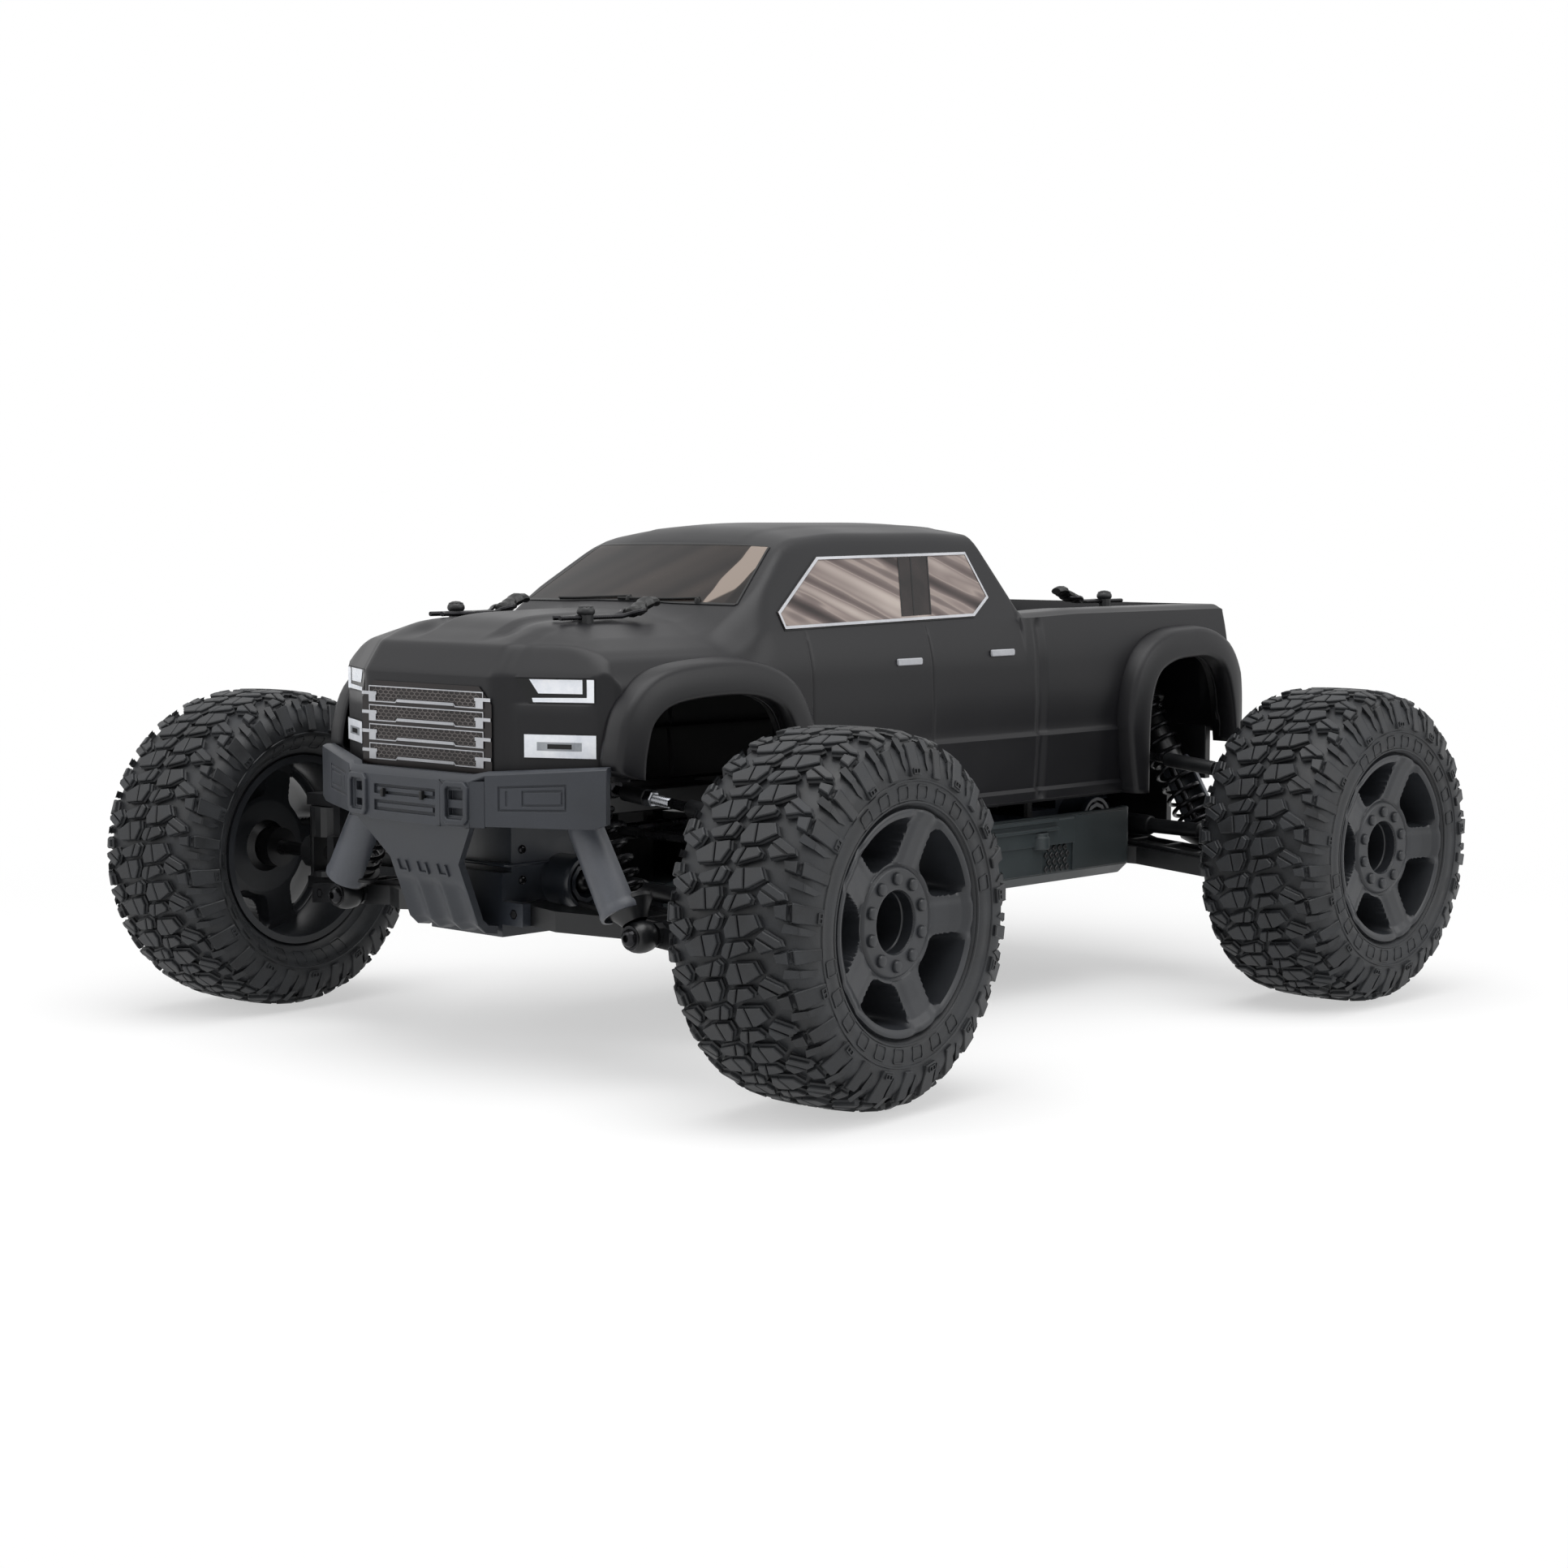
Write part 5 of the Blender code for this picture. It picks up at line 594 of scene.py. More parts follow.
dressed = [("tyre", tyreParts(), treadRubber, "tyre_rubber", 30), ("wheel", wheelParts(), [rimNylon, blackAnodise],
        "wheel_nylon", 32)]
for label, end, side in corners:
    spin = joints["wheel_spin_" + label]
    axes = axesFor(np.array(spin["axis"]) * side, (1, 0, 0))
    for kind, parts, looks, slot, sharp in dressed:
        placed = [moved(part, axes, spin["pos_m"]) for part in parts]
        makePiece(f"dressed_{kind}_{label}", placed, looks, "wheel_" + label, [f"{kind}_{label}"], sharp=sharp)
print("wheels and tyres dressed")


# Body shell: a height field over the plan for hood, cab and bed, side walls hung from its edge, nose and tail closed
shellSizes = {
    "wall": 0.0013, "noseX": 0.2135, "tailX": -0.2110, "edgeV": 0.0745, "rockerZ": 0.0885, "noseFoot": 0.1140,
    "tailFoot": 0.1120,
    "shoulderZ": 0.148, "shoulderHalf": 0.0800, "flareWall": 0.0010,
    "crown": 0.1774, "rail": 0.1726, "bedDepth": 0.0068, "cabFloor": 0.162, "roof": 0.2106,
    # cab planes as (place, height there, rise per metre): side wall, back and windscreen
    "cabWall": (0.0752, 0.168, 1.769), "cabBack": (-0.0600, 0.1705, 3.1), "screen": (0.1122, 0.1776, 0.69),
    # (distance from the middle, distance behind the nose) of the front in plan
    "plan": [(0, 0), (0.0368, 0.0002), (0.0392, 0.0012), (0.0430, 0.0050), (0.0460, 0.0060), (0.0600, 0.0132),
             (0.0700, 0.0180), (0.0745, 0.0206)],
    # (distance behind the nose, height) of the hood's middle
    "hood": [(0, 0.1530), (0.0009, 0.1546), (0.0040, 0.1590), (0.0072, 0.1633), (0.0088, 0.1647), (0.0120, 0.1660),
             (0.020, 0.1692), (0.034, 0.1742), (0.060, 0.1764), (0.110, 0.1774)],
    "hoodDrop": [(0, 0), (0.015, 0.0003), (0.022, 0.0014), (0.030, 0.0034), (0.038, 0.0050), (0.046, 0.0062),
                 (0.060, 0.0105), (0.0700, 0.0150), (0.0745, 0.0182), (0.08, 0.022)],
    # (height, half width) of the side below the shoulder
    "side": [(0.080, 0.0775), (0.0885, 0.0786), (0.0900, 0.0803), (0.0936, 0.0806), (0.0952, 0.0793), (0.1150, 0.0808),
             (0.1180, 0.0812), (0.1196, 0.0801), (0.1215, 0.0799), (0.1340, 0.0806), (0.1480, 0.0800)],
    "frontArch": [(0.1815, 0.1150), (0.1812, 0.1168), (0.1800, 0.1258), (0.1755, 0.1370), (0.1620, 0.1435),
                  (0.1290, 0.1450), (0.1080, 0.1400), (0.0990, 0.1280), (0.0920, 0.1080), (0.0900, 0.0885)],
    "rearArch": [(-0.1340, 0.0885), (-0.1345, 0.1100), (-0.1362, 0.1300), (-0.1420, 0.1425), (-0.1540, 0.1482),
                 (-0.1680, 0.1496), (-0.1810, 0.1492), (-0.1925, 0.1440), (-0.1990, 0.1300), (-0.2025, 0.1080)],
    "noseTaper": [(0.178, 0.083), (0.183, 0.0808), (0.188, 0.0786), (0.1929, 0.0745)],
    # door seams and the groove before the bed as (x, depth, half width)
    "seams": [(0.0800, 0.0005, 0.0008), (0.0060, 0.0005, 0.0008)], "bedGroove": (-0.0665, 0.0014, 0.0042),
    "flareLips": {"frontArch": 0.0895, "rearArch": 0.0898},
    # mesh rows as (from, to, count): along the truck, shares of the half width; and heights down the side
    "stations": [(-0.2110, -0.2030, 16), (-0.203, -0.187, 20), (-0.187, -0.151, 12), (-0.151, -0.1335, 24),
                 (-0.1335, -0.072, 18), (-0.072, -0.044, 34), (-0.044, 0.000, 10), (0.000, 0.012, 17),
                 (0.012, 0.074, 14), (0.074, 0.0885, 20), (0.0885, 0.101, 18), (0.101, 0.130, 20), (0.130, 0.165, 12),
                 (0.165, 0.196, 26), (0.196, 0.2135, 20)],
    "shares": [(0, 0.62, 26), (0.62, 0.73, 9), (0.73, 0.80, 9), (0.80, 1.0, 12)],
    "levels": [0.1440, 0.1434, 0.1428, 0.1422, 0.138, 0.133, 0.128, 0.124, 0.1215, 0.1204, 0.1196, 0.1188, 0.1180,
               0.1168, 0.1150, 0.110, 0.105, 0.100, 0.0965, 0.0952, 0.0944, 0.0936, 0.0920, 0.0900, 0.0885],
}


def noseSetback(v):  # distance behind the nose, read off the plan
    return np.interp(v, *np.array(shellSizes["plan"]).T)


def cheekLedge(v, z):  # the lamp zone lies behind the cheek below it
    return (0.0010 * ease(0.1423, 0.1433, z) * ease(0.1535, 0.1522, z)
            * ease(0.0440, 0.0470, v) * ease(0.0745, 0.0700, v))


def topHeight(x, v):  # softened lowest of hood, screen, roof and wall planes, with the bed sunk behind the cab
    behind = shellSizes["noseX"] - noseSetback(v) - x
    hoodX, hoodZ = smoothCurve(shellSizes["hood"], 80).T
    dropV, dropZ = np.array(shellSizes["hoodDrop"]).T
    crown = shellSizes["crown"] - np.interp(v, dropV, dropZ)
    valley = (0.0015 * ease(0.0190, 0.0218, v) * ease(0.0330, 0.0240, v)
              * ease(0.010, 0.022, behind) * ease(0.095, 0.040, behind))
    hood = softMin(np.interp(behind, hoodX, hoodZ), crown, 0.004) - valley
    rail = (shellSizes["rail"] - 0.0022 * ease(0.0715, 0.0775, v) - 0.0016 * ease(-0.2070, -0.2110, x)
            - 0.0010 * ease(-0.10, -0.06, x))
    bed = ease(-0.0605, -0.0625, x) * ease(-0.2068, -0.2050, x) * ease(0.0579, 0.0563, v)
    lower = np.where(x > 0.03, hood, rail - shellSizes["bedDepth"] * bed)
    lower = np.where((x > -0.056) & (x < 0.06), shellSizes["cabFloor"], lower)
    screenX, screenZ, screenRise = shellSizes["screen"]
    screen = screenZ + (screenX - 0.0045 * (v / 0.058) ** 2 - x) * screenRise
    roof = (shellSizes["roof"] - 0.0046 * (v / 0.054) ** 2.5 - 0.0022 * ease(0.030, 0.075, x)
            - 0.0010 * ease(-0.020, -0.050, x) + 0.0004 * ease(0.036, 0.031, v))
    (wallV, wallZ, wallRise), (backX, backZ, backRise) = shellSizes["cabWall"], shellSizes["cabBack"]
    wallPlane = wallZ + (wallV - v) * wallRise
    rear = backZ + (x - backX) * backRise
    foot = 0.1640 + (0.1090 - x) * 0.75 + (wallV - v) * 1.3
    cab = softMin(softMin(softMin(screen, roof, 0.006), wallPlane, 0.0055), softMin(rear, foot, 0.002), 0.0045)
    return softMax(lower, cab, 0.0016 + 0.0034 * ease(0.094, 0.104, x))


def edgeHalf(x):  # half width where the top turns into the side
    return (shellSizes["edgeV"] + 0.0007 * ease(0.120, 0.100, x) + 0.0013 * ease(-0.052, -0.060, x)
            - 0.0018 * ease(-0.2075, -0.2110, x) ** 1.5)


def archHeight(x):  # lower edge of the side along the truck
    edge = np.full(np.shape(x), shellSizes["rockerZ"])
    edge = np.where(x > shellSizes["frontArch"][0][0], shellSizes["noseFoot"], edge)
    edge = np.where(x < shellSizes["rearArch"][-1][0], shellSizes["tailFoot"], edge)
    for name in ("frontArch", "rearArch"):
        arch = smoothCurve(shellSizes[name], 120)[::-1]
        inside = (x >= arch[0, 0]) & (x <= arch[-1, 0])
        edge = np.where(inside, np.interp(x, *arch[np.argsort(arch[:, 0])].T), edge)
    return edge


def sideHalf(x, z, edgeV, edgeZ):  # half width of the side at a height, below the shoulder
    half = np.interp(z, *np.array(shellSizes["side"]).T)
    shoulderZ, shoulderHalf = shellSizes["shoulderZ"], shellSizes["shoulderHalf"]
    rise = np.clip((z - shoulderZ) / np.maximum(edgeZ - shoulderZ, 1e-5), 0, 1)
    half = np.where(z > shoulderZ, shoulderHalf + (edgeV - shoulderHalf) * rise ** 1.7, half)
    corner = 0.0018 * ease(-0.2075, -0.2110, x) ** 1.5
    front = np.interp(x, *np.array(shellSizes["noseTaper"]).T)
    for place, depth, width in [*shellSizes["seams"], shellSizes["bedGroove"]]:
        half = half - depth * np.clip(1 - np.abs(x - place) / width, 0, 1) * ease(0.090, 0.0915, z)
    return np.minimum(half - corner, front)


def shellParts():  # top height over stations and shares of the half width; sides, nose and tail hang from it
    size = shellSizes
    spread = lambda runs, digits: np.unique(np.concatenate([np.linspace(*run) for run in runs]).round(digits))
    stations, shares = spread(size["stations"], 6)[::-1], spread(size["shares"], 5)
    warp = np.clip((stations - 0.150) / (size["noseX"] - 0.150), 0, 1)
    v = edgeHalf(stations)[:, None] * shares[None, :]
    x = stations[:, None] - noseSetback(v) * warp[:, None]
    top = np.stack([x, v, topHeight(x, v)], -1)
    fixed = np.array([size["shoulderZ"], *size["levels"]])
    edgeZ = top[:, -1, 2][:, None]
    upper = edgeZ + (size["shoulderZ"] - edgeZ) * np.linspace(0, 1, 10)[None, :-1]
    z = np.hstack([upper, np.repeat(fixed[None], len(stations), 0)])
    sideX = np.repeat(x[:, -1:], z.shape[1], 1)
    z = np.maximum(z, archHeight(sideX))
    side = np.stack([sideX, sideHalf(sideX, z, top[:, -1, 1][:, None], edgeZ), z], -1)
    side[:, 0] = top[:, -1]
    noseZ = np.maximum(z[0], size["noseFoot"])[:, None]
    noseV = side[0, :, 1][:, None] * shares[None, :]
    nose = np.stack([size["noseX"] - noseSetback(noseV) - cheekLedge(noseV, noseZ), noseV,
                     np.repeat(noseZ, len(shares), 1)], -1)
    nose[0] = top[0]
    tailZ = np.maximum(z[-1], size["tailFoot"])[:, None]
    tailV = side[-1, :, 1][:, None] * shares[None, :]
    panel = 0.0009 * ease(0.158, 0.156, tailZ) * ease(0.124, 0.126, tailZ) * ease(0.066, 0.064, tailV)
    tail = np.stack([side[-1, :, 0][:, None] + panel + 0 * tailV, tailV, np.repeat(tailZ, len(shares), 1)], -1)
    tail[0] = top[-1]
    parts = []
    for sheet in (top, side, nose, tail):
        half = sheetPart(sheet)
        parts += [half, flipped(half)]
    return parts


def flareParts():  # an eased band carried round each arch, standing out from the side
    parts = []
    for name, lip in shellSizes["flareLips"].items():
        arch = smoothCurve(shellSizes[name], 60)
        path = np.column_stack([arch[:, 0], 0 * arch[:, 0], arch[:, 1]])
        run = unit(np.gradient(path, axis=0))
        out = np.stack([run[:, 2], 0 * run[:, 0], -run[:, 0]], -1)
        if out[len(out) // 2, 2] < 0:
            out = -out
        # (away from the opening, half width): inside turn, lip, rounded band, foot on the side
        band = np.array([(0.0006, 0.0760), (-0.0002, 0.0840), (-0.0003, lip - 0.0012), (0.0006, lip - 0.0002),
                         (0.0020, lip), (0.0060, lip - 0.0005), (0.0104, lip - 0.0013), (0.0121, lip - 0.0022),
                         (0.0131, lip - 0.0042), (0.0138, 0.0806), (0.0140, 0.0795), (0.0134, 0.0776)])
        foot = np.linspace(0, 1, len(arch))
        squeeze = np.minimum(1.0, 0.55 + 3.0 * np.minimum(foot, 1 - foot))[:, None, None]
        points = path[:, None] + out[:, None] * band[None, :, :1] * squeeze
        points[..., 1] = band[None, :, 1]
        points[..., 2] = np.maximum(points[..., 2], shellSizes["rockerZ"])
        part = sheetPart(points)
        parts += [part, flipped(part)]
    return parts


makePiece("dressed_shell", shellParts(), satinShell, "chassis", ["body_shell"], sharp=38,
          wall=shellSizes["wall"], weld=4e-6)
makePiece("shell_flares", flareParts(), satinShell, "chassis", sharp=50,
          wall=shellSizes["flareWall"])
print("body shell dressed")


# Films and trim on the shell: windows, lamps, grille, handles and wipers
trimSizes = {
    "lift": 0.0003,
    # side window corners as (x, z) on the sloping cab wall, and the pillar's two edges from top to bottom
    "window": [(0.0564, 0.1966), (-0.0392, 0.1980), (-0.0420, 0.1784), (-0.0276, 0.1708), (0.0915, 0.1684),
               (0.0918, 0.1751)],
    "border": 0.0011, "pillar": [(0.0059, 0.1962), (-0.0129, 0.1964), (0.0002, 0.1722), (0.0188, 0.1718)],
    "screenFoot": (0.0620, 0.1106), "screenTop": (0.0500, 0.0772), "rearWindow": [(0.046, 0.178), (0.040, 0.1985)],
    "handles": [(0.0213, 0.1534), (-0.0397, 0.1552)], "handle": (0.0077, 0.0014, 0.0010), "handleY": 0.0796,
    # lamps as corners (across, up) on the nose, bottom inner first
    "lampBack": [(0.0500, 0.1432), (0.0743, 0.1434), (0.0743, 0.1527), (0.0456, 0.1527)],
    "lampBlock": [(0.0535, 0.1470), (0.0694, 0.1470), (0.0694, 0.1524), (0.0502, 0.1524)],
    "lampSide": [(0.0710, 0.1438), (0.0740, 0.1438), (0.0740, 0.1524), (0.0710, 0.1524)],
    "lampFoot": [(0.0516, 0.1437), (0.0711, 0.1438), (0.0711, 0.1456), (0.0512, 0.1453)],
    "fogBack": [(0.0484, 0.1224), (0.0750, 0.1224), (0.0750, 0.1321), (0.0484, 0.1321)],
    "fog": [(0.0490, 0.1229), (0.0747, 0.1229), (0.0747, 0.1316), (0.0490, 0.1316)],
    "fogGlow": [(0.0536, 0.1256), (0.0698, 0.1256), (0.0698, 0.1288), (0.0536, 0.1288)],
    "fogLens": [(0.0574, 0.1263), (0.0662, 0.1263), (0.0662, 0.1281), (0.0574, 0.1281)],
    "tailLamp": [(0.0600, 0.1390), (0.0705, 0.1390), (0.0705, 0.1590), (0.0600, 0.1590)],
    "grille": [(0.0390, 0.1165), (0.0390, 0.1425), (0.0318, 0.1492), (-0.0318, 0.1492), (-0.0390, 0.1425),
               (-0.0390, 0.1165)],
    "grilleRows": [0.1442, 0.1367, 0.1292, 0.1217], "cell": (0.0032, 0.00135),
    # one row of the grille: shape of a cell, border of the row, bar at its foot, end tabs as (low, high, near, far)
    "cellShape": [(0.62, 0.0), (0.34, 0.62), (-0.34, 0.62), (-0.62, 0.0), (-0.34, -0.62), (0.34, -0.62)],
    "rowBorder": [(0.0345, -0.0034), (0.0345, 0.0030), (-0.0345, 0.0030), (-0.0345, -0.0034), (-0.0180, -0.0034),
                  (-0.0168, -0.0023), (0.0168, -0.0023), (0.0180, -0.0034)],
    "rowBar": [(-0.0172, -0.0030), (0.0172, -0.0030), (0.0168, -0.0023), (-0.0168, -0.0023)], "rowLine": 0.00042,
    "rowTabs": [(-0.0006, 0.0007, 0.0296, 0.0388), (-0.0034, -0.0006, 0.0302, 0.0345)],
    # wiper arms from and to across the cowl, and the pivot as (radius, height)
    "wipers": [(-0.0400, 0.0040), (-0.0020, 0.0420)], "wiper": 0.00045,
    "pivot": [(0.0, 0.0012), (0.0011, 0.0010), (0.0014, 0.0), (0.0014, -0.001)],
}


def nosePoint(v, z, lift=0.0):  # on the nose at a height, lifted forwards
    x = shellSizes["noseX"] - noseSetback(np.abs(v)) - cheekLedge(np.abs(v), z) + lift
    return np.stack([x, v + 0 * x, z + 0 * x], -1)


def windowPoint(x, z, lift):  # on the cab's sloping side wall, lifted square to it
    wallV, wallZ, wallRise = shellSizes["cabWall"]
    return np.stack([x, wallV - (z - wallZ) / wallRise + 0.8706 * lift, z + 0.4921 * lift], -1)


def screenPoint(v, t, lift):  # on the windscreen from the cowl (0) to the roof (1)
    (footV, footX), (topV, topX) = trimSizes["screenFoot"], trimSizes["screenTop"]
    x = (footX - 0.0045 * (v / footV) ** 2) * (1 - t) + (topX - 0.0026 * (v / topV) ** 2) * t
    return np.stack([x, v, topHeight(x, np.abs(v)) + lift], -1)


def windowParts():  # film, dark pillar with its lines, and the bright border, each a little further out
    size, lift = trimSizes, trimSizes["lift"]
    outline, pillar = np.array(size["window"]), np.array(size["pillar"])
    lay = lambda corners, away: windowPoint(*np.asarray(corners, float).T, away)
    parts = [filmPart(lay(outline, lift), 0), filmPart(lay(pillar, lift * 1.3), 1)]
    for share in (0.0, 0.42, 1.0):
        top, foot = pillar[0] + (pillar[1] - pillar[0]) * share, pillar[3] + (pillar[2] - pillar[3]) * share
        line = [top + (0.0004, 0), top - (0.0004, 0), foot - (0.0004, 0), foot + (0.0004, 0)]
        parts.append(filmPart(lay(line, lift * 1.6), 2))
    parts.append(rimPart(lay(drawnIn(outline, -0.0005), lift * 0.8), lay(drawnIn(outline, 0.0003), lift * 0.8), 2))
    parts.append(rimPart(lay(outline, lift * 2), lay(drawnIn(outline, size["border"]), lift * 2), 3))
    return bothSides(parts)


def screenParts():  # windscreen film with dark strips on its four edges, and the rear window
    lift = trimSizes["lift"]
    foot, top = trimSizes["screenFoot"][0], trimSizes["screenTop"][0]
    parts = [patchPart(lambda v, t: screenPoint(v, t, lift), [(-foot, 0), (foot, 0), (top, 1), (-top, 1)], 24, 40, 0)]
    edgeLines = [[(-foot - 0.0008, 0), (-foot + 0.0002, 0), (-top + 0.0002, 1), (-top - 0.0008, 1)],
                 [(foot - 0.0002, 0), (foot + 0.0008, 0), (top + 0.0008, 1), (top - 0.0002, 1)],
                 [(-foot, -0.02), (foot, -0.02), (foot, 0.012), (-foot, 0.012)],
                 [(-top, 0.985), (top, 0.985), (top, 1.02), (-top, 1.02)]]
    parts += [patchPart(lambda v, t: screenPoint(v, t, lift * 1.4), corners, 16, 24, 1) for corners in edgeLines]
    (lowV, lowZ), (highV, highZ) = trimSizes["rearWindow"]
    rear = np.array([(-lowV, lowZ), (-highV, highZ), (highV, highZ), (lowV, lowZ)])
    backX, backZ, backRise = shellSizes["cabBack"]
    parts.append(filmPart(np.column_stack([backX + (rear[:, 1] - backZ) / backRise - 0.0004, rear]), 0))
    return parts


def lampParts():  # films on the nose and tail, each a little further out than the one behind it
    size, parts = trimSizes, []
    films = [("lampBack", 1, 1), ("lampBlock", 0, 1.6), ("lampSide", 0, 1.6), ("lampFoot", 0, 1.6),
             ("fogBack", 1, 1), ("fog", 0, 1.6), ("fogGlow", 3, 1.9), ("fogLens", 1, 2.2)]
    for name, slot, lift in films:
        parts.append(patchPart(lambda v, z: nosePoint(v, z, size["lift"] * lift), size[name], 8, 16, slot))
    tail = np.array(size["tailLamp"])
    parts.append(filmPart(np.column_stack([np.full(4, shellSizes["tailX"] - size["lift"]), tail])[::-1], 2))
    return bothSides(parts)


def grilleParts():  # dark panel, rows of long six-sided cells, bright borders with stepped end tabs
    size, lift, face = trimSizes, trimSizes["lift"], shellSizes["noseX"]
    lay = lambda corners, away: np.column_stack([np.full(len(corners), face + away), np.asarray(corners, float)])
    parts = [filmPart(lay(size["grille"], lift), 0)]
    wide, tall = size["cell"]
    column, line = np.meshgrid(np.arange(-10, 11), np.arange(-1, 3), indexing="ij")
    centre = np.stack([(column + 0.5 * (line % 2)) * wide, (line - 0.5) * tall * 0.98], -1).reshape(-1, 2)
    centre = centre[(np.abs(centre[:, 0]) < 0.0318) & ((centre[:, 1] > -0.0018) | (np.abs(centre[:, 0]) > 0.018))]
    cell = np.array(size["cellShape"]) * (wide, tall)
    rings = np.stack([cell * 0.93, cell * 0.79])[None] + centre[:, None, None]
    firsts = 2 * len(cell) * np.arange(len(centre))[:, None, None]
    quads = (gridFaces(2, len(cell), closeCols=True)[None] + firsts).reshape(-1, 4).tolist()
    for z in size["grilleRows"]:
        parts.append((lay(rings.reshape(-1, 2) + (0, z), lift * 1.5), quads, 1))
        outline = np.array(size["rowBorder"]) + (0, z)
        parts.append(rimPart(lay(outline, lift * 2), lay(drawnIn(outline, size["rowLine"]), lift * 2), 2))
        parts.append(filmPart(lay(np.array(size["rowBar"]) + (0, z), lift * 2.2), 2))
        for way in (1, -1):
            for low, high, near, far in size["rowTabs"]:
                tab = np.array([(near, low), (far, low), (far, high), (near, high)]) * (way, 1) + (0, z)
                parts.append(filmPart(lay(tab, lift * 2.4), 2))
    return parts


def handleParts():  # a flat bar with cut corners for each handle
    halfX, halfZ, out = trimSizes["handle"]
    parts = []
    for x, z in trimSizes["handles"]:
        bar = blockPart(boxOutline(halfX, halfZ, 0.0005), -0.0004, out, 0.0003)
        parts.append(moved(bar, leftAxes, (x, trimSizes["handleY"], z)))
    return bothSides(parts)


def wiperParts():  # two thin arms lying along the cowl
    size, parts = trimSizes, []
    for low, high in size["wipers"]:
        v = np.linspace(low, high, 14)
        path = screenPoint(v, 0.012 + 0.05 * np.linspace(0, 1, 14) ** 2, 0.0009)
        at = screenPoint(np.array([high]), np.array([0.03]), 0.0005)[0]
        parts += [tubePart(path, size["wiper"], 8), moved(turnedPart(size["pivot"], 16), at=at)]
    return parts


makePiece("side_windows", windowParts(), [sideGlass, pillarFilm, lampDark, silverTrim], "chassis")
makePiece("windscreen", screenParts(), [screenGlass, lampDark], "chassis")
makePiece("lamps", lampParts(), [lampWhite, lampDark, lampRed, lampGrey], "chassis")
makePiece("grille", grilleParts(), [grilleDark, grilleLine, silverTrim], "chassis")
makePiece("door_handles", handleParts(), silverTrim, "chassis")
makePiece("wipers", wiperParts(), softRubber, "chassis")
print("windows, lamps and grille laid on")


# Bumper: stepped panels on the front, the two tow-eye facets, the corners and the wings, with a lip over them;
# skid plate below
bumperSizes = {
    # plan of the face from the middle outwards as (x, half width)
    "plan": [(0.2248, 0.0213), (0.2229, 0.0361), (0.2194, 0.0410), (0.1985, 0.0856)], "thick": 0.0040,
    "lowZ": 0.0964, "faceZ": 0.1140, "wingLow": [(0, 0.0970), (0.040, 0.0971), (0.0476, 0.0975), (0.0493, 0.0990)],
    "wingTop": [(0, 0.1163), (0.0493, 0.1197)],
    # lip from the middle outwards: foot and rise at the corners of the plan
    "lipFoot": [0.1140, 0.1140, 0.1163, 0.1197], "lipRise": [0.0026, 0.0024, 0.0012, 0.0008], "cornerRun": 0.00602,
    # tow eye: outline, place, and (width, low, high, eased edge) of its frame
    "eye": (0.0067, 0.0082, 0.0022), "eyeAt": (0.0082, 0.10555), "eyeFrame": (0.0021, -0.0005, 0.0013, 0.0003),
    "front": [(-0.0213, 0.0213, 0.0964, 0.1140, 0), (-0.0185, 0.0185, 0.1063, 0.1101, -0.0013),
              (-0.0168, 0.0168, 0.1074, 0.1090, -0.0003), (-0.0185, 0.0185, 0.0998, 0.1040, -0.0013),
              (-0.0168, 0.0168, 0.1010, 0.1028, -0.0003)],
    "facet": [(0, 0.01492, 0.0964, 0.1140, 0), (0.0030, 0.0116, 0.1001, 0.1111, -0.0006),
              (0.0038, 0.0110, 0.1066, 0.1102, -0.0030), (0.0038, 0.0110, 0.1007, 0.1035, -0.0030)],
    "wing": [(0, 0.0440, 0.0970, 0.1163, 0), (0.0440, 0.0493, 0.0970, 0.1163, 0),
             (0.0055, 0.0333, 0.1028, 0.1120, -0.0006), (0.0062, 0.0326, 0.1035, 0.1113, -0.0001),
             (0.0152, 0.0318, 0.1046, 0.1102, -0.0006), (0.0159, 0.0311, 0.1053, 0.1095, -0.0001),
             (0.0085, 0.0093, 0.1046, 0.1102, -0.0005)],
    "hooks": [(-0.0124, 0.1070), (0.0111, 0.1073)], "hook": (0.0008, 0.0017, 0.0004), "hookDepth": (-0.0016, 0.0014),
    # skid as (x, z, half width) down its middle
    "skid": [(0.2214, 0.0972, 0.0352), (0.2155, 0.0806, 0.0207), (0.2060, 0.0562, 0.0207), (0.2020, 0.0526, 0.0207),
             (0.1962, 0.0518, 0.0207)], "skidWall": 0.0032,
    "slots": [-0.0138, -0.0018, 0.0102],
    "slot": [(-0.0030, 0.0030, -0.0058, -0.0008, 0.0008), (-0.0020, 0.0020, -0.0048, -0.0008, -0.0012)],
}


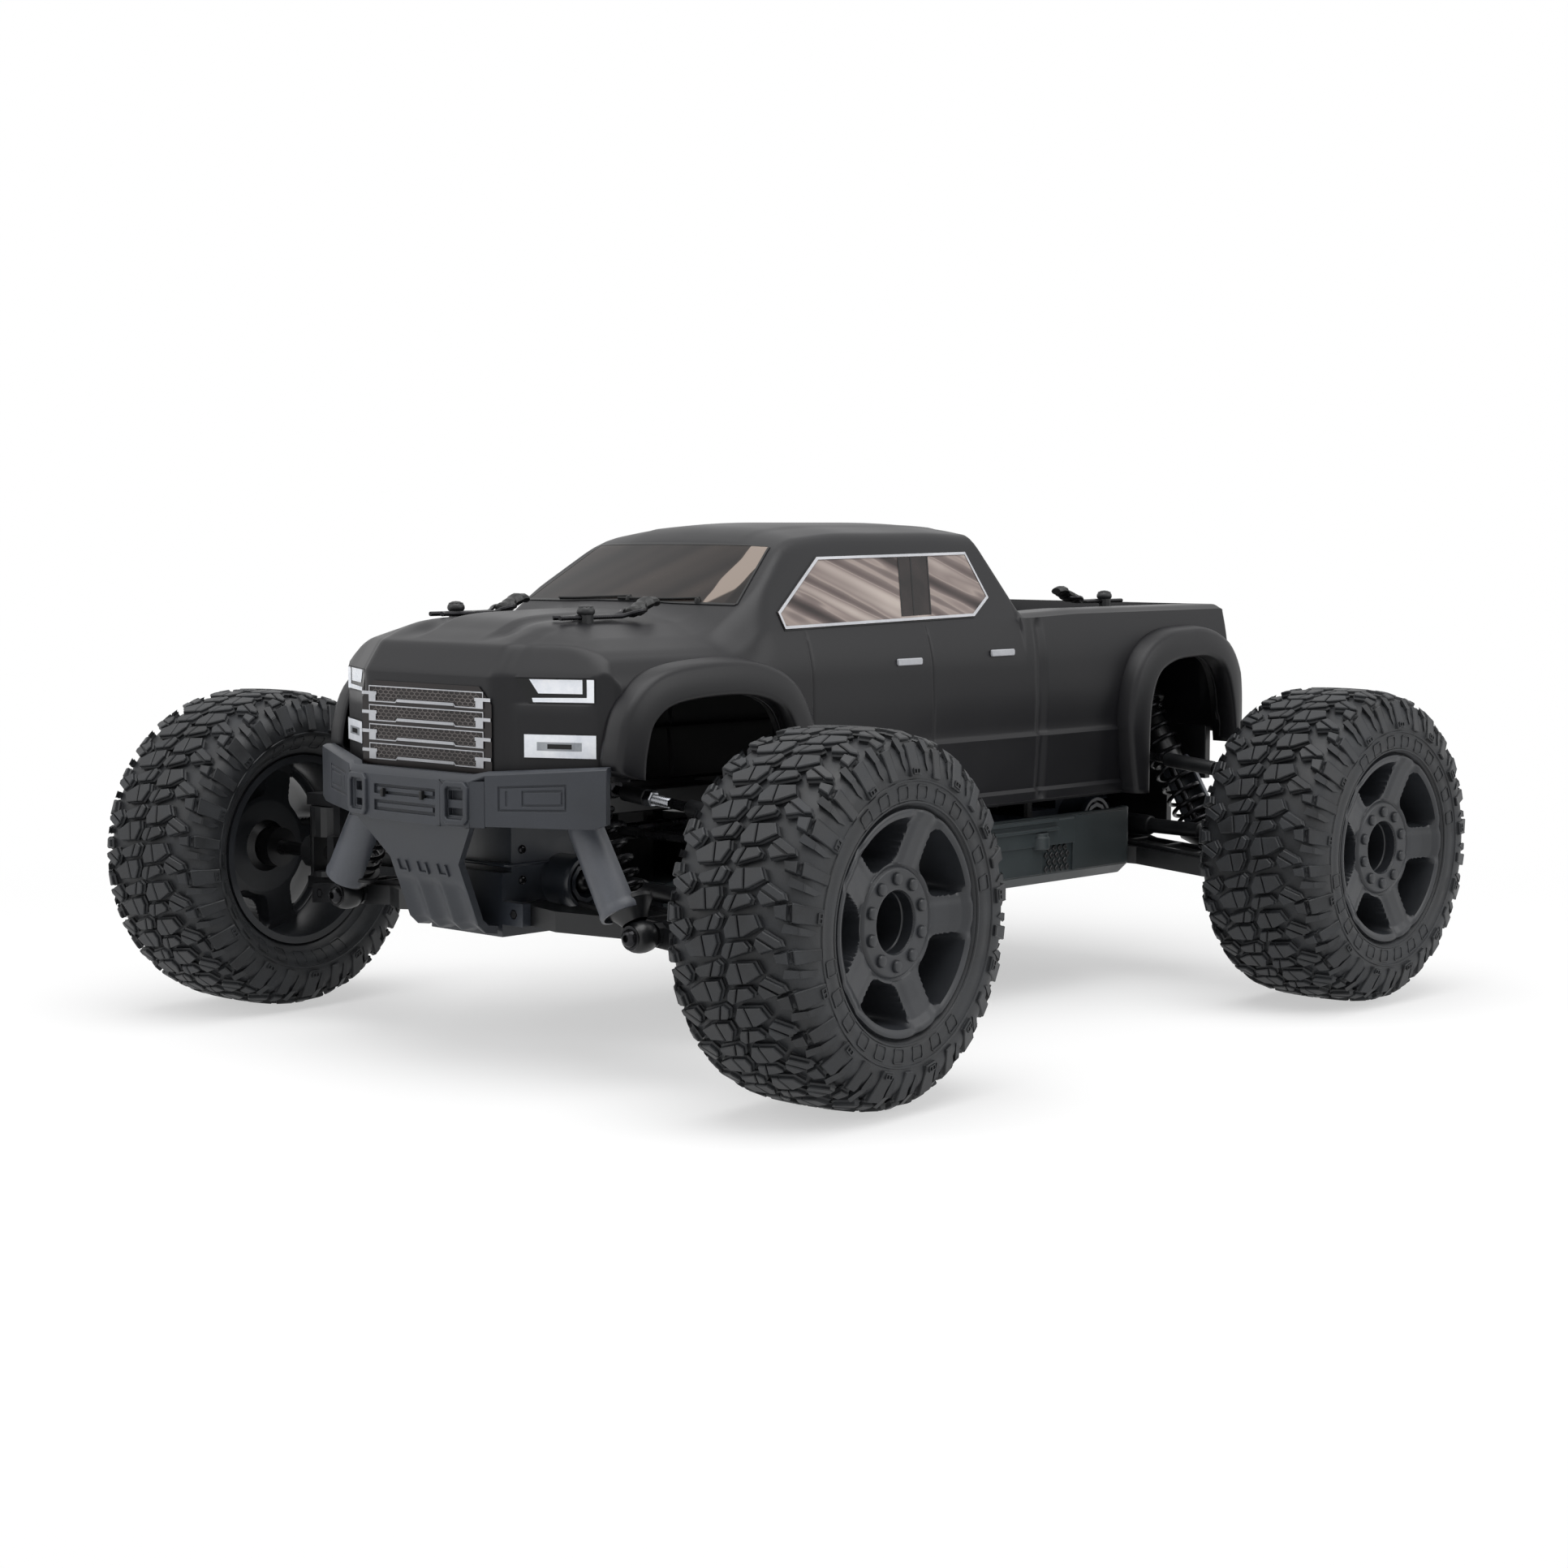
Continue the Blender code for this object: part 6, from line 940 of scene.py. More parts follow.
def bumperParts():  # stepped panels along each side of the plan, and a mitred lip along their tops
    size = bumperSizes
    plan = np.array(size["plan"])
    parts = [moved(panelPart(size["front"], -size["thick"]), frontAxes, (plan[0, 0], 0, 0))]
    for first, boxes in ((0, size["facet"]), (1, [(0, size["cornerRun"], size["lowZ"], size["faceZ"], 0)]),
                         (2, size["wing"])):
        points, faces, slot = panelPart(boxes, -size["thick"])
        if first == 2:  # the wing's two edges follow their own lines
            along, up, out = points.T
            low, top = (np.interp(along, *np.array(size[key]).T) for key in ("wingLow", "wingTop"))
            foot, head = size["wing"][0][2:4]
            points = np.column_stack([along, low + (up - foot) * (top - low) / (head - foot), out])
        run = unit(np.array([*(plan[first + 1] - plan[first]), 0.0]))
        axes = (run, (0, 0, 1), np.cross(run, (0, 0, 1)))
        side = moved((points, faces, slot), axes, (*plan[first], 0))
        parts += [side, flipped(side)]
        if first == 0:
            eye = framePart(boxOutline(*size["eye"]) + size["eyeAt"], *size["eyeFrame"])
            eye = moved(eye, axes, (*plan[first], 0))
            parts += [eye, flipped(eye)]
    line = np.vstack([plan[::-1] * (1, -1), plan])  # lip along the whole top
    run = unit(np.diff(line, axis=0))
    out = np.column_stack([run[:, 1], -run[:, 0]])
    before, after = np.vstack([out[:1], out]), np.vstack([out, out[-1:]])
    mitre = (before + after) / (1 + (before * after).sum(1, keepdims=True))
    faceTop, rise = (np.array(size[key][::-1] + size[key]) for key in ("lipFoot", "lipRise"))
    lipTop = faceTop + rise
    rows = [(0.0001, faceTop - 0.0004), (0.0001, faceTop), (0.0018, lipTop), (0.0052, lipTop),
            (0.0052, faceTop - 0.0030), (0.0030, faceTop - 0.0030)]
    lip = np.stack([np.column_stack([line - mitre * inset, z]) for inset, z in rows], 1)
    parts.append(closedEnds(sheetPart(lip, closeCols=True), len(rows)))
    return parts


def skidParts():  # a folded plate whose lower half has three wide flutes; its foot rolls under the gearbox
    size = bumperSizes
    down = np.array(size["skid"])
    stations = np.concatenate([np.linspace(0, 1, 10)[:-1], np.linspace(1, 2, 16)[:-1], np.linspace(2, 4, 9)])
    x, z, half = (np.interp(stations, np.arange(5), column) for column in down.T)
    share = np.linspace(-1, 1, 61)
    y = half[:, None] * share[None, :]
    slope = unit(np.gradient(np.column_stack([x, z]), axis=0))
    flute = (0.5 + 0.5 * np.cos(share * np.pi * 3.0 + 0.25)) ** 0.6 * 0.0017
    depth = flute[None, :] * ease(1.28, 1.45, stations)[:, None]
    sheets = [np.stack([x[:, None] + slope[:, 1:] * away, y, z[:, None] - slope[:, :1] * away], -1)
              for away in (depth, size["skidWall"] + 0 * depth)]
    return plateParts(*sheets)


def skidSlotParts():  # three square hooks pressed out just under the fold
    down = np.array(bumperSizes["skid"])
    run = unit(np.array([down[2, 0] - down[1, 0], 0, down[2, 1] - down[1, 1]]))
    axes = ((0, 1, 0), -run, np.cross((0, 1, 0), -run))
    parts = []
    for y in bumperSizes["slots"]:
        parts.append(moved(panelPart(bumperSizes["slot"], -0.0020), axes, (down[1, 0], y, down[1, 1])))
    return parts


makePiece("dressed_bumper", bumperParts(), bumperNylon, "chassis", ["front_bumper"], edge=0.00035)
makePiece("skid_plate", skidParts(), bumperNylon, "chassis", sharp=40)
makePiece("skid_hooks", skidSlotParts(), bumperNylon, "chassis", edge=0.0002)
hook = blockPart(boxOutline(*bumperSizes["hook"]), *bumperSizes["hookDepth"], 0.0003)
hooks = [moved(hook, frontAxes, (bumperSizes["plan"][0][0], y, z)) for y, z in bumperSizes["hooks"]]
makePiece("bumper_hooks", hooks, softRubber, "chassis")
print("bumper dressed")


# Shock absorbers: turned bodies and shafts along each shock's own line, half sleeves, coil springs, screwed eyes
shockSizes = {
    "foot": (0.0889, 0.0565), "springTop": 0.0248, "springFoot": 0.0880, "springRadius": 0.0081, "wire": 0.0010,
    "turns": 10.5, "barrel": 0.0068, "shaft": 0.0017, "headEye": (0.0048, 0.0046, 0.0030),
    # profiles as (radius, distance down from the upper eye)
    "cap": [(0.0, 0.0040), (0.0044, 0.0042), (0.0058, 0.0055), (0.0078, 0.0058), (0.0083, 0.0063), (0.0083, 0.0080),
            (0.0080, 0.0083), (0.0080, 0.0088), (0.0083, 0.0091), (0.0083, 0.0104), (0.0079, 0.0108), (0.0068, 0.0109)],
    "collar": [(0.0066, 0.0190), (0.0094, 0.0190), (0.0098, 0.0194), (0.0098, 0.0208), (0.0108, 0.0210),
               (0.0112, 0.0214), (0.0112, 0.0236), (0.0108, 0.0240), (0.0090, 0.0241), (0.0088, 0.0248),
               (0.0066, 0.0248)],
    "barrelEnd": [(0.0068, 0.0490), (0.0075, 0.0494), (0.0075, 0.0540), (0.0070, 0.0548), (0.0030, 0.0550),
                  (0.0, 0.0550)],
    "perch": [(0.0018, 0.0870), (0.0074, 0.0870), (0.0076, 0.0880), (0.0096, 0.0881), (0.0099, 0.0884),
              (0.0099, 0.0898), (0.0095, 0.0903), (0.0064, 0.0945), (0.0050, 0.0968)],
    "sleeve": (0.0540, 0.0930), "sleeveRadius": 0.0080, "sleeveWall": 0.0010, "sleeveAhead": 0.0040, "sleeveTurn": 4,
    "sleeveReach": 92, "sleeveWiden": 0.0006, "eye": 0.0062, "eyeHalf": 0.0050, "screw": 0.0036,
}


def eyeParts(out, radius, half, screw):  # a barrel across the shock with a washer and button screw on its outer side
    barrel = turnedPart([(0.0, -half), (radius * 0.72, -half), (radius * 0.80, -half + 0.0006),
                         (radius * 0.92, -half + 0.0014), (radius, -0.0012), (radius, 0.0012),
                         (radius * 0.92, half - 0.0014), (radius * 0.80, half - 0.0006), (radius * 0.72, half),
                         (0.0, half)], 32)
    axes = axesFor((out, 0, 0), (0, 0, 1))
    washer = turnedPart([(0.0, half), (screw * 1.3, half), (screw * 1.3, half + 0.0006), (0.0, half + 0.0006)], 28, 1)
    head = moved(screwPart(screw, 1), at=(0, 0, half + 0.0006))
    return [moved(part, axes) for part in (barrel, washer, head)]


def sleeveParts(inboard):
    # half tube turned a little inboard, widening to a rolled rim at its foot, closed round its edges
    size = shockSizes
    along = np.linspace(0, 1, 26)
    reach, turn = math.radians(size["sleeveReach"]), math.radians(size["sleeveTurn"])
    angle = np.linspace(-reach, reach, 30) + turn * inboard
    distance = size["sleeve"][0] + (size["sleeve"][1] - size["sleeve"][0]) * along
    belly = (size["sleeveRadius"] + size["sleeveWiden"] * along - 0.0006 * ease(0.06, 0.0, along)
             + 0.0004 * ease(0.945, 0.955, along) - 0.0003 * ease(0.985, 1.0, along))
    down = np.repeat(distance[:, None], len(angle), 1)
    sheets = []
    for radius in (belly, belly - size["sleeveWall"]):
        ahead = np.outer(radius, np.cos(angle)) + size["sleeveAhead"]
        sheets.append(np.stack([ahead, np.outer(radius, np.sin(angle)), down], -1))
    return plateParts(*sheets)


def springPart():  # a helix whose pitch closes up at both ends
    size = shockSizes
    turn = np.linspace(0, 1, int(size["turns"] * 22))
    rise = ease(0, 1, turn) * 0.35 + turn * 0.65
    angle = turn * size["turns"] * 2 * np.pi
    low, high = size["springTop"] + size["wire"], size["springFoot"] - size["wire"]
    path = np.stack([size["springRadius"] * np.cos(angle), size["springRadius"] * np.sin(angle),
                     low + (high - low) * rise], -1)
    return tubePart(path, size["wire"], 8, up=(0, 0, 1))


for label, end, side in corners:
    size = shockSizes
    head = np.array(joints["shock_swing_" + label]["pos_m"])
    foot = np.array([head[0], side * size["foot"][0], size["foot"][1]])
    down = unit(foot - head)
    axes = axesFor(down, (end, 0, 0))
    place = lambda part: moved(part, axes, head)
    threads = 0.0110 + 0.0005 * np.arange(16)
    radius = size["barrel"]
    barrel = [(radius - 0.0003 * (number % 2), z) for number, z in enumerate(threads)]
    barrel += [(radius, 0.0192), (radius, 0.0490)]
    body = [place(turnedPart(profile, 36)) for profile in (size["cap"] + barrel + size["barrelEnd"], size["collar"])]
    body += [moved(part, at=head) for part in eyeParts(end, *size["headEye"])]
    upper, lower = "shock_body_" + label, "shock_shaft_" + label
    makePiece("dressed_" + upper, body, [blackAnodise, blackOxide], upper, [upper])
    rod = [(0.0, 0.0460), (size["shaft"], 0.0462), (size["shaft"], 0.0880)]
    shaft = [place(turnedPart(rod, 20, 1)), place(turnedPart(size["perch"], 36))]
    shaft += [moved(part, at=foot) for part in eyeParts(end, size["eye"], size["eyeHalf"], size["screw"])]
    makePiece("dressed_" + lower, shaft, [blackNylon, blackOxide], lower, [lower])
    sleeve = [place(part) for part in sleeveParts(end * side)]
    # the sleeve's nylon carries a painted sheen in its lightened base colour
    makePiece("shock_sleeve_" + label, sleeve, sleeveSheenNylon, lower, sharp=45)
    ends = [tuple(head + down * size[key]) for key in ("springTop", "springFoot")]
    makePiece("dressed_spring_" + label, [place(springPart())], blackOxide, (upper, lower, *ends), ["spring_" + label])
print("shock absorbers dressed")


# Body clips: bent wire through each post with a soft pull tab; rounded caps on the posts
clipSizes = {
    "wire": 0.00096, "height": 0.17424, "tip": 0.0135, "ringAt": 0.0252, "ring": 0.0048, "ringLift": 0.0022,
    "post": (0.0015, 0.039),
    # pull tab: width, half thickness, length, overlap with the ring, and how far its end is turned up to clear the cowl
    "tab": 0.0098, "tabThick": 0.0028, "tabLength": 0.0143, "tabIn": 0.0070, "tabRise": 0.0037, "tabSides": 10,
    "cap": [(0.0, 0.1792), (0.0016, 0.1790), (0.0028, 0.1784), (0.0035, 0.1772), (0.0036, 0.1762), (0.0032, 0.1754),
            (0.0028, 0.1752)],
}


def clipPath(out):  # straight leg through the post, round the ring, and back beside the post with a kink
    size = clipSizes
    turn = np.linspace(-0.80, 0.80, 26) * np.pi
    loop = np.column_stack([-size["ringAt"] - size["ring"] * np.cos(turn), size["ring"] * np.sin(turn)])
    back = smoothCurve([loop[-1], (-0.0150, 0.0034), (-0.0080, 0.0030), (-0.0040, 0.0046), (0.0, 0.0052),
                        (0.0040, 0.0042), (0.0085, 0.0040), (0.0120, 0.0056)], 40)[1:]
    flat = np.vstack([[(size["tip"], 0.0), (0.0, 0.0), (-0.0120, 0.0), (-0.0180, -0.0010)], loop, back])
    lift = size["ringLift"] * ease(-0.0170, -0.0260, flat[:, 0])
    return np.column_stack([flat[:, 0] * out, flat[:, 1], lift])


for label, end, side in corners:
    size = clipSizes
    post = np.array([end * (axleX + size["post"][0]), side * size["post"][1], 0.0])
    at = post + (0, 0, size["height"])
    wire = moved(tubePart(clipPath(end), size["wire"], 8, up=(0, 0, 1)), np.diag([1, -side, 1]), at)
    ringAt = -end * (size["ringAt"] + size["ring"])
    sweep = np.linspace(0, 1, 16)
    tabX = ringAt + end * size["tabIn"] - end * size["tabLength"] * sweep
    tabZ = 0.0014 + 0.0012 * np.sin(sweep * np.pi) + size["tabRise"] * ease(0.25, 0.90, sweep)
    tabPath = np.column_stack([tabX, 0.0008 * np.sin(sweep * 9), tabZ])
    swell = 0.55 + 0.35 * np.sin(np.pi * np.clip(sweep * 1.1, 0, 1)) ** 0.5 + 0.10 * np.sin(sweep * 22)
    oval = ring(1.0, size["tabSides"]) * (size["tab"] / 2, size["tabThick"])
    around = swell[:, None, None] * np.column_stack([0 * oval[:, 0], oval])[None]
    tab = closedEnds(sheetPart(tabPath[:, None] + around, 1, closeCols=True), size["tabSides"])
    makePiece("dressed_clip_" + label, [wire, moved(tab, at=at)], [blackOxide, softRubber], "body_clip_" + label,
              ["body_clip_" + label])
    makePiece("post_cap_" + label, [moved(turnedPart(size["cap"], 28), at=post)], blackNylon, "chassis")
print("clips dressed")


# Chassis tub: an outline raised with a skirt that tucks under, stepped side mouldings, a vent and a boss,
# with braces over the drive line, the gearbox cases and the rear guard
tubSizes = {
    # left half of the plan from front to back as (x, half width, wall top)
    "plan": [(0.1332, 0.0480, 0.0680), (0.1050, 0.0740, 0.0810), (-0.1372, 0.0740, 0.0810), (-0.1414, 0.0722, 0.0810),
             (-0.1432, 0.0680, 0.0810), (-0.1432, 0.0580, 0.0770), (-0.1332, 0.0480, 0.0680)],
    "floor": 0.0505, "floorTop": 0.0535, "skirt": 0.0548, "tuck": 0.0040, "wall": 0.0025, "rimEase": 0.0005,
    # side mouldings as (distance behind the middle from, to, low, high, proud of the wall)
    "mouldings": [(-0.1030, 0.1365, 0.0556, 0.0800, 0.0004), (-0.0980, 0.0980, 0.0682, 0.0803, 0.0024),
                  (-0.0940, 0.0830, 0.0748, 0.0762, 0.0038), (-0.0940, 0.0830, 0.0786, 0.0800, 0.0038),
                  (-0.0960, 0.0740, 0.0556, 0.0682, 0.0012), (0.0960, 0.1365, 0.0556, 0.0800, 0.0013)],
    "vent": (0.0850, 0.0619), "ventCell": (0.0038, 0.0030), "ventDiamond": 0.0016, "boss": (-0.0720, 0.0750),
    "bossRadius": 0.0048,
    # braces as (low x, high x, leg low x, leg high x)
    "braces": [(0.0800, 0.1500, 0.0800, 0.0856), (-0.1500, -0.1190, -0.1246, -0.1190)], "braceZ": (0.0952, 0.1040),
    "braceHalf": 0.0300, "legIn": 0.0120,
    # ribs on the decks: distance from the middle, half width, height, distance from the deck's ends
    "deckRib": (0.016, 0.0014, 0.0026, 0.004),
    # rear guard as (low, high across, low, high up, proud) boxes on its back face, and the foot that joins it to the
    # gearbox
    "guard": [(-0.0740, 0.0740, 0.0900, 0.1150, 0), (-0.0520, 0.0520, 0.0640, 0.0900, 0),
              (-0.0300, 0.0300, 0.0560, 0.0640, 0), (-0.0680, -0.0450, 0.0950, 0.1080, -0.0010),
              (0.0450, 0.0680, 0.0950, 0.1080, -0.0010), (-0.0380, 0.0380, 0.0950, 0.1070, -0.0010),
              (-0.0340, 0.0340, 0.0975, 0.0990, -0.0002), (-0.0340, 0.0340, 0.1030, 0.1045, -0.0002)],
    "guardX": -0.2035, "guardWall": 0.0040, "guardFoot": (-0.2000, -0.1935, -0.0180, 0.0180, 0.0580, 0.0720),
    # gearbox cases: flange (length towards the middle, length towards the end, half width, low, high), output cup as
    # (radius, distance from the middle), cover screws
    "flange": (0.0040, 0.0290, 0.0224, 0.0776, 0.0790),
    "cup": [(0.0080, 0.0210), (0.0104, 0.0210), (0.0104, 0.0340), (0.0108, 0.0344), (0.0108, 0.0366), (0.0104, 0.0372),
            (0.0090, 0.0372), (0.0086, 0.0366), (0.0086, 0.0350), (0.0080, 0.0350)],
    "cupZ": 0.0705, "caseHalf": 0.0215, "caseScrew": 0.0018, "caseScrews": [(0.0200, 0.0840), (0.0200, 0.0720)],
    "floorScrew": 0.0028, "screws": [(0.120, 0.030), (0.060, 0.050), (0.0, 0.060), (-0.060, 0.050), (-0.120, 0.040)],
}


def tubPart():  # loops of the outline: tucked floor, skirt, rim and the hollow inside
    size = tubSizes
    left = np.array(size["plan"])
    loop = np.vstack([left, left[::-1] * (1, -1, 1)])
    outline, top = loop[:, :2], loop[:, 2]
    wall, soft = size["wall"], size["rimEase"]
    rows = [(size["tuck"], size["floor"]), (0.0, size["skirt"]), (0.0, top - soft), (soft, top), (wall - soft, top),
            (wall, top - soft), (wall, size["floorTop"])]
    return closedEnds(sheetPart(insetLoops(outline, rows), closeCols=True), len(loop))


def tubSideParts():  # boxes stepped out of the wall, a boss, and a vent of small diamonds
    size = tubSizes
    wallY = size["plan"][1][1]
    parts = [moved(panelPart(size["mouldings"], -0.0006), leftAxes, (0, wallY, 0))]
    radius, (bossX, bossY) = size["bossRadius"], size["boss"]
    boss = turnedPart([(0.0, 0.0670), (radius - 0.0004, 0.0670), (radius, 0.0674), (radius, 0.0722),
                       (radius - 0.0006, 0.0726), (radius - 0.0006, 0.0742), (0.0, 0.0742)], 28)
    parts.append(moved(boss, at=(bossX, bossY, 0)))
    wide, tall = size["ventCell"]
    for line in range(4):
        for column in range(-2, 3 - line % 2):
            place = (-size["vent"][0] + (column + 0.5 * (line % 2)) * wide, wallY,
                     size["vent"][1] + (line - 1.5) * tall)
            parts.append(moved(blockPart(ring(size["ventDiamond"], 4), 0.0002, 0.0014, 0.0003, 1), leftAxes, place))
    return bothSides(parts)


def slabPart(x0, x1, y0, y1, z0, z1):  # upright block between two corners, its edges eased
    return moved(blockPart(boxOutline((x1 - x0) / 2, (y1 - y0) / 2, 0.0012), z0, z1, 0.0005),
                 at=((x0 + x1) / 2, (y0 + y1) / 2, 0))


def braceParts():  # a deck with two ribs, on two legs that straddle the drive shaft
    size, parts = tubSizes, []
    low, high = size["braceZ"]
    ribY, ribHalf, ribHigh, ribIn = size["deckRib"]
    for x0, x1, leg0, leg1 in size["braces"]:
        parts.append(slabPart(x0, x1, -size["braceHalf"], size["braceHalf"], low, high))
        for side in (1, -1):
            inner, outer = sorted((side * size["legIn"], side * size["braceHalf"]))
            parts.append(slabPart(leg0, leg1, inner, outer, size["floorTop"] - 0.0003, low + 0.001))
            ribs = side * ribY - ribHalf, side * ribY + ribHalf
            parts.append(slabPart(x0 + ribIn, x1 - ribIn, *ribs, high - 0.0005, high + ribHigh))
    return parts


def guardParts():  # stepped plate under the tail, on a foot from the rear gearbox
    size = tubSizes
    plate = moved(panelPart(size["guard"], -size["guardWall"]), backAxes, (size["guardX"], 0, 0))
    return [plate, slabPart(*size["guardFoot"])]


def caseParts():  # a flange round each gearbox case, screws above and below it, and a cup round each output
    size, parts = tubSizes, []
    inner, outer, halfY, low, high = size["flange"]
    for end in (1, -1):
        parts.append(slabPart(*sorted((end * (axleX - inner), end * (axleX + outer))), -halfY, halfY, low, high))
        for side in (1, -1):
            axes = axesFor((0, side, 0), (1, 0, 0))
            parts.append(moved(turnedPart(size["cup"] + size["cup"][:1], 40), axes, (end * axleX, 0, size["cupZ"])))
            parts += [moved(screwPart(size["caseScrew"], 1), axes, (end * (axleX + x), side * size["caseHalf"], z))
                      for x, z in size["caseScrews"]]
    return parts


makePiece("dressed_tub", [tubPart()], chassisNylon, "chassis", ["chassis_tub"])
makePiece("tub_sides", tubSideParts(), [chassisNylon, blackNylon], "chassis", edge=0.0003)
makePiece("deck_braces", braceParts(), blackNylon, "chassis")
makePiece("gearbox_cases", caseParts(), [caseNylon, blackOxide], "chassis")
makePiece("rear_guard", guardParts(), blackNylon, "chassis", edge=0.0003)
screw, downAxes = screwPart(tubSizes["floorScrew"]), axesFor((0, 0, -1), (1, 0, 0))
floorScrews = [moved(screw, downAxes, (x, side * y, tubSizes["floor"]))
               for x, y in tubSizes["screws"] for side in (1, -1)]
makePiece("floor_screws", floorScrews, blackOxide, "chassis")
print("chassis tub dressed")


# Drive shafts, arm ribs and turnbuckles at each corner
cornerSizes = {
    # halfshaft as (radius, distance outboard of its inner joint)
    "halfshaft": [(0.0, -0.0039), (0.0026, -0.0029), (0.0038, -0.0009), (0.0039, 0.0003), (0.0036, 0.0016),
                  (0.0028, 0.0028), (0.0020, 0.0034), (0.0020, 0.0104), (0.0030, 0.0108), (0.0044, 0.0116),
                  (0.0048, 0.0128), (0.0048, 0.0330), (0.0044, 0.0352), (0.0036, 0.0356), (0.0034, 0.0380),
                  (0.0034, 0.0630), (0.0020, 0.0645), (0.0020, 0.0757), (0.0028, 0.0763), (0.0036, 0.0775),
                  (0.0039, 0.0788), (0.0038, 0.0800), (0.0026, 0.0820), (0.0, 0.0830)],
    "pins": ((0.028, 0.0600), (0.1178, 0.0535)), "rib": (0.0095, 0.0430, 0.1060), "ribSize": (0.0011, 0.0018),
    "armHalf": 0.0040,
    "linkEnds": ((0.040, 0.1068), (0.1188, 0.0990)), "nut": 0.0033, "nutHalf": 0.0022, "thread": 0.0021,
    "threadLength": 0.0120,
    # shares of the link: the nut, and the two socket sleeves from and to
    "nutAt": 0.29, "sockets": ((0.10, 0.27), (0.56, 0.90)), "crossRibs": (0.060, 0.080, 0.100),
}


def turnbuckleParts(start, end):  # six-sided nut, a bright threaded length beside it, and two socket sleeves
    size = cornerSizes
    start, end = np.asarray(start, float), np.asarray(end, float)
    length = np.linalg.norm(end - start)
    middle, radius, half = length * size["nutAt"], size["thread"], size["nutHalf"]
    thread = [(radius - 0.0003 * (k % 2), middle + 0.0012 + 0.0004 * k) for k in range(26)]
    sleeve = lambda low, high: [(0.0, low), (0.0028, low), (0.0033, low + 0.0006), (0.0033, high - 0.0006),
                                (0.0028, high), (0.0, high)]
    parts = [blockPart(ring(size["nut"], 6), middle - half, middle + half, 0.0004, 1),
             turnedPart([(0.0, middle), *thread, (0.0, middle + size["threadLength"])], 20, 1)]
    parts += [turnedPart(sleeve(length * low, length * high), 20, 0) for low, high in size["sockets"]]
    axes = axesFor(end - start, (1, 0, 0))
    return [moved(part, axes, start) for part in parts]


def armRibParts(x, side, way):  # two long ribs with three cross ribs, laid on the sloping top of the arm
    size = cornerSizes
    (innerV, innerZ), (outerV, outerZ) = size["pins"]
    across, low, high = size["rib"]
    halfWide, tall = size["ribSize"]
    height = lambda v: innerZ + (outerZ - innerZ) * (v - innerV) / (outerV - innerV) + size["armHalf"]
    profile = np.array([(-halfWide, -0.0010), (halfWide, -0.0010), (halfWide, tall - 0.0004), (halfWide - 0.0004, tall),
                        (0.0004 - halfWide, tall), (-halfWide, tall - 0.0004)])
    lines = [((u, low), (u, high)) for u in (across, -across)]
    lines += [((-across, v), (across, v)) for v in size["crossRibs"]]
    parts = []
    for (u0, v0), (u1, v1) in lines:
        u, v = np.linspace(u0, u1, 6), np.linspace(v0, v1, 6)
        parts.append(sweptPart(np.column_stack([x + way * u, side * v, height(v)]), profile, (0, 0, 1)))
    return parts


for label, end, side in corners:
    size = cornerSizes
    spin = joints["halfshaft_spin_" + label]
    outboard = np.array(spin["axis"]) * (1 if spin["axis"][1] * side > 0 else -1)
    shaft = moved(turnedPart(size["halfshaft"], 28), axesFor(outboard, (1, 0, 0)), spin["pos_m"])
    makePiece("dressed_halfshaft_" + label, [shaft], blackNylon, "halfshaft_" + label, ["halfshaft_" + label])
    makePiece("arm_ribs_" + label, armRibParts(end * axleX, side, end), blackNylon, "arm_" + label)
    linkX = joints["camber_swing_" + label]["pos_m"][0]
    ends = [(linkX, side * v, z) for v, z in size["linkEnds"]]
    makePiece("turnbuckle_" + label, turnbuckleParts(*ends), [blackNylon, brightSteel], "camber_link_" + label)
print("shafts, arms and links dressed")


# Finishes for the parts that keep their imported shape
finishes = {
    "front_gearbox": caseNylon, "rear_gearbox": caseNylon, "front_shock_tower": blackNylon,
    "rear_shock_tower": blackNylon,
    "lower_arm": blackNylon, "caster_block": blackNylon, "rear_hub": blackNylon, "steering_knuckle": blackNylon,
    "camber_link": blackOxide,
    "tie_rod": blackOxide, "drag_link": blackOxide, "servo_saver": blackNylon, "servo": servoCase, "motor": motorCan,
    "pinion_gear": brightSteel, "spur_gear": gearNylon,
    "centre_driveshaft": brightSteel, "battery": batteryWrap, "speed_controller": servoCase,
}
for name, node in nodes.items():
    chosen = [finish for start, finish in finishes.items() if name.startswith(start)]
    if chosen:
        node.data.materials.clear()
        node.data.materials.append(chosen[-1])
print("finishes laid on the packed parts")


# Plain surroundings: pale floor, soft studio light and the camera of the photograph
stageSizes = {
    "floor": 3.0, "floorZ": -0.0004, "camera": (0.90236, 0.8451, 0.20985), "yaw": 43.54, "pitch": 5.265, "lens": 64.49,
    "fill": 0.42,
    # lamps as (place, aim, width, height, watts)
    "lamps": [((0.25, 0.25, 1.55), (0.0, 0.0, 0.05), 1.5, 1.5, 22.0), ((1.15, -0.55, 0.85), (0.1, 0.0, 0.08), 0.7, 0.9,
            4.0),
              ((-0.55, 1.25, 0.75), (-0.05, 0.05, 0.08), 0.9, 0.7, 5.0)],
}


def seenDirectly(tree):  # 1 for camera, mirror and see-through rays, 0 for the light that falls on the truck
    path = addNode(tree, "ShaderNodeLightPath").outputs
    first = addNode(tree, "ShaderNodeMath", None, {0: path["Is Camera Ray"], 1: path["Is Glossy Ray"]},
                    operation="MAXIMUM")
    return addNode(tree, "ShaderNodeMath", None, {0: first.outputs[0], 1: path["Is Transmission Ray"]},
                   operation="MAXIMUM").outputs[0]


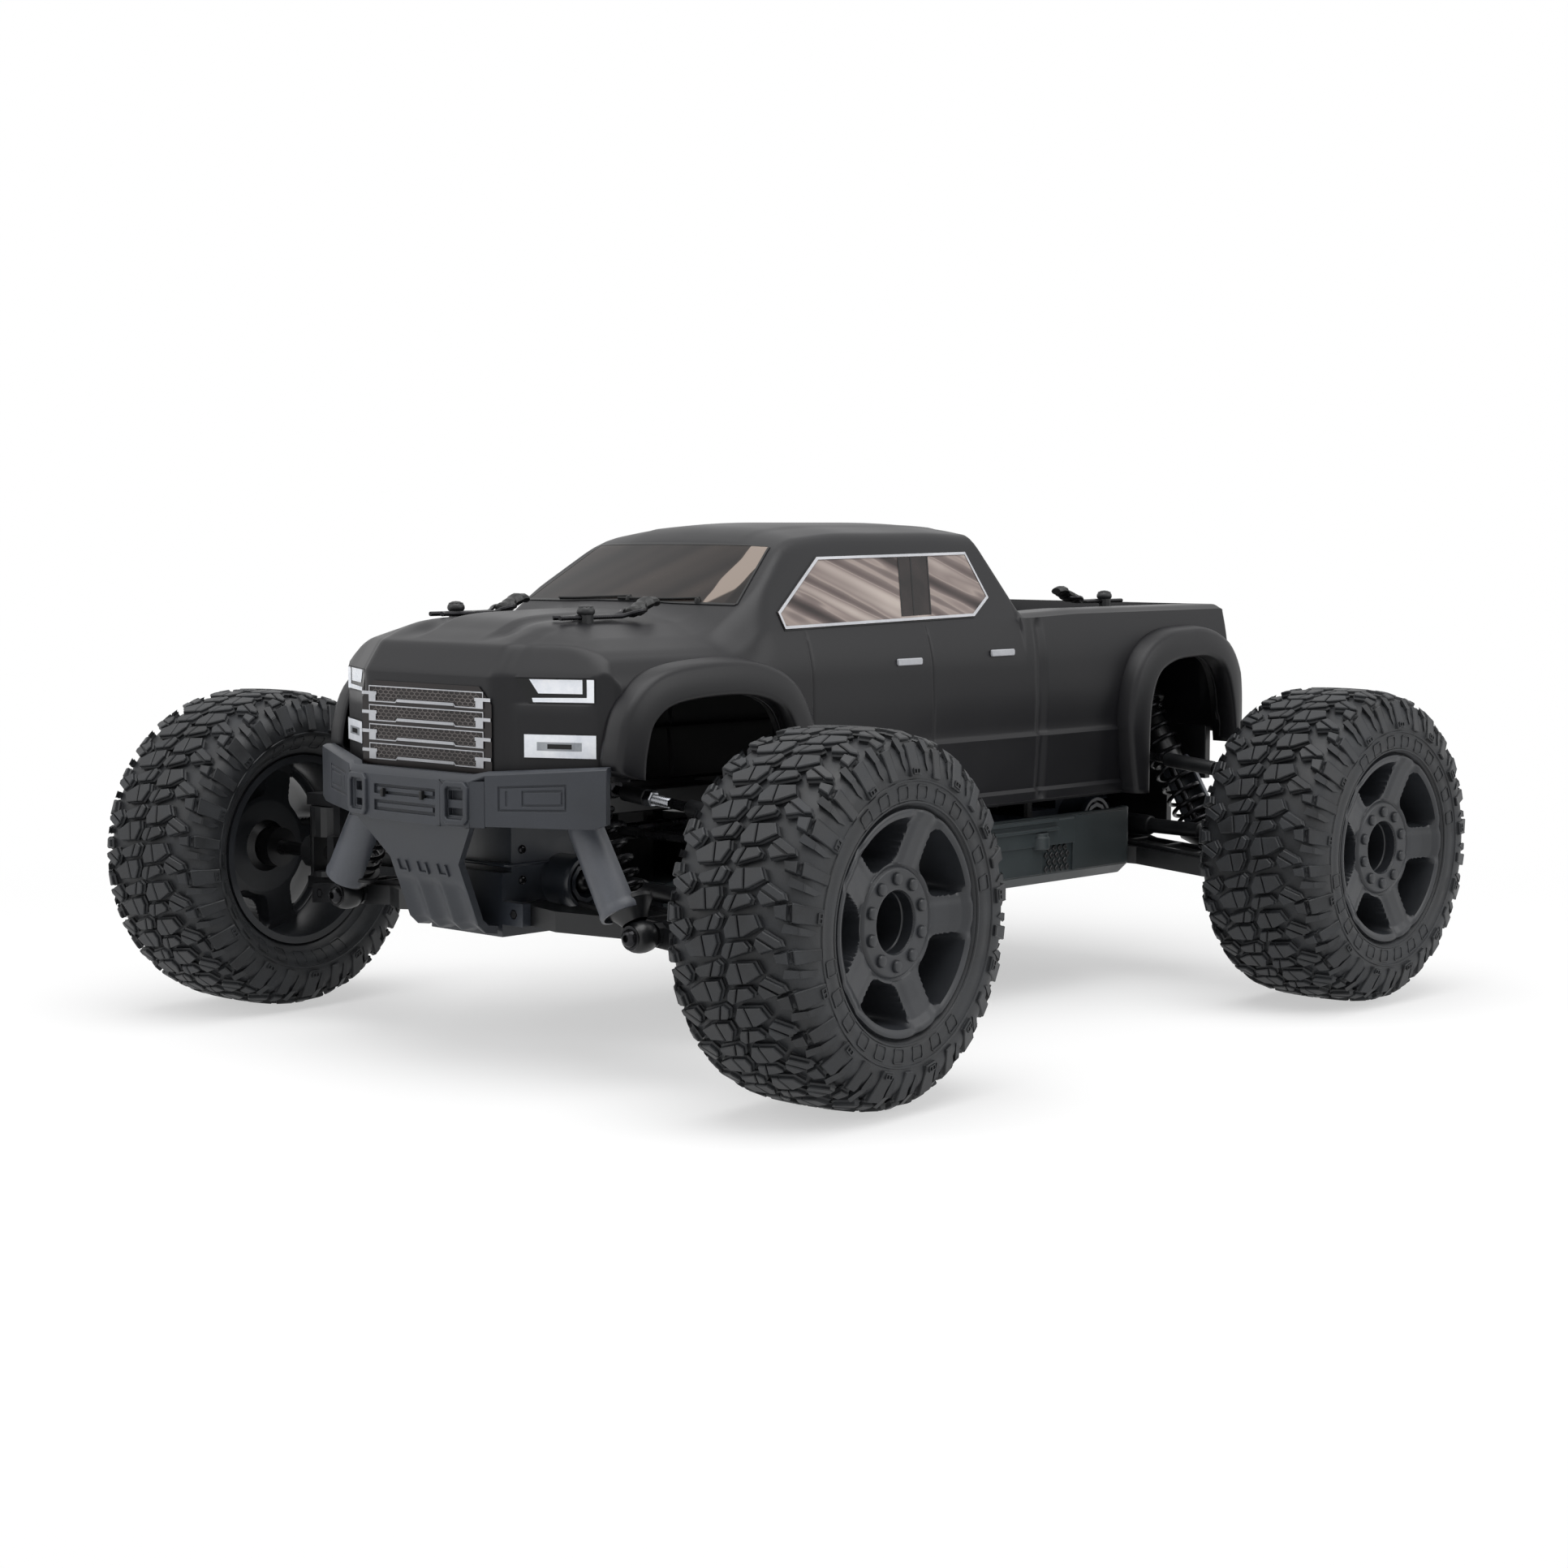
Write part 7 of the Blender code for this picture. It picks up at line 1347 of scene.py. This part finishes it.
def makeStage():  # paper fading to white, an even world, three soft boxes and the photograph's camera
    size = stageSizes
    rim = np.column_stack([ring(size["floor"], 64), np.full(64, size["floorZ"])])
    mesh = bpy.data.meshes.new("floor")
    mesh.from_pydata(rim.tolist(), [], [list(range(64))])
    floor = newObject("floor", mesh)
    # Matt paper near the truck, running out into the white of the room
    paper, tree, shader, place = newMaterial("pale_paper")
    shader.inputs["Base Color"].default_value = linear("#f6f6f6")
    shader.inputs["Roughness"].default_value = 0.9
    shader.inputs["Specular IOR Level"].default_value = 0.0
    reach = addNode(tree, "ShaderNodeVectorMath", None, {0: place}, operation="LENGTH").outputs["Value"]
    far = addNode(tree, "ShaderNodeMapRange", {"From Min": 0.20, "From Max": 0.75, "To Min": 0.52}, {"Value": reach},
                  interpolation_type="SMOOTHSTEP").outputs["Result"]
    share = addNode(tree, "ShaderNodeMath", None, {0: far, 1: seenDirectly(tree)}, operation="MULTIPLY").outputs[0]
    white = addNode(tree, "ShaderNodeEmission", {"Color": (1, 1, 1, 1), "Strength": 1.0})
    mix = addNode(tree, "ShaderNodeMixShader", None, {0: share, 1: shader.outputs[0], 2: white.outputs[0]})
    tree.links.new(mix.outputs[0], tree.nodes["Material Output"].inputs["Surface"])
    mesh.materials.append(paper)

    world = bpy.data.worlds.new("studio")
    bpy.context.scene.world = world
    world.use_nodes = True
    tree = world.node_tree
    level = addNode(tree, "ShaderNodeMapRange", {"To Min": size["fill"], "To Max": 1.0}, {"Value": seenDirectly(tree)})
    tree.nodes["Background"].inputs["Color"].default_value = (1, 1, 1, 1)
    tree.links.new(level.outputs["Result"], tree.nodes["Background"].inputs["Strength"])

    for number, (place, aim, width, height, watts) in enumerate(size["lamps"]):
        lamp = bpy.data.lights.new(f"softbox_{number}", "AREA")
        lamp.shape, lamp.size, lamp.size_y, lamp.energy = "RECTANGLE", width, height, watts
        box = newObject(lamp.name, lamp)
        box.location = place
        box.rotation_euler = (Vector(aim) - Vector(place)).to_track_quat("-Z", "Y").to_euler()

    lens = bpy.data.cameras.new("photo_camera")
    lens.lens, lens.sensor_width = size["lens"], 36.0
    eye = newObject("photo_camera", lens)
    yaw, pitch = math.radians(size["yaw"]), math.radians(size["pitch"])
    ahead = -Vector((math.cos(yaw) * math.cos(pitch), math.sin(yaw) * math.cos(pitch), math.sin(pitch)))
    eye.location = size["camera"]
    eye.rotation_euler = ahead.to_track_quat("-Z", "Y").to_euler()
    bpy.context.scene.camera = eye
    bpy.context.scene.view_settings.view_transform = "Standard"


makeStage()
print("stage set")
bpy.context.view_layer.update()
